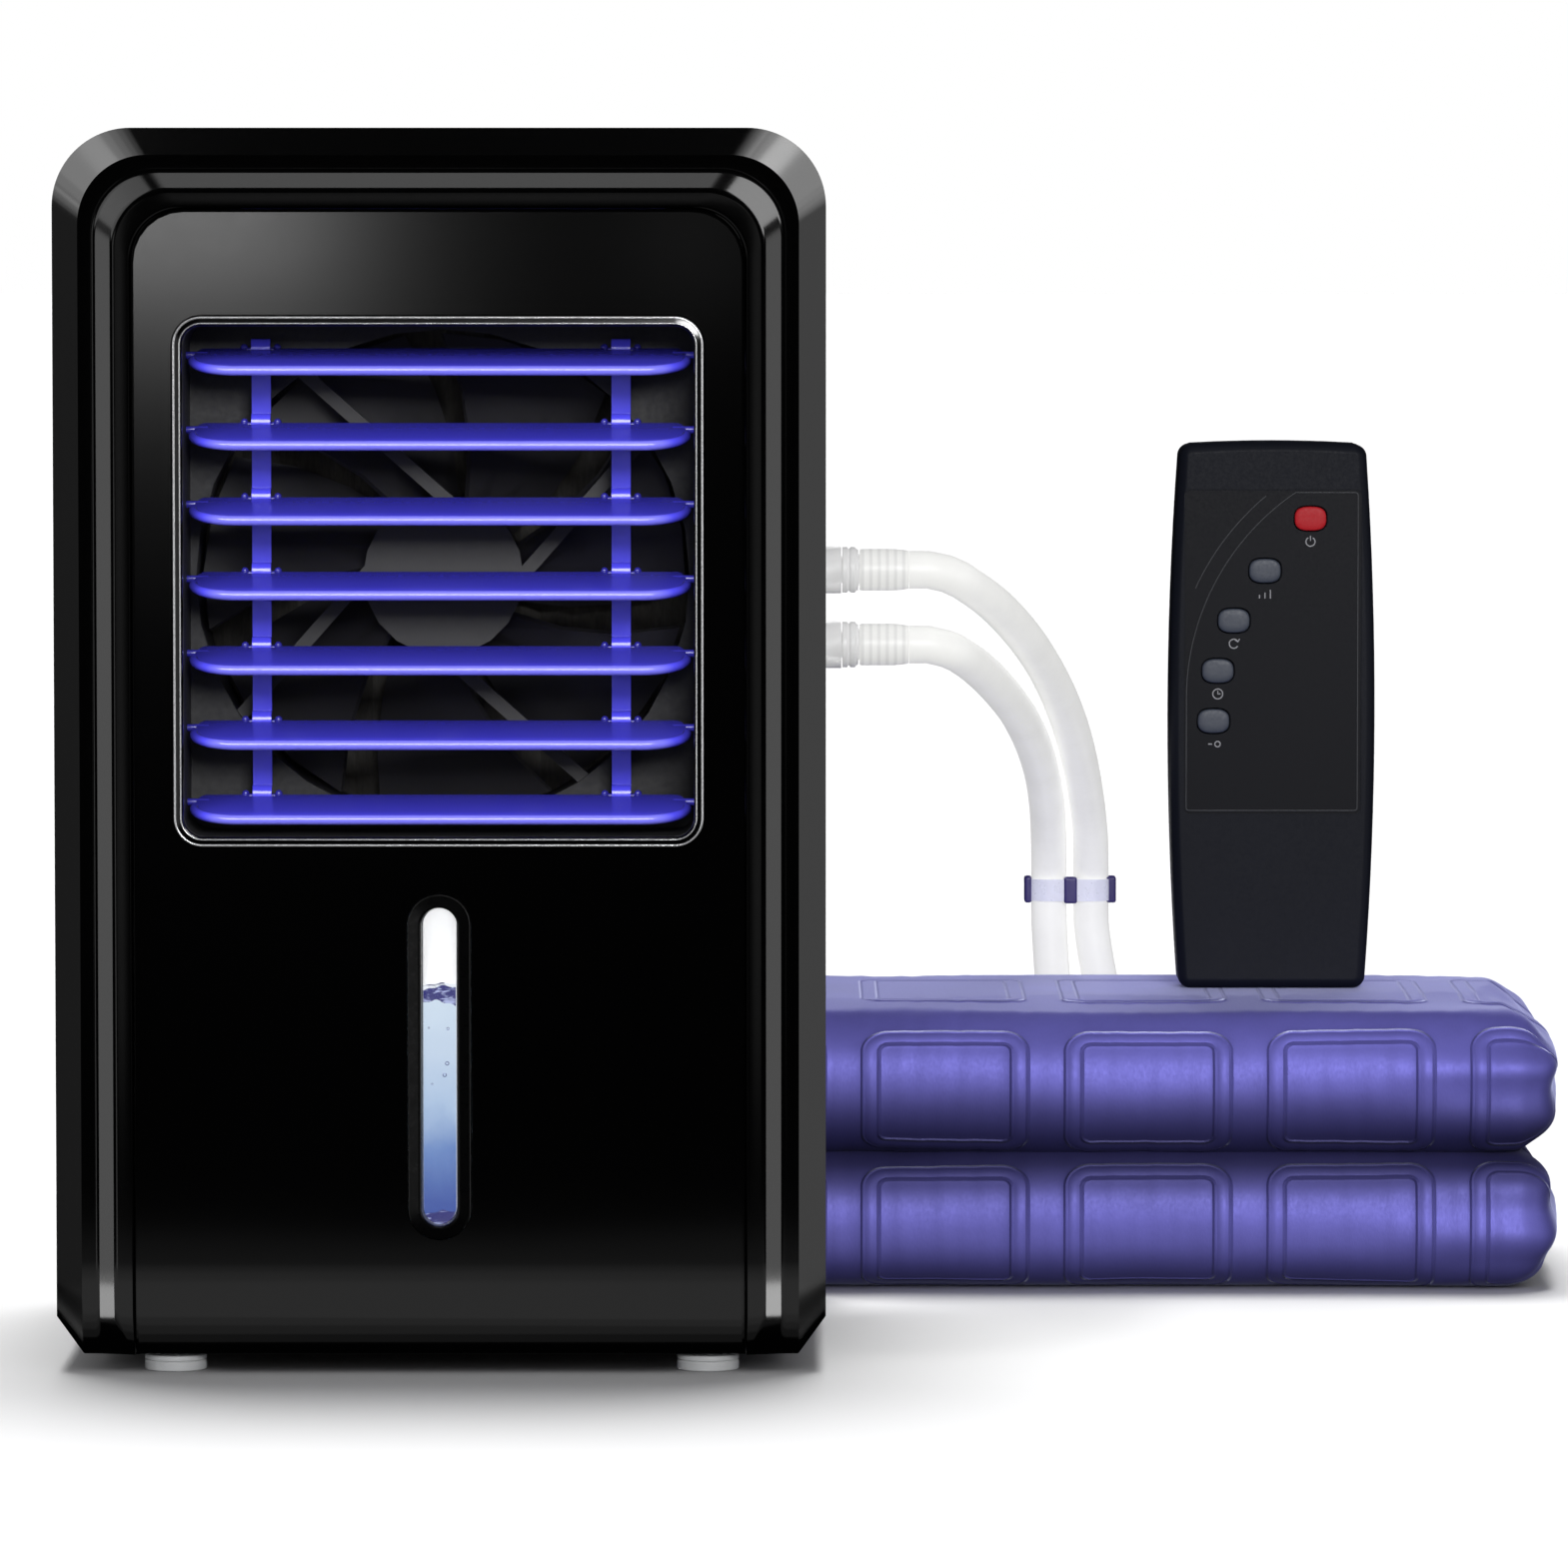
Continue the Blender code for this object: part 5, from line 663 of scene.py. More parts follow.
# Plain moulded finishes: name, colour, roughness, grain, mottle, relief and further sockets
MOULDED_FINISHES = {
    "side": ("polished_black_side", (0.010, 0.010, 0.011), 0.2, 420, 0.2, 0.004, {}),
    "cover": ("satin_black_cover", (0.016, 0.016, 0.018), 0.38, 900, 0.15, 0.12, {}),
    "inside": ("matt_dark_inside", (0.010, 0.010, 0.012), 0.6, 700, 0.2, 0.1, {}),
    "fan": ("matt_fan_plastic", (0.014, 0.0135, 0.016), 0.45, 500, 0.2, 0.08, {}),
    # Painted highlight: the rim's beads are silver in place of the light on the gloss black rim's
    # edges
    "bead": ("bright_rim_bead", (0.80, 0.80, 0.82), 0.2, 300, 0.05, 0.02, {"Metallic": 0.75}),
    "tab": ("deep_blue_tab", (0.030, 0.020, 0.130), 0.35, 700, 0.1, 0.05, {}),
    "port": ("milky_port", (0.80, 0.80, 0.79), 0.28, 500, 0.05, 0.04, {}),
    "face": (
        "remote_face", (0.0030, 0.0034, 0.0062), 0.45, 1300, 0.12, 0.03,
        {"Specular_IOR_Level": 0.12},
    ),
    "key": ("grey_rubber_key", (0.036, 0.044, 0.066), 0.5, 1200, 0.1, 0.15, {}),
    "red_key": (
        "red_rubber_key", (0.40, 0.010, 0.016), 0.5, 1200, 0.1, 0.12,
        {"Specular_IOR_Level": 0.2},
    ),
    "print": ("grey_print", (0.042, 0.044, 0.050), 0.5, 1500, 0.1, 0.02, {}),
    "mark": ("pale_print", (0.30, 0.30, 0.32), 0.5, 1500, 0.08, 0.02, {}),
    "board": ("green_board", (0.010, 0.110, 0.040), 0.35, 250, 0.3, 0.1, {}),
    "steel": ("turned_steel", (0.55, 0.55, 0.57), 0.28, 900, 0.06, 0.05, {"Metallic": 1.0}),
    # The window's white back glows a little, as painted light
    "white": (
        "white_window_back", (0.95, 0.96, 0.97), 0.4, 200, 0.01, 0.01,
        {"Emission_Strength": 0.55, "Emission_Color": (1, 1, 1, 1)},
    ),
    "bezel": ("satin_bezel", (0.0015, 0.0015, 0.0017), 0.3, 600, 0.15, 0.02, {}),
}

finishes = {}


def make_finishes():
    """Every finish of the cooling pad, by name."""
    for key, (*values, sockets) in MOULDED_FINISHES.items():
        finishes[key] = moulded(*values, **sockets)
    tower = bpy.context.scene.cooling_tower
    pad = bpy.context.scene.cooling_pad
    remote = bpy.context.scene.cooling_remote
    finishes["housing"] = moulded(
        "polished_black_housing", tuple(tower.housing_colour), 0.11, 420, 0.2, 0.004, 0.04,
    )
    finishes["panel"] = moulded(
        "polished_black_panel", tuple(tower.housing_colour), 0.10, 300, 0.2, 0.002, 0.03,
    )
    blue = tuple(tower.louver_colour)
    finishes["louver"] = louver_finish("glossy_blue_louver", blue, 0.32)
    finishes["strip"] = louver_finish("glossy_blue_strip", blue, 0.92)
    finishes["clear"] = clear_finish("frosted_moulding", (0.60, 0.60, 0.60), 0.4, 0.15, 0.34)
    finishes["lens"] = clear_finish("clear_lens", (0.97, 0.98, 1.0), 0.04)
    finishes["tank"] = clear_finish("tinted_tank", (0.70, 0.82, 0.94), 0.18)
    finishes["foot"] = clear_finish("milky_foot", (0.62, 0.63, 0.64), 0.45, 0.5)
    finishes["hose"] = hose_finish(tuple(bpy.context.scene.cooling_hoses.colour))
    finishes["fabric"] = pad_finish(tuple(pad.colour))
    finishes["band"] = clear_finish("clear_band", (0.62, 0.63, 0.72), 0.3, 0.2, 0.3)
    finishes["cuff"] = cuff_finish()
    finishes["remote"] = moulded("satin_remote", tuple(remote.colour), 0.5, 1500, 0.12, 0.12,
                                 Specular_IOR_Level=0.12)
    finishes["remote_back"] = moulded("satin_remote_back", tuple(remote.colour), 0.48, 1100,
                                      0.15, 0.25)
    finishes["wick"] = wick_finish()
    finishes["water"] = water_finish()
    finishes["deep_water"] = wave_finish("deep_blue_wave", (0.012, 0.013, 0.16),
                                         (0.42, 0.48, 0.76), 0.55)
    finishes["pale_water"] = wave_finish("pale_wave", (0.03, 0.03, 0.12), (0.88, 0.92, 0.97), 0.40)


def louver_finish(name, colour, inner):
    """Glossy blue-violet plastic, with painted shade darkening it towards the tower's inside and a
    painted highlight paling its front.
    """
    finish = Finish(name, 0.2, Coat_Weight=0.5, Coat_Roughness=0.08)
    flow = finish.work("MULTIPLY", finish.noise(24, 3, 0.5, (0.3, 1, 1)), 0.12)
    # Painted shade: darker with depth into the tower, down to the share inner of the colour at the
    # rear
    depth = finish.spread(finish.axis("Y"), 0.94, 0.0, 0.0036 - MIDDLE_Y, 0.0200 - MIDDLE_Y)
    deep, middle = (tuple(c * share for c in colour) for share in (inner, (inner + 1) / 2))
    # Painted highlight: paler at the very front, along the bead
    pale = tuple(c + (1 - c) * 0.10 for c in colour)
    finish.colour(finish.ramp(
        finish.work("ADD", depth, flow), (0.0, deep), (0.76, middle), (0.90, colour), (0.99, pale),
    ))
    skin = finish.noise(500, 4, 0.6)
    finish.gloss(finish.spread(skin, 0.16, 0.26))
    finish.bump(skin, 0.03, 0.0001)
    return finish.material


def clear_finish(name, colour, roughness, clarity=1.0, glow=0.0):
    """Clear or milky moulded plastic with faint streaks, light that its wall passes on, and, where
    a glow is given, a painted glow in its own colour.
    """
    finish = Finish(name, roughness, Transmission_Weight=clarity, IOR=1.45)
    dark, light = shades(colour, 0.04)
    streaks = finish.noise(60, 3, 0.5, (0.3, 1, 1))
    skin = finish.noise(500, 3, 0.5)
    finish.gloss(finish.spread(skin, roughness * 0.8, roughness * 1.3))
    finish.bump(skin, 0.02, 0.0001)
    return glowing(finish, finish.ramp(streaks, (0.3, dark), (0.7, light)), glow)


def hose_finish(colour):
    """Milky hose plastic: soft bands along it where the wall is thicker, fine scuffs, and a
    painted glow in its own colour.
    """
    finish = Finish("milky_hose", 0.4, Specular_IOR_Level=0.3)
    dark, light = shades(colour, 0.03)
    cloud = finish.noise(70, 4, 0.55)
    scuffs = finish.noise(900, 4, 0.65, (1, 1, 0.25))
    finish.gloss(finish.spread(scuffs, 0.32, 0.5))
    finish.bump(scuffs, 0.02, 0.0001)
    return glowing(finish, finish.ramp(cloud, (0.32, dark), (0.68, light)), 1.45)


def cuff_finish():
    """The hose's milky end, through which the ribs of its coupling show, with a painted glow in
    its own colour.
    """
    finish = Finish("milky_cuff", 0.35, Specular_IOR_Level=0.3)
    ribs = finish.add("ShaderNodeTexWave", bands_direction="X", Scale=150.0, Distortion=0.4)
    finish.link(finish.place, ribs.inputs["Vector"])
    shadow = (0.335, 0.335, 0.33)
    colour = finish.ramp(ribs.outputs["Fac"], (0.1, shadow), (0.6, (0.385, 0.385, 0.378)))
    skin = finish.noise(900, 3, 0.6)
    finish.gloss(finish.spread(skin, 0.3, 0.45))
    return glowing(finish, colour, 1.3)


def pad_finish(colour):
    """Satin fabric with a soft metallic gloss, fine welded lines, folds, a grain and sheen, and
    painted shade low on each layer.
    """
    finish = Finish("satin_pad_fabric", 0.55, Metallic=0.5, Sheen_Roughness=0.28,
                    Sheen_Tint=(0.66, 0.69, 1.0, 1.0))
    dark, light = shades(colour, 0.09)
    cloud = finish.noise(30, 5, 0.6, (1, 1, 1.6), 0.3)
    # Painted shade: the colour darkens towards each layer's lower side and the crease between the
    # layers, and the sheen weakens with it
    shade = finish.attribute("shade")
    finish.link(finish.spread(shade, 0.03, 0.6, 0, 1), finish.shader.inputs["Sheen Weight"])
    painted_shade = tuple(c * 0.16 for c in colour)
    finish.colour(finish.mix(shade, painted_shade, finish.ramp(cloud, (0.3, dark), (0.72, light))))
    grain = finish.noise(1500, 2, 0.6, (1, 1, 0.5))
    finish.gloss(finish.spread(grain, 0.52, 0.60))
    folds = finish.noise(70, 3, 0.55, (1.0, 0.2, 0.2), 0.4)
    finish.bump(folds, 0.12, 0.0006)
    seam = finish.work("ABSOLUTE", finish.attribute("seam"))
    far = finish.work("SUBTRACT", seam, CHANNEL_HALF_BAND)
    line = finish.spread(finish.work("ABSOLUTE", far), 1, 0, 0, 0.0006)
    finish.bump(line, 0.95, 0.0005)
    finish.bump(grain, 0.16, 0.0002)
    return finish.material


def wick_finish():
    """Rough pleated paper."""
    finish = Finish("rough_wick_paper", 0.9)
    fibre = finish.noise(900, 6, 0.7, (1, 1, 0.3))
    finish.colour(finish.ramp(fibre, (0.3, (0.020, 0.019, 0.018)), (0.7, (0.045, 0.042, 0.038))))
    finish.bump(fibre, 0.5, 0.0003)
    return finish.material


def glowing(finish, colour, strength):
    """Give a finish painted light: it glows in its own colour, as if lit from behind."""
    finish.colour(colour)
    finish.link(colour, finish.shader.inputs["Emission Color"])
    finish.shader.inputs["Emission Strength"].default_value = strength
    return finish.material


def painted_glow_only(finish, colour):
    """Let a dark finish show its colours by painted light alone: it glows in them."""
    finish.link(colour, finish.shader.inputs["Emission Color"])
    finish.shader.inputs["Emission Strength"].default_value = 1.0
    finish.shader.inputs["Base Color"].default_value = (0.02, 0.02, 0.03, 1)
    return finish.material


def water_finish():
    """Water seen through the window, from pale at the top to deep blue at the bottom, its colours
    a painted glow of its own.
    """
    finish = Finish("blue_water", 0.3, Specular_IOR_Level=0.1)
    height = finish.spread(finish.axis("Z"), 0.0, 1.0, WATER_FOOT_Z, WATER_LEVEL_Z)
    swirl = finish.noise(90, 3, 0.55, (1, 1, 0.7), 0.5)
    shift = finish.work("MULTIPLY", finish.work("SUBTRACT", swirl, 0.5), 0.2)
    colour = finish.ramp(
        finish.work("ADD", height, shift), (0.08, (0.035, 0.085, 0.36)),
        (0.32, (0.135, 0.245, 0.54)), (0.50, (0.42, 0.56, 0.76)), (0.72, (0.56, 0.68, 0.83)),
        (0.95, (0.62, 0.74, 0.86)),
    )
    return painted_glow_only(finish, colour)


def wave_finish(name, dark, light, start):
    """A wave of the water's top, in streaks from dark to light, shown as a painted glow."""
    finish = Finish(name, 0.25, Specular_IOR_Level=0.1)
    streaks = finish.noise(330, 3, 0.5, (0.5, 1, 1.8), 1.6)
    return painted_glow_only(finish, finish.ramp(streaks, (start, dark), (start + 0.09, light)))


def dress(node, finish, split=35):
    """Give a CAD node its finish, with smooth round faces and crisp edges."""
    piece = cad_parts[node]
    for polygon in piece.data.polygons:
        polygon.use_smooth = True
    weld = piece.modifiers.new("weld", "WELD")
    weld.merge_threshold = 0.00001
    crisp = piece.modifiers.new("crisp_edges", "EDGE_SPLIT")
    crisp.split_angle = math.radians(split)
    normals = piece.modifiers.new("even_faces", "WEIGHTED_NORMAL")
    normals.keep_sharp = True
    piece.data.materials.clear()
    piece.data.materials.append(finishes[finish])


class CoolingTowerSizes(bpy.types.PropertyGroup):
    """Finish of the tower"""

    housing_colour: bpy.props.FloatVectorProperty(
        name="Housing colour", description="Colour of the polished housing",
        subtype="COLOR", size=3, min=0, max=1, default=(0.0006, 0.0006, 0.0007),
    )
    louver_colour: bpy.props.FloatVectorProperty(
        name="Louver colour", description="Colour of the slats, their bars and the hose clip",
        subtype="COLOR", size=3, min=0, max=1, default=(0.075, 0.068, 0.780),
    )
    frame_edge: bpy.props.FloatProperty(
        name="Frame edge", description="Rounding of the front frame's edges",
        unit="LENGTH", min=0.0001, max=0.0015, default=0.0007,
    )


class CoolingHoseSizes(bpy.types.PropertyGroup):
    """Finish of the hoses"""

    colour: bpy.props.FloatVectorProperty(
        name="Hose colour", description="Colour of the milky hoses",
        subtype="COLOR", size=3, min=0, max=1, default=(0.38, 0.38, 0.372),
    )


class CoolingPadSizes(bpy.types.PropertyGroup):
    """Shape and finish of the folded pad"""

    colour: bpy.props.FloatVectorProperty(
        name="Pad colour", description="Colour of the pad's satin fabric",
        subtype="COLOR", size=3, min=0, max=1, default=(0.150, 0.140, 0.53),
    )
    channel_height: bpy.props.FloatProperty(
        name="Channel height", description="How far the welded channels stand out",
        unit="LENGTH", min=0.0002, max=0.0020, default=0.0007,
    )
    swelling: bpy.props.FloatProperty(
        name="Swelling", description="Pressure that fills the pad",
        min=0.0, max=8.0, default=3.0,
    )


class CoolingRemoteSizes(bpy.types.PropertyGroup):
    """Finish of the remote"""

    colour: bpy.props.FloatVectorProperty(
        name="Remote colour", description="Colour of the remote's shell",
        subtype="COLOR", size=3, min=0, max=1, default=(0.0054, 0.0064, 0.0112),
    )


class CoolingStageSettings(bpy.types.PropertyGroup):
    """Light of the stage"""

    brightness: bpy.props.FloatProperty(
        name="Brightness", description="Strength of all the lights together",
        min=0.1, max=5.0, default=1.0,
    )


def smooth_route(points, spacing):
    """A route with straight ends, and evenly spaced points on a smooth curve between."""
    points = [Vector(point) for point in points]
    steps = 24
    fine = []
    for before, start, end, after in zip(points, points[1:], points[2:], points[3:]):
        for index in range(steps):
            share = index / steps
            fine.append(
                start
                + (end - before) * share / 2
                + (2 * before - 5 * start + 4 * end - after) * share ** 2 / 2
                + (3 * start - before - 3 * end + after) * share ** 3 / 2
            )
    fine.append(points[-2])
    length = sum((after - before).length for before, after in zip(fine, fine[1:]))
    count = max(round(length / spacing), 2)
    route, walked, target = [points[0], fine[0]], 0, length / count
    for before, after in zip(fine, fine[1:]):
        piece = (after - before).length
        while piece and walked + piece >= target and len(route) <= count:
            route.append(before.lerp(after, (target - walked) / piece))
            target += length / count
        walked += piece
    return route + [points[-2], points[-1]]


def coil_route(floor_z):
    """The turns of a coil: a flat spiral in, a climb of one layer, and the same way out."""
    loop = 48
    points = []
    for index in range(round(COIL_TURNS * loop) + 1):
        turns = index / loop
        middle = COIL_TURNS / 2
        radius = COIL_RADIUS - COIL_PITCH * (middle - abs(turns - middle))
        climb = min(max((turns - middle) * 2 + 0.5, 0), 1)
        angle = math.radians(360 * turns - 90)
        points.append(Vector((
            COIL_X + radius * math.cos(angle), COIL_Y + radius * math.sin(angle),
            floor_z + COIL_PITCH * climb,
        )))
    return points


def hose_route(which):
    """All the points of one hose, from its coupling to the pad's port."""
    rank = 1 if which == "upper" else 0
    spacing = HOSE_DIAMETER / 2
    straight = HOSE_DIAMETER / 2
    port_z = PORT_HEIGHTS[which]
    coil_z = COIL_FLOOR_Z + 2 * COIL_PITCH * rank
    clip_x = CLIP_X + HOSE_GAP_X * rank
    coil_y = COIL_Y - COIL_RADIUS
    start = [(HOSE_START_X, PORT_Y, port_z), (HOSE_START_X + straight, PORT_Y, port_z)]
    clip = (clip_x, CLIP_Y, CLIP_Z)
    above, below = (clip_x, CLIP_Y, CLIP_Z + straight), (clip_x, CLIP_Y, CLIP_Z - straight)
    end_x = COIL_X - HOSE_DIAMETER
    first = smooth_route([*start, *ROUTES[which], above, clip], spacing)
    lead = [(end_x - straight, coil_y, coil_z), (end_x, coil_y, coil_z)]
    second = smooth_route([clip, below, *DROPS[which], *lead], spacing)
    coil = coil_route(coil_z)
    near_port = PAD_PORT_TIP_Y + 0.0003
    port_x = PAD_PORT_X[which]
    end = [(port_x, near_port + HOSE_DIAMETER, PAD_PORT_Z), (port_x, near_port, PAD_PORT_Z)]
    rest = smooth_route([coil[-2], coil[-1], *TAILS[which], *end], spacing)
    return [at(*point) for point in first[:-1] + second[1:] + coil[:-1] + rest[1:]]


def place_camera():
    """The camera at the photograph's angle."""
    camera = new_piece("camera", bpy.data.cameras.new("camera"))
    camera.location = CAMERA_PLACE
    camera.rotation_euler = (math.radians(90 - CAMERA_DIP), 0, 0)
    camera.data.lens = CAMERA_LENS
    camera.data.sensor_width = SENSOR_WIDTH
    camera.data.clip_start, camera.data.clip_end = 0.05, 60
    bpy.context.scene.camera = camera


def add_light(name, place, aim, size, power, **settings):
    """An area light at a place, turned towards another."""
    data = bpy.data.lights.new(name, "AREA")
    data.shape = "RECTANGLE"
    data.size, data.size_y = size
    data.energy = power * bpy.context.scene.cooling_stage.brightness
    light = new_piece(name, data)
    light.location = place
    light.rotation_euler = (Vector(aim) - Vector(place)).to_track_quat("-Z", "Y").to_euler()
    for key, value in settings.items():
        setattr(light, key, value)
    return light


# The soft lights: name, place, size, power, whether polished pieces mirror it, and the group
# of pieces that it lights alone or leaves out
SOFT_LIGHTS = (
    ("front_light", (0.45, -2.5, 0.80), (0.9, 0.5), 40, True, "without_front_light"),
    ("front_fill", (-0.3, -2.9, 0.3), (1.8, 1.0), 22, False, "without_front_fill"),
    ("back_light", (0.35, 1.7, 1.0), (1.2, 0.6), 46, False, "without_back_light"),
    ("hose_light", (-0.1, -2.4, 0.6), (1.6, 0.8), 8, False, "hose_light_receivers"),
    ("slat_light", (-0.3, -1.9, 1.05), (2.0, 0.75), 52, True, "slat_light_receivers"),
)

# How far in front of the tower each light under its foot roll starts and ends
FOOT_SHINES = ((0.330, 0.033), (0.240, 0.025), (0.190, 0.018), (0.140, 0.010))

# Lights that show only where they are mirrored: name, place, size and brightness. Those whose
# names differ by a number lie one behind another, so that their edge fades out.
SHINES = (
    *((f"foot_roll_shine_{step}", (0.0, -(reach + end) / 2, -0.003 - 0.001 * step),
       (0.50, reach - end), 0.14) for step, (reach, end) in enumerate(FOOT_SHINES, 1)),
    ("left_foot_shine", (-1.41, -0.51, -0.44), (0.42, 0.36), 6.5),
    ("right_foot_shine", (1.38, -0.62, -0.44), (0.40, 0.36), 9.0),
    ("left_slope_shine", (-1.41, -0.51, 0.20), (0.42, 0.90), 1.75),
    ("left_edge_shine", (-1.50, -0.16, 0.20), (0.25, 0.90), 0.20),
    ("right_slope_shine", (1.38, -0.62, 0.20), (0.40, 0.90), 1.75),
    ("right_edge_shine", (1.50, -0.22, 0.20), (0.34, 0.90), 1.1),
    ("top_slope_shine", (0.04, -0.62, 1.65), (0.90, 0.36), 1.75),
    *((f"left_corner_shine_{step}", (-1.02 - 0.01 * step, -0.33, 1.17 + 0.01 * step),
       (1.1, 0.5 + 0.4 * step), 0.65) for step in range(1, 6)),
    *((f"right_corner_shine_{step}", (1.02 + 0.01 * step, -0.33, 1.20 + 0.01 * step),
       (1.1, 1.1 + 0.32 * step), 0.75) for step in range(1, 6)),
    ("left_corner_band_shine", (-1.04, -0.98, 1.13), (0.9, 1.7), 1.2),
    ("right_corner_band_shine", (1.00, -1.08, 1.21), (0.9, 1.7), 4.5),
    ("panel_glow", (-0.225, -2.32, 0.275), (0.16, 0.07), 5.4),
    ("panel_glow_round", (-0.205, -2.32, 0.25), (0.19, 0.12), 0.9),
    ("panel_glow_wide", (-0.170, -2.32, 0.20), (0.28, 0.24), 0.05),
    ("panel_glow_right", (0.040, -2.32, 0.26), (0.05, 0.07), 0.40),
    ("bezel_shine", (-1.10, -2.10, 0.10), (0.35, 0.80), 0.8),
    ("left_band_shine", (-0.51, -2.30, 0.25), (0.12, 0.80), 0.28),
    ("right_band_shine", (0.34, -2.30, 0.25), (0.12, 0.80), 0.28),
    ("top_band_shine", (0.05, -2.30, 0.54), (0.60, 0.12), 0.28),
)


def set_world():
    """A white background whose light comes from above, and which polished pieces don't mirror."""
    world = bpy.data.worlds.new("studio")
    bpy.context.scene.world = world
    world.use_nodes = True
    tree = world.node_tree
    path = tree.nodes.new("ShaderNodeLightPath")
    place = tree.nodes.new("ShaderNodeTexCoord")
    split = tree.nodes.new("ShaderNodeSeparateXYZ")
    tree.links.new(place.outputs["Generated"], split.inputs[0])
    sky = tree.nodes.new("ShaderNodeValToRGB")
    low_sky, high_sky = sky.color_ramp.elements
    low_sky.position, high_sky.position = 0.0, 0.15
    low_sky.color = (0.06, 0.06, 0.06, 1)
    high_sky.color = (0.45, 0.45, 0.46, 1)
    tree.links.new(split.outputs["Z"], sky.inputs["Fac"])
    colour = sky.outputs["Color"]
    greys = {"Is Camera Ray": 1.0, "Is Glossy Ray": 0.004, "Is Transmission Ray": 0.9}
    for ray, grey in greys.items():
        pick = tree.nodes.new("ShaderNodeMix")
        pick.data_type = "RGBA"
        pick.inputs[MIX_SECOND].default_value = (grey, grey, grey, 1)
        tree.links.new(path.outputs[ray], pick.inputs["Factor"])
        tree.links.new(colour, pick.inputs[MIX_FIRST])
        colour = pick.outputs[MIX_RESULT]
    tree.links.new(colour, tree.nodes["Background"].inputs["Color"])


def group_for(name, *pieces):
    """The group of pieces that a light lights alone, or leaves out if its name says without."""
    state = "EXCLUDE" if name.startswith("without") else "INCLUDE"
    group = bpy.data.collections.get(name) or bpy.data.collections.new(name)
    for piece in pieces:
        group.objects.link(piece)
    for member in group.collection_objects:
        member.light_linking.link_state = state
    return group


def add_floor_sun(floor):
    """A soft sun from above and behind that lights the floor alone, so that it stays pale."""
    data = bpy.data.lights.new("floor_sun", "SUN")
    data.energy = 4.3 * bpy.context.scene.cooling_stage.brightness
    data.angle = math.radians(26)
    sun = new_piece("floor_sun", data)
    sun.location = (0, 0, 3)
    sun.rotation_euler = (math.radians(-16), 0, 0)
    sun.light_linking.receiver_collection = group_for("floor_sun_receivers", floor)


def add_shines():
    """The mirrored lights, of which those for corners, feet and panel light only the front."""
    for name, place, size, radiance in SHINES:
        across, along = size
        under = name.startswith("foot_roll")
        aim = at(place[0], place[1], 1) if under else at(*SHINE_AIM)
        shine = add_light(
            name, at(*place), aim, size, radiance * math.pi * across * along,
            visible_diffuse=False, visible_transmission=False,
        )
        if "corner" in name:
            shine.data.shape = "ELLIPSE"
        if "corner" in name or "foot" in name:
            shine.light_linking.receiver_collection = group_for("frame_shine_receivers")
        if name.startswith("panel_glow"):
            shine.light_linking.receiver_collection = group_for("panel_glow_receivers")


class CoolingStage(bpy.types.Operator):
    """Set the camera, the pale floor, the plain background and the soft lights"""

    bl_idname = "cooling.stage"
    bl_label = "Stage"

    def execute(self, context):
        place_camera()
        context.scene.view_settings.view_transform = "Standard"
        deselect()
        bpy.ops.mesh.primitive_plane_add(size=40, location=(0, 0, 0))
        floor = context.object
        floor.name = "floor"
        pale = Finish("pale_floor", 0.85, Specular_IOR_Level=0.0)
        cloud = pale.noise(3, 2, 0.5)
        pale.colour(pale.ramp(cloud, (0.3, (0.62, 0.62, 0.62)), (0.7, (0.63, 0.63, 0.63))))
        floor.data.materials.append(pale.material)
        floor.visible_glossy = False
        floor.visible_diffuse = False
        set_world()
        for name, place, size, power, mirrored, group in SOFT_LIGHTS:
            light = add_light(name, place, LIGHT_AIM, size, power, visible_glossy=mirrored)
            left_out = [floor] if group.startswith("without") else []
            light.light_linking.receiver_collection = group_for(group, *left_out)
        add_floor_sun(floor)
        add_shines()
        return {"FINISHED"}


class CoolingHoses(bpy.types.Operator):
    """Lay the two milky hoses from the tower through the clip to the pad"""

    bl_idname = "cooling.hoses"
    bl_label = "Hoses"

    def execute(self, context):
        for which in ("upper", "lower"):
            route = hose_route(which)
            hose = tube(route, HOSE_DIAMETER / 2, 6)
            nodes = (f"hose_{which}", f"hose_{which}_coil")
            settle(hose, f"{which}_hose_tube", "base", finishes["hose"], nodes)
            with_pieces = [f"{which}_hose_coupling", f"{which}_hose_cuff"]
            make_coupling(which)
            if which == "upper":
                with_pieces += ["double_clip", "clip_tabs"]
                make_clip()
            lit = [hose] + [bpy.data.objects[name] for name in with_pieces[:2]]
            group_for("hose_light_receivers", *lit)
            group_for("without_back_light", *lit)
        return {"FINISHED"}


def make_coupling(which):
    """The ribbed end piece of a hose, with the hose's widened cuff over it."""
    near, far, pitch = COUPLING_START_X, COUPLING_END_X, 0.0021
    place = (0, PORT_Y, PORT_HEIGHTS[which])
    profile = [(0.0030, near), (0.0056, near)]
    for index in range(2):
        rib = near + 0.0020 * index
        profile += [(0.0058, rib + 0.0001), (0.0058, rib + 0.0012), (0.0052, rib + 0.0016)]
    profile += [(0.0052, near + 0.0040), (0.0040, near + 0.0041)]
    for index in range(4):
        rib = near + 0.0046 + pitch * index
        profile += [(0.0036, rib), (0.0043, rib + 0.0016), (0.0037, rib + 0.0017)]
    profile += [(0.0036, far - 0.0008), (0.0030, far - 0.0006)]
    rounded = fillet(profile + [profile[0]], 0.00015, 2)
    piece = turned(rounded, place, 90)
    settle(piece, f"{which}_hose_coupling", "base", finishes["clear"],
           [f"coupling_{which}"])
    profile = [
        (0.0045, near + 0.0044), (0.0052, near + 0.0044), (0.0053, near + 0.0052),
        (0.0053, far - 0.0040), (0.0051, far - 0.0015), (0.0048, far + 0.0002),
        (0.0041, far + 0.0002), (0.0045, far - 0.0016),
    ]
    rounded = fillet(profile + [profile[0]], 0.0004, 3)
    cuff = turned(rounded, place, 90)
    settle(cuff, f"{which}_hose_cuff", "base", finishes["cuff"])


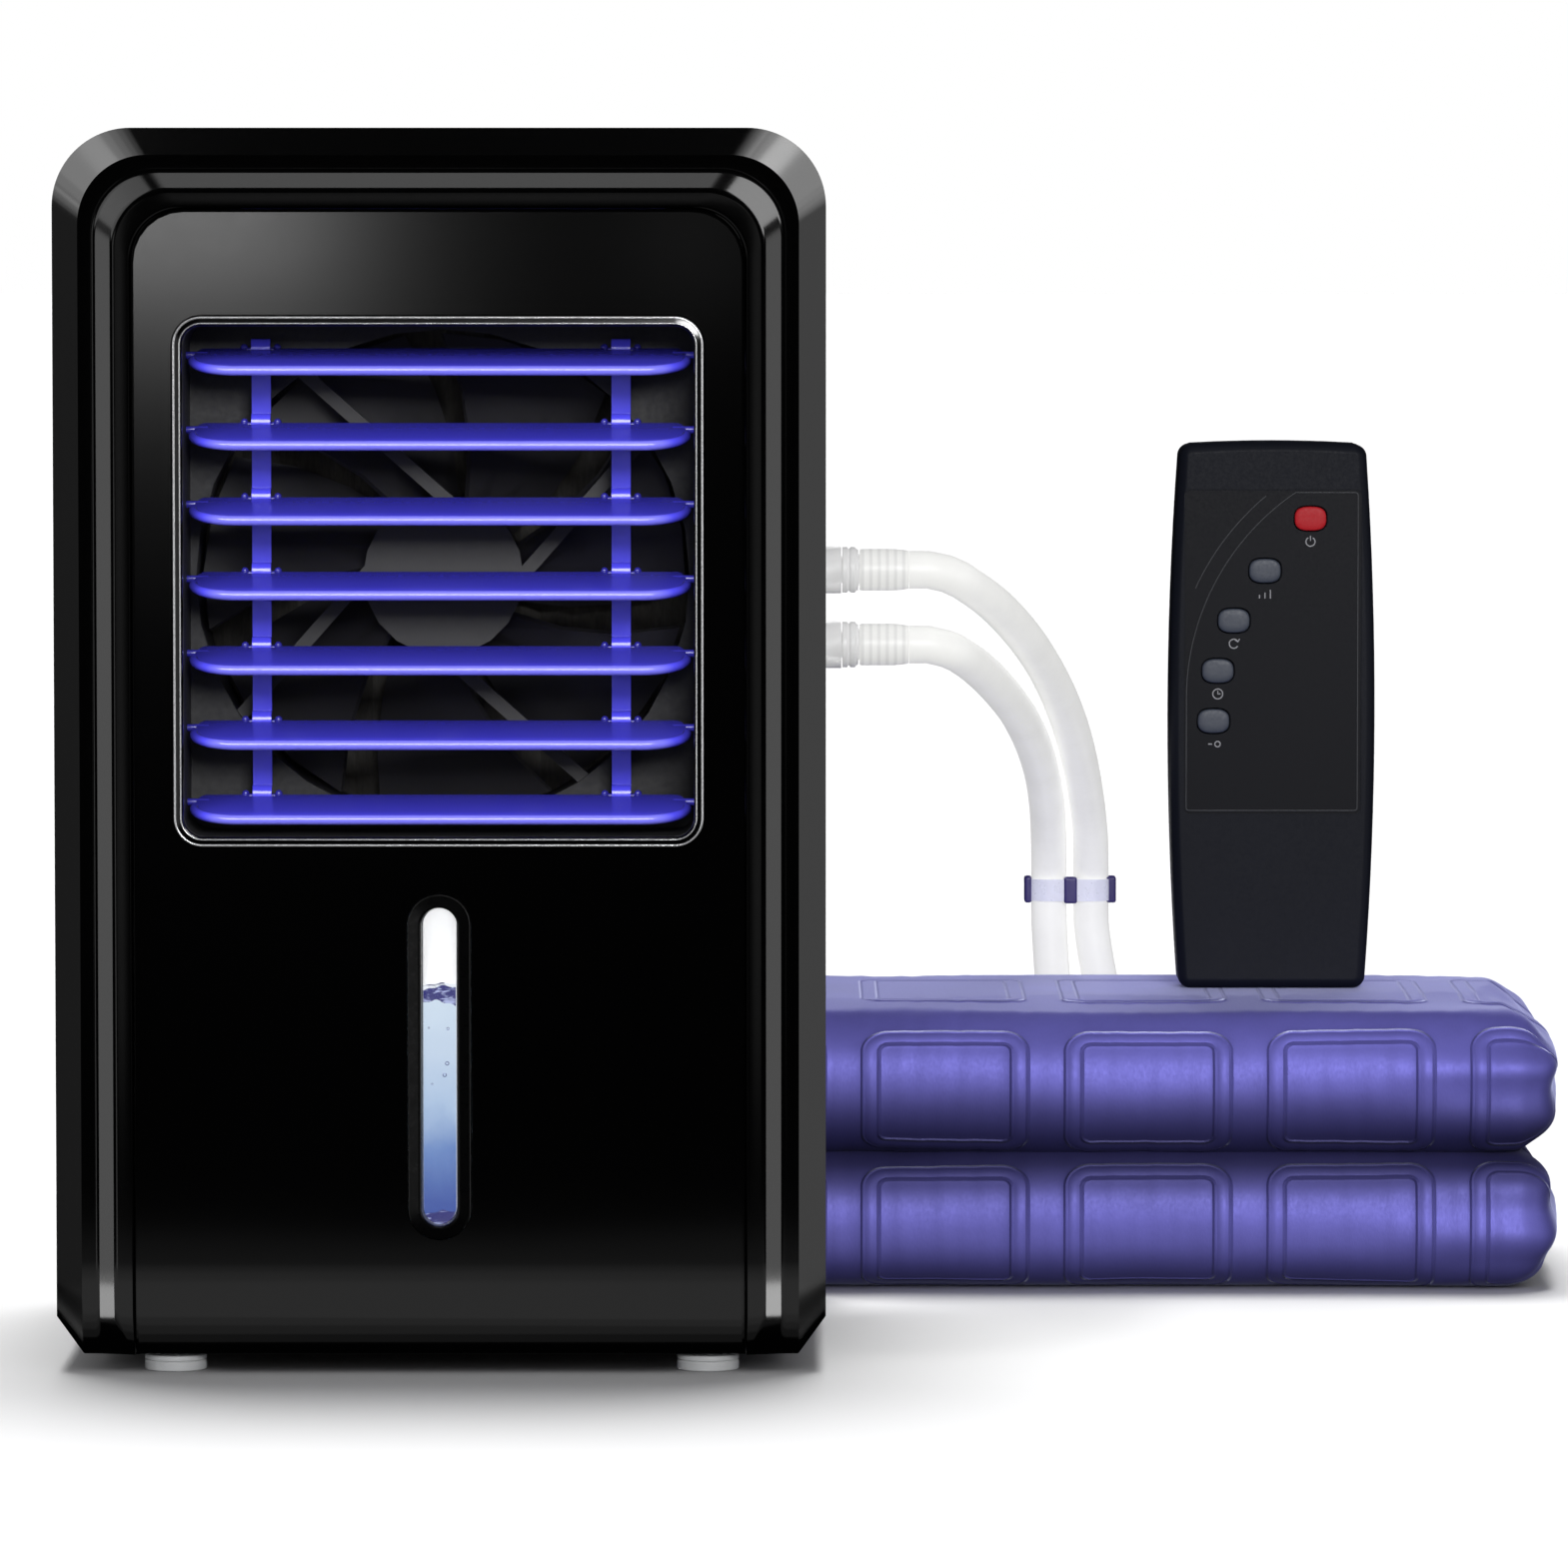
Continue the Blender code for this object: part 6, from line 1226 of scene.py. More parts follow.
def make_clip():
    """The double clip: a clear band round both hoses, with three blue tabs on it."""
    reach = HOSE_DIAMETER / 2 + 0.0001
    right_x = CLIP_X + HOSE_GAP_X
    outer = arc((right_x, CLIP_Y), reach + CLIP_WALL, -90, 90, 24)
    outer += arc((CLIP_X, CLIP_Y), reach + CLIP_WALL, 90, 270, 24)
    holes = [arc((x, CLIP_Y), reach, 0, 360, 40)[:-1] for x in (CLIP_X, right_x)]
    low, high = CLIP_Z - CLIP_HEIGHT / 2, CLIP_Z + CLIP_HEIGHT / 2
    bands = flat([outer, *holes], "top", low + 0.0006, high - 0.0006)
    round_edges(bands, 0.0002, 2, 60)
    settle(bands, "double_clip", "base", finishes["band"], ["hose_clip"])
    front, side = CLIP_Y - reach - 0.0012, reach + 0.0002
    tabs = (
        ((CLIP_X - side - 0.0016, CLIP_Y - 0.0030), (CLIP_X - side + 0.0004, CLIP_Y + 0.0030)),
        ((CLIP_X + HOSE_GAP_X / 2 - 0.0018, front),
         (CLIP_X + HOSE_GAP_X / 2 + 0.0018, CLIP_Y - reach + 0.0030)),
        ((right_x + side - 0.0010, CLIP_Y - 0.0030), (right_x + side + 0.0016, CLIP_Y + 0.0030)),
    )
    pieces = [
        block((*start, low), (*end, high), 0.0006) for start, end in tabs
    ]
    settle(join_pieces(*pieces), "clip_tabs", "base", finishes["tab"])


def frame_line(inset, setback, rolls):
    """One line of the front frame, from its left foot over the top to its right foot."""
    side = HALF_WIDTH - inset
    radius = TOP_RADIUS - (TOP_RADIUS - PANEL_RADIUS) * inset / PANEL_INSET
    bottom = FOOT_HEIGHT + CORNER_CUT_HEIGHT * max(0, 1 - inset / CORNER_CUT_WIDTH)
    top = FOOT_HEIGHT + ROLL_HEIGHT
    rise = (inset - BAND_START) / (BAND_CREST - BAND_START)
    fall = (BAND_END - inset) / (BAND_END - BAND_CREST)
    closing = CLOSING * max(0, min(rise, fall))
    points = []
    steps = 14
    for index in range(steps + 1):
        height = bottom + (top - bottom) * (index / steps) ** 1.6
        close = max(0, 1 - (height - FOOT_HEIGHT) / CLOSING_HEIGHT) * closing
        points.append((close - side, height))
    points += arc((radius - side, TOWER_HEIGHT - inset - radius), radius, 180, 90, 24)
    points += [(-x, z) for x, z in reversed(points)]
    return [at(x, setback + roll(z) * rolls, z) for x, z in points]


class CoolingFrame(bpy.types.Operator):
    """Model the stepped, polished frame round the tower's front"""

    bl_idname = "cooling.front_frame"
    bl_label = "Front frame"

    def execute(self, context):
        front = fillet(FRAME_FRONT, context.scene.cooling_tower.frame_edge, 3)
        section = front + [Vector(point) for point in FRAME_BACK]
        lines = [frame_line(*point) for point in section]
        piece = loft([list(station) for station in zip(*lines)], caps=True)
        settle(piece, "frame_of_front", "base", finishes["housing"],
               ["front_frame"], 30)
        dark = [piece] + [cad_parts[name] for name in ("front_panel", "housing_shell")]
        group_for("without_front_light", *dark)
        group_for("frame_shine_receivers", piece, dark[1])
        group_for("panel_glow_receivers", dark[1])
        return {"FINISHED"}


def band(outline, profile):
    """A closed band: one outline for each (inset, depth) point of its section."""
    rows = [[at(x, depth, z) for x, z in outline(inset)] for inset, depth in profile]
    return loft(rows, closed_loop=True)


class CoolingGrille(bpy.types.Operator):
    """Model the grille's rim with its beads painted bright as highlights, the slats and what is
    behind them
    """

    bl_idname = "cooling.grille"
    bl_label = "Air grille"

    def execute(self, context):
        def outline(inset):
            return rounded_box(
                GRILLE_HALF - inset, GRILLE_HALF - inset, GRILLE_RADIUS - inset, (0, GRILLE_Z), 16
            )

        section = fillet(
            [(0.0, 0.0024), (0.0, -0.0006), (RIM_WIDTH, -0.0010), (RIM_WIDTH, 0.0024)],
            0.0005, 4, closed=True,
        )
        rim = band(outline, section)
        settle(rim, "grille_rim", "base", finishes["housing"], ["grille_trim"], 30)
        beads = []
        for inset, depth, radius in RIM_BEADS:
            ring = [at(x, depth, z) for x, z in outline(inset)]
            beads.append(tube_mesh(ring, radius, 2, cyclic=True))
        beads = join_pieces(*beads)
        settle(beads, "grille_rim_beads", "base", finishes["bead"], (), 60)
        make_slats()
        make_link_bars()
        dress("louver_cassette", "inside")
        dress("fan_frame", "fan")
        dress("fan_rotor", "fan", 50)
        dress("evaporative_pad", "wick")
        return {"FINISHED"}


def slat_edge():
    """The front edge of a slat with its round ends, from left to right."""
    radii = (SLAT_END_LENGTH, SLAT_END_DEPTH)
    end_x, end_y = SLAT_HALF_LENGTH - SLAT_END_LENGTH, SLAT_END_DEPTH - SLAT_FRONT
    return arc((-end_x, end_y), radii, 180, 270, 16) + arc((end_x, end_y), radii, -90, 0, 16)


def slat_outline():
    """A slat seen from above, with its pivot axis on y = 0 and its front towards -y."""
    turn_x, turn_y = SLAT_HALF_LENGTH - SLAT_TURN_LENGTH, SLAT_END_DEPTH - SLAT_FRONT
    radii = (SLAT_TURN_LENGTH, SLAT_REAR - turn_y)
    rear = arc((turn_x, turn_y), radii, 0, 90, 10)[1:]
    for bar_x in (LINK_BAR_X, -LINK_BAR_X):
        steps = ((0.00495, 0.0035), (0.00495, 0.0054), (0.00315, 0.0054), (0.00315, 0.0024))
        rear += [(bar_x + side, depth) for side, depth in steps]
        rear += [(bar_x - side, depth) for side, depth in reversed(steps)]
    rear += arc((-turn_x, turn_y), radii, 90, 180, 10)[:-1]
    return slat_edge() + rear


def make_slats():
    """Seven alike slats, each a thin plate with a round bead along its front."""
    plate = flat([slat_outline()], "top", -SLAT_HALF_THICKNESS, SLAT_HALF_THICKNESS)
    plate.data.transform(Matrix.Translation(-at(0, 0, 0)))
    round_edges(plate, 0.00025, 2, 60)
    bead = tube_mesh([(x, y, 0) for x, y in slat_edge()], BEAD_RADIUS, 4)
    rods = []
    nubs = []
    for side in (-1, 1):
        bar_x = side * LINK_BAR_X
        rods.append(rod((side * PIVOT_START, 0, 0), (side * PIVOT_END, 0, 0), PIVOT_RADIUS))
        rods.append(rod(
            (bar_x - LINK_PIN_HALF, LINK_REACH, 0), (bar_x + LINK_PIN_HALF, LINK_REACH, 0),
            LINK_PIN_RADIUS,
        ))
        for x in (bar_x - LINK_NUB_REACH, bar_x + LINK_NUB_REACH):
            deselect()
            bpy.ops.mesh.primitive_uv_sphere_add(
                segments=20, ring_count=12, radius=LINK_NUB_RADIUS,
                location=(x, LINK_REACH, LINK_PIN_RADIUS),
            )
            nubs.append(added_piece())
    slat = join_pieces(plate, bead, *rods, *nubs)
    for number, height in enumerate(SLAT_HEIGHTS, 1):
        copy = slat.copy()
        copy.data = slat.data.copy()
        bpy.context.scene.collection.objects.link(copy)
        turn = Matrix.Rotation(math.radians(SLAT_TILT), 4, "X")
        copy.data.transform(Matrix.Translation(at(0, SLAT_PIVOT_Y, height)) @ turn)
        settle(copy, f"slat_{number}_plate", f"slat_{number}", finishes["louver"],
               [f"louver_{number}"])
        group_for("slat_light_receivers", copy)
        group_for("without_front_light", copy)
    bpy.data.objects.remove(slat)


def make_link_bars():
    """Two strips that hook round the link pins of all the slats."""
    tilt = math.radians(SLAT_TILT)
    depth = SLAT_PIVOT_Y + LINK_REACH * math.cos(tilt)
    rise = LINK_REACH * math.sin(tilt)
    heights = [height + rise for height in SLAT_HEIGHTS]
    inner, outer, face, back = 0.0009, 0.0018, 0.0008, 0.0023
    low = heights[-1] - 0.0024
    points = [(depth + back, low), (depth + back, heights[0] + 0.0014)]
    for height in heights:
        points += arc((depth, height), (outer, LINK_HOOK_HEIGHT), 52, 235, 16)
        points += arc((depth, height), inner, 235, 40, 12)
        if height != heights[-1]:
            points.append((depth + face, height - 0.0030))
    points.append((depth + face, low))
    for side, name in ((-1, "left"), (1, "right")):
        bar_x = side * LINK_BAR_X
        edges = (bar_x - LINK_BAR_HALF_WIDTH, bar_x + LINK_BAR_HALF_WIDTH)
        rows = [[at(x, y, z) for y, z in points] for x in edges]
        bar = loft(rows, caps=True)
        round_edges(bar, 0.00022, 2, 50)
        settle(bar, f"{name}_link_strip", f"bar_{name}", finishes["strip"],
               [f"link_bar_{name}"])
        group_for("slat_light_receivers", bar)
        group_for("without_front_light", bar)


class CoolingHousing(bpy.types.Operator):
    """Finish the housing, the front panel, the back with its slots, and the feet"""

    bl_idname = "cooling.housing"
    bl_label = "Housing"

    def execute(self, context):
        dress("housing_shell", "side")
        dress("front_panel", "panel")
        dress("rear_cover", "cover")
        dress("power_inlet", "cover")
        for index in range(1, 5):
            dress(f"rear_screw_{index}", "steel")
        for which in ("upper", "lower"):
            dress(f"port_{which}", "clear")
        dress("water_tank", "tank")
        dress("circulation_pump", "cover")
        dress("fill_chute", "inside")
        dress("control_board", "board")
        dress("fill_lid_pin", "steel")
        places = [(x, y) for y in FOOT_DEPTHS for x in (-FOOT_X, FOOT_X)]
        for index, (x, y) in enumerate(places, 1):
            make_foot(index, x, y)
        return {"FINISHED"}


def make_foot(index, x, y):
    """A milky foot: a low disc with a rounded rim and a shallow groove."""
    profile = [
        (0, 0.0038), (0.0075, 0.0038), (0.0075, 0.0026), (0.0072, 0.0024), (0.0075, 0.0022),
        (0.0075, 0), (0.0052, 0), (0.0048, 0.0003), (0, 0.0003),
    ]
    rounded = fillet(profile, 0.0005, 3)
    piece = turned(rounded, (x, y, 0), steps=40)
    settle(piece, f"milky_foot_{index}", "base", finishes["foot"],
           [f"foot_{index}"])


class CoolingWindow(bpy.types.Operator):
    """Model the level window: its bezel, its clear lens and the water behind it"""

    bl_idname = "cooling.window"
    bl_label = "Level window"

    def execute(self, context):
        def outline(inset):
            half_width, half_height = WINDOW_HALF_WIDTH - inset, WINDOW_HALF_HEIGHT - inset
            return stadium(half_width, half_height, (0, WINDOW_Z), 28)

        section = fillet(
            [(0.0, 0.0052), (0.0, -0.0004), (0.0027, -0.0010), (BEZEL_WIDTH, -0.0006),
             (BEZEL_WIDTH, 0.0052)], 0.0003, 3, closed=True,
        )
        bezel = band(outline, section)
        settle(bezel, "window_surround", "base", finishes["bezel"],
               ["window_bezel"], 30)
        group_for("without_front_light", bezel)
        lens = flat([outline(BEZEL_WIDTH + 0.0003)], "front", 0.0010, 0.0016)
        round_edges(lens, 0.0002, 2, 60)
        settle(lens, "window_glass", "base", finishes["lens"], ["window_lens"])
        group_for("without_front_light", lens)
        back = flat([outline(BEZEL_WIDTH + 0.0003)], "front", 0.0044, 0.0052)
        settle(back, "window_white_back", "base", finishes["white"])
        make_window_water(outline(BEZEL_WIDTH + 0.0004))
        return {"FINISHED"}


def wave_height(x, base, swell_height):
    """The water's top at a place across the window."""
    return base + swell_height * (math.sin(x * 620 + 0.9) + 0.4 * math.sin(x * 1900 + 0.3))


# The window's water: name, finish, front and rear side, top, height of its swell, and depth
WATER_LAYERS = (
    ("window_water", "water", 0.0026, 0.0042, WATER_LEVEL_Z - 0.0024, 0.0004, None),
    ("window_wave_front", "deep_water", 0.0020, 0.0024, WATER_LEVEL_Z, 0.0005, 0.0036),
    ("window_wave_back", "pale_water", 0.0024, 0.0026, WATER_LEVEL_Z + 0.0009, 0.0003, 0.0030),
    ("window_floor_water", "deep_water", 0.0020, 0.0024, 0.0392, 0.0005, 0.02),
)

# Its bubbles: place across, height and radius
BUBBLES = (
    (0.0020, 0.0836, 0.0003), (0.0018, 0.0752, 0.0004), (0.0012, 0.0724, 0.0004),
    (-0.0026, 0.0838, 0.0002), (-0.0018, 0.0702, 0.0002),
)
ABOVE_WATER_Z = 0.1300
BELOW_WATER_Z = 0.0200


def make_window_water(outline):
    """The water behind the glass, with two wavy layers at its top, one below, and bubbles."""
    across = [WINDOW_HALF_WIDTH * (index / 12 - 1) for index in range(25)]
    for name, finish, front, rear, top, swell_height, depth in WATER_LAYERS:
        water = flat([outline], "front", front, rear)
        wave = [(x, wave_height(x, top, swell_height)) for x in across]
        over = wave + [(across[-1], ABOVE_WATER_Z), (across[0], ABOVE_WATER_Z)]
        cut_out(water, flat([over], "front", front - 0.0004, rear + 0.0004))
        if depth:
            lower = [(x, wave_height(-x, top - depth, swell_height * 1.2)) for x in across]
            under = lower + [(across[-1], BELOW_WATER_Z), (across[0], BELOW_WATER_Z)]
            cut_out(water, flat([under], "front", front - 0.0004, rear + 0.0004))
        settle(water, name, "base", finishes[finish])
    bubbles = []
    for x, z, radius in BUBBLES:
        deselect()
        bpy.ops.mesh.primitive_torus_add(
            major_segments=24, minor_segments=10, major_radius=radius, minor_radius=radius / 4,
            location=at(x, 0.0024, z), rotation=(math.radians(90), 0, 0),
        )
        bubbles.append(added_piece())
    bubbles = join_pieces(*bubbles)
    settle(bubbles, "window_bubbles", "base", finishes["deep_water"], (), 60)


class CoolingTop(bpy.types.Operator):
    """Finish the top: the controls with their buttons, and the fill lid"""

    bl_idname = "cooling.top"
    bl_label = "Top controls"

    def execute(self, context):
        dress("control_panel", "cover")
        dress("fill_lid", "side")
        for index in range(4):
            x = 0.018 * (index - 1.5)
            profile = [
                (0, 0.2993), (0.0036, 0.2993), (0.0046, 0.2997), (0.0055, 0.2997),
                (0.0055, 0.2952), (0.0066, 0.2952), (0.0066, 0.2942), (0, 0.2942),
            ]
            button = turned(fillet(profile, 0.0004, 3), (x, 0.048, 0), steps=40)
            settle(button, f"round_button_{index + 1}", f"top_button_{index + 1}",
                   finishes["cover"], [f"panel_button_{index + 1}"])
        return {"FINISHED"}


def is_lower(low):
    """Whether a layer that starts at a height is the lower one."""
    return low == PAD_LAYERS[0][0]


def pad_rows(low, high):
    """One layer's skin: rows round its middle line, closing towards both its ends."""
    half = (high - low) / 2
    front, back = PAD_FRONT_Y + PAD_NOSE, PAD_BACK_Y - PAD_NOSE
    flat_count = round((back - front) / PAD_STEP)
    around = []
    for side, start, way in ((1, back, 1), (-1, front, -1)):
        for index in range(PAD_NOSE_STEPS + 1):
            angle = math.radians(90 - 180 * index / PAD_NOSE_STEPS)
            across, up = math.cos(angle), math.sin(angle)
            fullness = 0.55 if is_lower(low) and side * up < 0 else 0.9
            around.append((start, way * across, side * math.copysign(abs(up) ** fullness, up)))
        for index in range(1, flat_count):
            share = index / flat_count
            place = start + (front - back) * side * share
            around.append((place, 0, -side))
    stations = []
    for index in range(PAD_END_STEPS):
        angle = math.radians(90 * index / PAD_END_STEPS)
        stations.append((PAD_END_LENGTH * (1 - math.cos(angle)), math.sin(angle) ** 0.7))
    full = PAD_RIGHT - PAD_LEFT - 2 * PAD_END_LENGTH
    inner = round(full / PAD_STEP)
    middle = [
        (PAD_LEFT + PAD_END_LENGTH + full * index / inner, 1) for index in range(inner + 1)
    ]
    left = [(PAD_LEFT + inset, size) for inset, size in stations]
    right = [(PAD_RIGHT - inset, size) for inset, size in reversed(stations)]
    rows = []
    for x, size in left + middle + right:
        rows.append([
            at(x, y + out_y * PAD_NOSE * size, low + half * (1 + out_z * size))
            for y, out_y, out_z in around
        ])
    return rows


def soft_waves(places):
    """Small folds of the fabric: how far each place moves along its normal."""
    # Rates are in radians a metre, heights in metres
    x, y, z = places.T
    folds = 0.00006 * np.sin(x * 640 + 3.0 * np.sin(z * 60 + x * 25))
    folds += 0.00004 * np.sin(x * 1130 + 2.0 * np.sin(z * 45))
    slow = 0.00040 * np.sin(x * 46 + 1.0) * np.sin(z * 90 + x * 12 + y * 30)
    near_end = np.clip(1 - (PAD_RIGHT - MIDDLE_X - x) / 0.05, 0, 1)
    ends = 0.0009 * near_end * np.sin(z * 420 + 1.3 * np.sin(y * 90) + 0.8)
    return folds + slow + ends


class CoolingPad(bpy.types.Operator):
    """Model the folded water pad: swelled by simulation, then welded with its channels"""

    bl_idname = "cooling.pad"
    bl_label = "Folded pad"

    def execute(self, context):
        settings = context.scene.cooling_pad
        layers = []
        for low, high in PAD_LAYERS:
            layer = loft(pad_rows(low, high))
            tidy(layer, 0.00005)
            swell(layer, settings.swelling, low, high)
            apply_step(layer, "SUBSURF", levels=2, render_levels=2)
            weld_channels(layer, low, high, settings.channel_height)
            layers.append(layer)
        pad = join_pieces(*layers)
        settle(pad, "folded_pad", "base", finishes["fabric"], ["cooling_pad"], 0)
        take_up(pad)
        bpy.ops.object.shade_smooth()
        for index in (1, 2):
            dress(f"pad_port_{index}", "port")
        return {"FINISHED"}


def coordinates(mesh, name="co"):
    """All the vertices' places, or their normals, as rows of three."""
    values = np.empty(len(mesh.vertices) * 3)
    source = mesh.vertices if name == "co" else mesh.vertex_normals
    source.foreach_get(name, values)
    return values.reshape(-1, 3)


def swell(piece, pressure, low, high):
    """Fill one layer by a short cloth simulation, and keep each point near its start."""
    start = coordinates(piece.data)
    cloth = piece.modifiers.new("cloth", "CLOTH")
    settings = cloth.settings
    settings.use_pressure = True
    settings.uniform_pressure_force = pressure
    settings.effector_weights.gravity = 0
    settings.quality = 5
    settings.mass = 0.3
    settings.tension_stiffness = settings.compression_stiffness = 15
    settings.shear_stiffness = 5
    settings.bending_stiffness = 0.5
    cloth.point_cache.frame_start, cloth.point_cache.frame_end = 1, SWELL_FRAMES
    scene = bpy.context.scene
    for number in range(1, SWELL_FRAMES + 1):
        scene.frame_set(number)
    take_up(piece)
    bpy.ops.object.modifier_apply(modifier=cloth.name)
    scene.frame_set(1)
    shift = coordinates(piece.data) - start
    length = np.linalg.norm(shift, axis=1, keepdims=True)
    shift *= np.minimum(1, SWELL_LIMIT / np.maximum(length, SWELL_LIMIT / 1000))
    placed = start + shift
    placed[:, 2] = np.clip(placed[:, 2], low - 0.0004, high + 0.0007)
    piece.data.vertices.foreach_set("co", placed.ravel())
    piece.data.update()


def box_distance(across, along, half_width, half_length, radius):
    """Distance from the outline of a box with round corners, negative inside it."""
    side = np.abs(across) - half_width + radius
    end = np.abs(along) - half_length + radius
    outside = np.hypot(np.maximum(side, 0), np.maximum(end, 0))
    return outside + np.minimum(np.maximum(side, end), 0) - radius


def weld_channels(layer, low, high, height):
    """Raise the channels of one layer and keep their distance for the fabric's fine lines."""
    mesh = layer.data
    places, normals = coordinates(mesh), coordinates(mesh, "vector")
    x, y, z = places[:, 0] + MIDDLE_X, places[:, 1] + MIDDLE_Y, places[:, 2]
    across = (x - CHANNEL_FIRST_X + CHANNEL_PITCH / 2) % CHANNEL_PITCH - CHANNEL_PITCH / 2
    middle = (low + high) / 2
    half = (high - low) / 2
    centre_y = (PAD_FRONT_Y + PAD_BACK_Y) / 2
    flat_half = centre_y - PAD_FRONT_Y - PAD_NOSE
    beyond = np.abs(y - centre_y) - flat_half
    round_radius = (half + PAD_NOSE) / 2
    angle = np.arctan2((z - middle) / half, np.maximum(beyond, 1e-6) / PAD_NOSE)
    around = np.where(
        beyond > 0, angle * round_radius,
        np.copysign(round_radius * math.pi / 2 - np.minimum(beyond, 0), z - middle),
    )
    nose = box_distance(
        across, around + NOSE_CHANNEL_DROP, CHANNEL_HALF_WIDTH, NOSE_CHANNEL_HALF, CHANNEL_CORNER
    )
    top = box_distance(
        across, y - TOP_CHANNEL_MIDDLE, CHANNEL_HALF_WIDTH, TOP_CHANNEL_HALF, CHANNEL_CORNER
    )
    distance = np.where((beyond < 0.0005) & (z > middle), np.minimum(nose, top), nose)
    band = np.clip(1 - np.abs(distance) / (CHANNEL_HALF_BAND * 1.5), 0, 1)
    lift = height * band ** 2 * (3 - 2 * band)
    # The channels fade out at both ends and where the pad lies on the floor
    near = np.minimum(x - PAD_LEFT, PAD_RIGHT - x)
    lift *= np.clip((near - 0.002) / 0.008, 0, 1)
    lift *= np.clip((z - PAD_LYING_HEIGHT) / 0.004, 0, 1)
    lift += soft_waves(places) * np.clip((z - PAD_LYING_HEIGHT) / 0.006, 0, 1)
    placed = places + normals * lift[:, None]
    if not is_lower(low):
        slope = np.clip((PAD_FRONT_Y + PAD_DROOP_LENGTH - y) / PAD_DROOP_LENGTH, 0, 1)
        placed[:, 2] -= PAD_DROOP * slope ** 1.5 * np.clip((z - middle) / half, 0, 1)
    placed[:, 2] = np.clip(placed[:, 2], PAD_LOWEST, PAD_HIGHEST)
    mesh.vertices.foreach_set("co", placed.ravel())
    seam = mesh.attributes.new("seam", "FLOAT", "POINT")
    seam.data.foreach_set("value", distance.astype(np.float32))
    # Painted shade, kept on the points: how clear the colour stays along each layer's height
    stops = PAD_SHADES["lower" if is_lower(low) else "upper"]
    shade = np.interp((z - low) / (high - low), *zip(*stops))
    painted_shade = mesh.attributes.new("shade", "FLOAT", "POINT")
    painted_shade.data.foreach_set("value", shade.astype(np.float32))
    mesh.update()


def remote_outline(inset=0.0):
    """The remote from the front, with its sides bowed out and its corners round."""
    radius = max(REMOTE_CORNER - inset, 0.0004)
    corner_z = REMOTE_HALF_HEIGHT - inset - radius
    corner_x = REMOTE_END_HALF_WIDTH - inset - radius
    bow = REMOTE_MIDDLE_HALF_WIDTH - REMOTE_END_HALF_WIDTH
    right = []
    for index in range(17):
        share = (index / 8 - 1) * 0.985
        right.append((REMOTE_END_HALF_WIDTH - inset + bow * (1 - share ** 2), corner_z * share))
    right += arc((corner_x, corner_z), radius, 8, 90, 8)
    left = [(-x, z) for x, z in reversed(right)]
    crest = REMOTE_END_HALF_WIDTH - inset
    arch = [(x, z + REMOTE_ARCH * (1 - (x / crest) ** 2)) for x, z in right[-1:] + left[:1]]
    right[-1], left[0] = arch
    crown = [crest * (0.6 - index * 0.2) for index in range(7)]
    right += [
        (x, REMOTE_HALF_HEIGHT - inset + REMOTE_ARCH * (1 - (x / crest) ** 2)) for x in crown
    ]
    below = arc((-corner_x, -corner_z), radius, 180, 270, 8)
    below += arc((corner_x, -corner_z), radius, 270, 352, 8)
    return [(x + REMOTE_X, z + REMOTE_Z) for x, z in right + left + below]


def shell_of_remote(profile):
    """A remote shell lofted through outlines at (inset, depth) points."""
    rows = [[at(x, depth, z) for x, z in remote_outline(inset)] for inset, depth in profile]
    return loft(rows, caps=True)


def face_outline(inset=0.0):
    """The keys' field: straight at its right and foot, an arc sweeping down its left."""
    right, top, foot = FIELD_RIGHT - inset, FIELD_TOP - inset, FIELD_FOOT + inset
    sweep = arc(SWEEP_MIDDLE, SWEEP_RADIUS - inset, 123, 180, 32)
    sweep = [(x, z) for x, z in sweep if z < top]
    rise = (top - SWEEP_MIDDLE[1]) / (SWEEP_RADIUS - inset)
    start = SWEEP_MIDDLE[0] - (SWEEP_RADIUS - inset) * math.sqrt(1 - rise ** 2)
    shape = [(start, top), *sweep, (sweep[-1][0], foot), (right, foot), (right, top)]
    rounded = fillet([(x, z, 0) for x, z in shape], 0.0008, 3, closed=True)
    return [(point[0] + REMOTE_X, point[1] + REMOTE_Z) for point in rounded]


# A plain mark under each key, as strokes: power, strength, turning, time, and a bar with a dot
KEY_MARKS = (
    (arc((0, 0), 0.0010, 120, 420, 20), [(0, 0.0002), (0, 0.0013)]),
    ([(-0.0012, -0.0010), (-0.0012, -0.0002)], [(0, -0.0010), (0, 0.0003)],
     [(0.0012, -0.0010), (0.0012, 0.0009)]),
    (arc((0, 0), 0.0010, 30, 330, 20), [(0.0013, 0.0011), (0.0009, 0.0004), (0.0003, 0.0008)]),
    (arc((0, 0), 0.0011, 0, 360, 24), [(0, 0.0007), (0, 0), (0.0006, 0)]),
    ([(-0.0012, 0), (-0.0003, 0)], arc((0.0009, 0), 0.0006, 0, 360, 16)),
)


def key_outline(place, wider=0.0):
    """A key from the front, or its hole that is a little wider: an oval with fuller sides."""
    steps = 40
    points = []
    for index in range(steps):
        angle = 2 * math.pi * index / steps
        across, up = (
            math.copysign(abs(part) ** KEY_FULLNESS, part)
            for part in (math.cos(angle), math.sin(angle))
        )
        points.append((
            REMOTE_X + place[0] + (KEY_HALF_WIDTH + wider) * across,
            REMOTE_Z + place[1] + (KEY_HALF_HEIGHT + wider) * up,
        ))
    return points


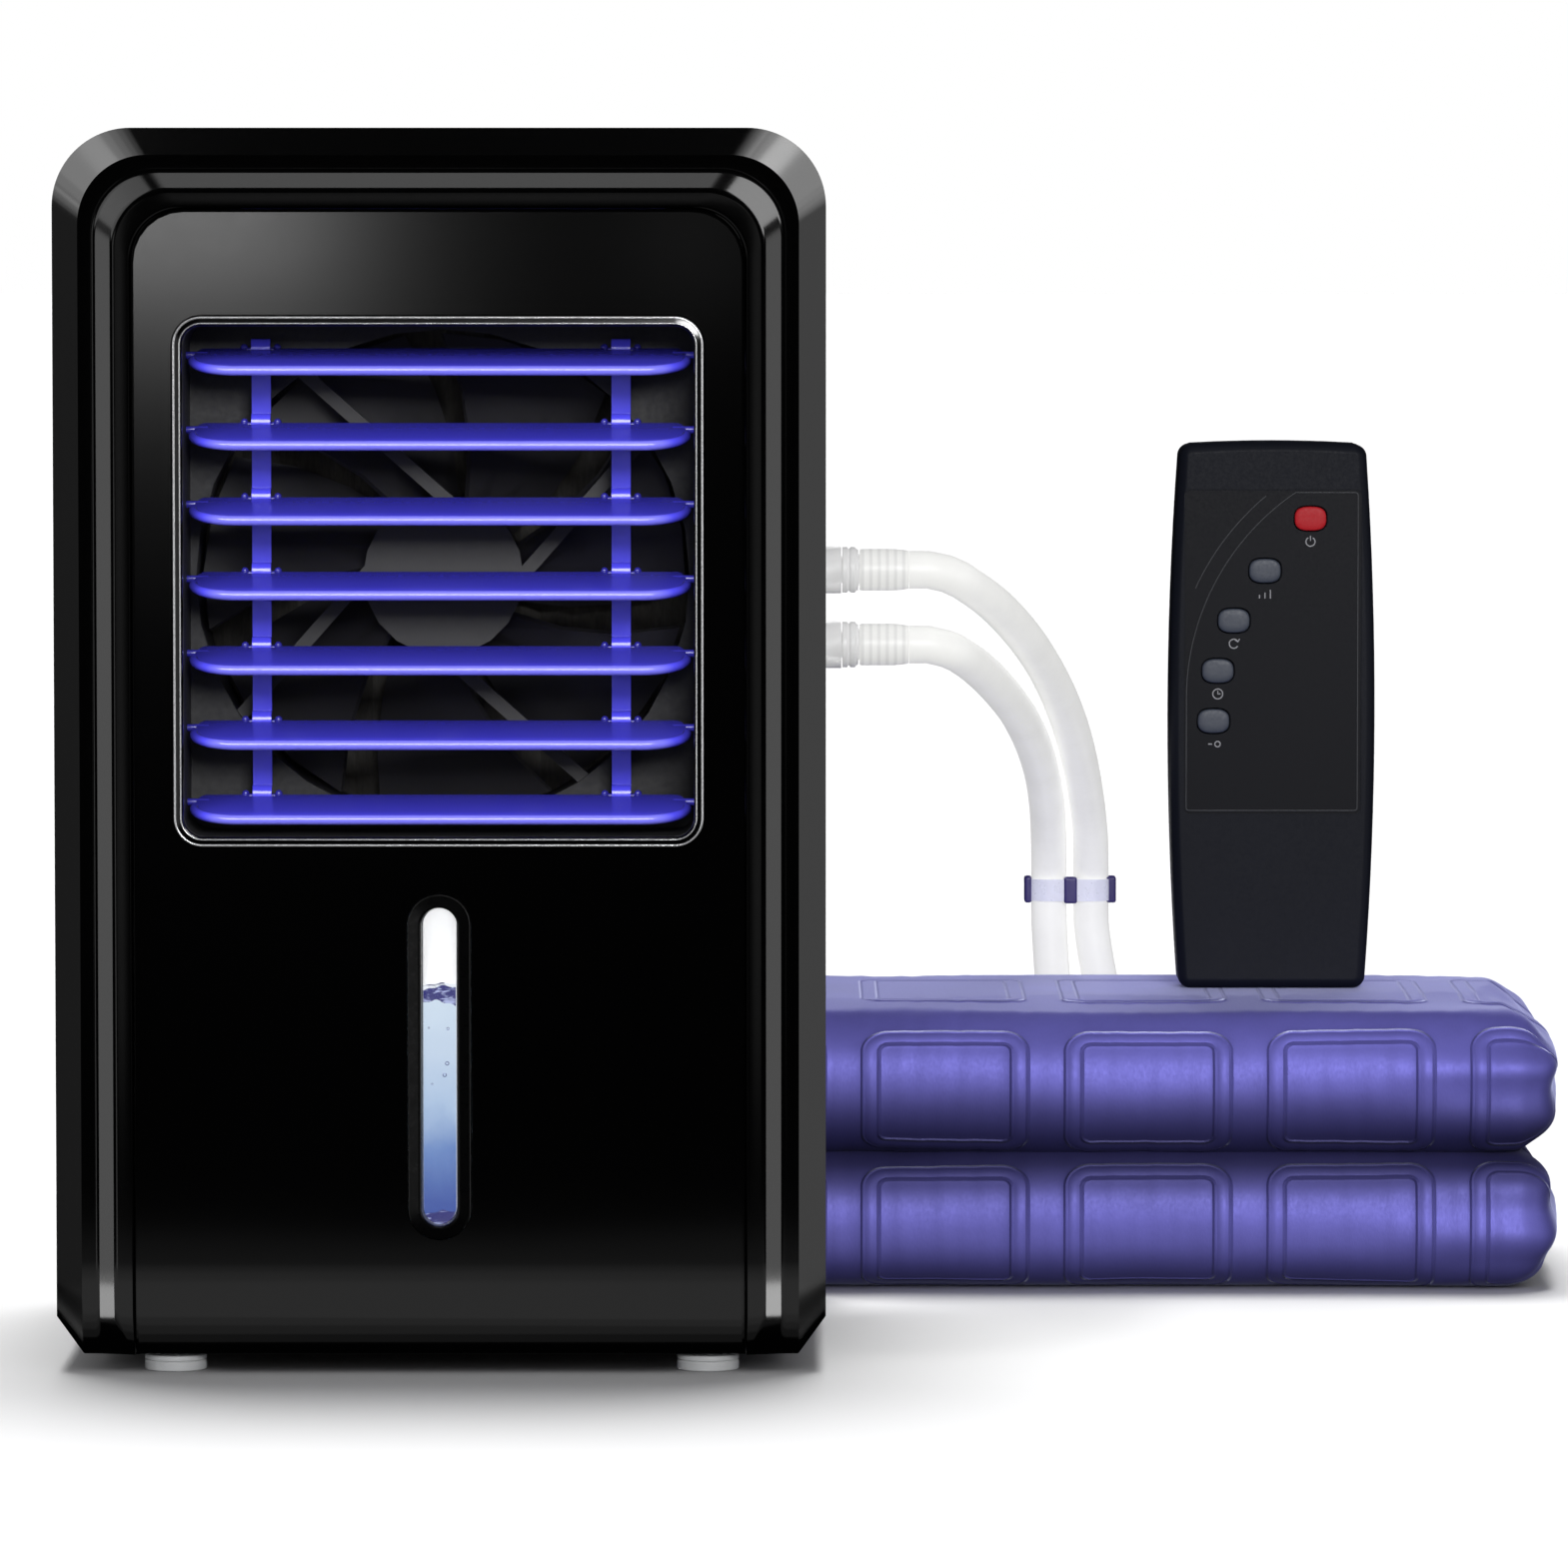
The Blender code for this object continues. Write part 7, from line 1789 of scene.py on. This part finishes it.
class CoolingRemote(bpy.types.Operator):
    """Model the remote: two shells, its key field with fine arcs, and its keys"""

    bl_idname = "cooling.remote"
    bl_label = "Remote"

    def execute(self, context):
        front_y = REMOTE_FRONT_Y
        section = [
            (0.0026, front_y), (0.0020, front_y + 0.00008), (0.0012, front_y + 0.0005),
            (0.0004, front_y + 0.0013), (0.0001, front_y + 0.0019), (0.0, front_y + 0.0026),
            (0.0, REMOTE_SPLIT_Y - 0.0004), (0.0003, REMOTE_SPLIT_Y - 0.0002),
        ]
        shell = shell_of_remote(section)
        plate = rounded_box(
            FACE_HALF_WIDTH, FACE_HALF_HEIGHT, FACE_CORNER, (REMOTE_X, REMOTE_Z + FACE_RISE)
        )
        cut_out(shell, flat([plate], "front", front_y - 0.001, front_y + 0.0004))
        for place in KEY_PLACES:
            hole = [key_outline(place, 0.0003)]
            cut_out(shell, flat(hole, "front", front_y - 0.001, front_y + 0.0034))
        settle(shell, "remote_front", "remote", finishes["remote"],
               ["remote_front_shell"])
        self.make_face()
        section = [
            (0.0003, REMOTE_SPLIT_Y + 0.0002), (0.0, REMOTE_SPLIT_Y + 0.0004),
            (0.0, REMOTE_BACK_Y - 0.0024), (0.0002, REMOTE_BACK_Y - 0.0015),
            (0.0007, REMOTE_BACK_Y - 0.0007), (0.0015, REMOTE_BACK_Y - 0.0002),
            (0.0024, REMOTE_BACK_Y),
        ]
        back = shell_of_remote(section)
        bay_z = REMOTE_Z - BAY_DROP
        recess = rounded_box(0.0160, 0.0270, 0.0016, (REMOTE_X, bay_z))
        cut_out(back, flat([recess], "front", REMOTE_BACK_Y - 0.0018, REMOTE_BACK_Y + 0.001))
        bay = rounded_box(0.0130, 0.0240, 0.0016, (REMOTE_X, bay_z))
        cut_out(back, flat([bay], "front", REMOTE_SPLIT_Y + 0.001, REMOTE_BACK_Y))
        settle(back, "remote_back", "remote", finishes["remote_back"],
               ["remote_back_shell"])
        dress("remote_battery_cover", "remote_back")
        self.make_keys()
        return {"FINISHED"}

    def make_face(self):
        """The plate with the key field on it, the fine lines beside them and the keys' marks."""
        front_y = REMOTE_FRONT_Y
        plate = rounded_box(
            FACE_HALF_WIDTH - 0.0003, FACE_HALF_HEIGHT - 0.0003, FACE_CORNER - 0.0003,
            (REMOTE_X, REMOTE_Z + FACE_RISE),
        )
        holes = [key_outline(place, 0.0004) for place in KEY_PLACES]
        plate = flat([plate, *holes], "front", front_y + 0.00025, front_y + 0.0004)
        field = flat([face_outline(0.0006), *holes], "front", front_y + 0.00008, front_y + 0.00026)
        face = join_pieces(plate, field)
        settle(face, "remote_face", "remote", finishes["face"], (), 0)
        edge = [at(x, front_y + 0.00016, z) for x, z in face_outline(0.0004)]
        lines = [tube_mesh(edge, LINE_RADIUS, 2, cyclic=True)]
        side = arc(SWEEP_MIDDLE, SWEEP_RADIUS + 0.0036, 130, 155.5, 20)
        side = [at(REMOTE_X + x, front_y + 0.00018, REMOTE_Z + z) for x, z in side]
        lines.append(tube_mesh(side, LINE_RADIUS, 2))
        lines = join_pieces(*lines)
        settle(lines, "remote_lines", "remote", finishes["print"], (), 60)
        marks = []
        for (across, up), strokes in zip(KEY_PLACES, KEY_MARKS):
            mark_x, mark_z = REMOTE_X + across, REMOTE_Z + up - MARK_DROP
            for stroke in strokes:
                places = [
                    at(mark_x + MARK_SCALE * x, front_y + 0.00008, mark_z + MARK_SCALE * z)
                    for x, z in stroke
                ]
                marks.append(tube_mesh(places, 0.00018, 2))
        marks = join_pieces(*marks)
        settle(marks, "remote_marks", "remote", finishes["mark"], (), 60)

    def make_keys(self):
        """The five oval keys, softly domed."""
        for number, place in enumerate(KEY_PLACES, 1):
            rows = []
            for inset, depth in (
                (0.0, 0.0024), (0.0, 0.0003), (0.00015, 0.00005), (0.0005, -0.0001),
                (0.0014, -0.00017), (0.0024, -0.0002),
            ):
                rows.append([
                    at(x, REMOTE_FRONT_Y + depth, z) for x, z in key_outline(place, -inset)
                ])
            key = loft(rows, caps=True)
            settle(key, f"oval_key_{number}", f"remote_key_{number}",
                   finishes["red_key" if number == 1 else "key"],
                   [f"remote_button_{number}"], 50)


class CoolingPanel(bpy.types.Panel):
    """Steps that model the cooling pad, in order"""

    bl_idname = "COOLING_PT_steps"
    bl_label = "Cooling pad"
    bl_space_type = "VIEW_3D"
    bl_region_type = "UI"
    bl_category = "Cooling pad"

    def draw(self, context):
        for step in STEPS:
            self.layout.operator(step.bl_idname)
        for group in GROUPS:
            settings = getattr(context.scene, group)
            for name in settings.__annotations__:
                self.layout.prop(settings, name)


STEPS = (
    CoolingStage, CoolingHoses, CoolingFrame, CoolingHousing, CoolingGrille, CoolingWindow,
    CoolingTop, CoolingPad, CoolingRemote,
)
GROUPS = {
    "cooling_tower": CoolingTowerSizes,
    "cooling_hoses": CoolingHoseSizes,
    "cooling_pad": CoolingPadSizes,
    "cooling_remote": CoolingRemoteSizes,
    "cooling_stage": CoolingStageSettings,
}


def register():
    """Make the property groups, operators and panel known."""
    for name, group in GROUPS.items():
        bpy.utils.register_class(group)
        setattr(bpy.types.Scene, name, bpy.props.PointerProperty(type=group))
    for step in STEPS:
        bpy.utils.register_class(step)
    bpy.utils.register_class(CoolingPanel)


def unregister():
    """Take them away again."""
    bpy.utils.unregister_class(CoolingPanel)
    for step in reversed(STEPS):
        bpy.utils.unregister_class(step)
    for name, group in GROUPS.items():
        delattr(bpy.types.Scene, name)
        bpy.utils.unregister_class(group)


def main():
    """Model every piece in order."""
    register()
    make_finishes()
    bpy.ops.cooling.stage()
    bpy.ops.cooling.hoses()
    bpy.ops.cooling.front_frame()
    bpy.ops.cooling.housing()
    bpy.ops.cooling.grille()
    bpy.ops.cooling.window()
    bpy.ops.cooling.top()
    bpy.ops.cooling.pad()
    bpy.ops.cooling.remote()
    deselect()


if __name__ == "__main__":
    main()
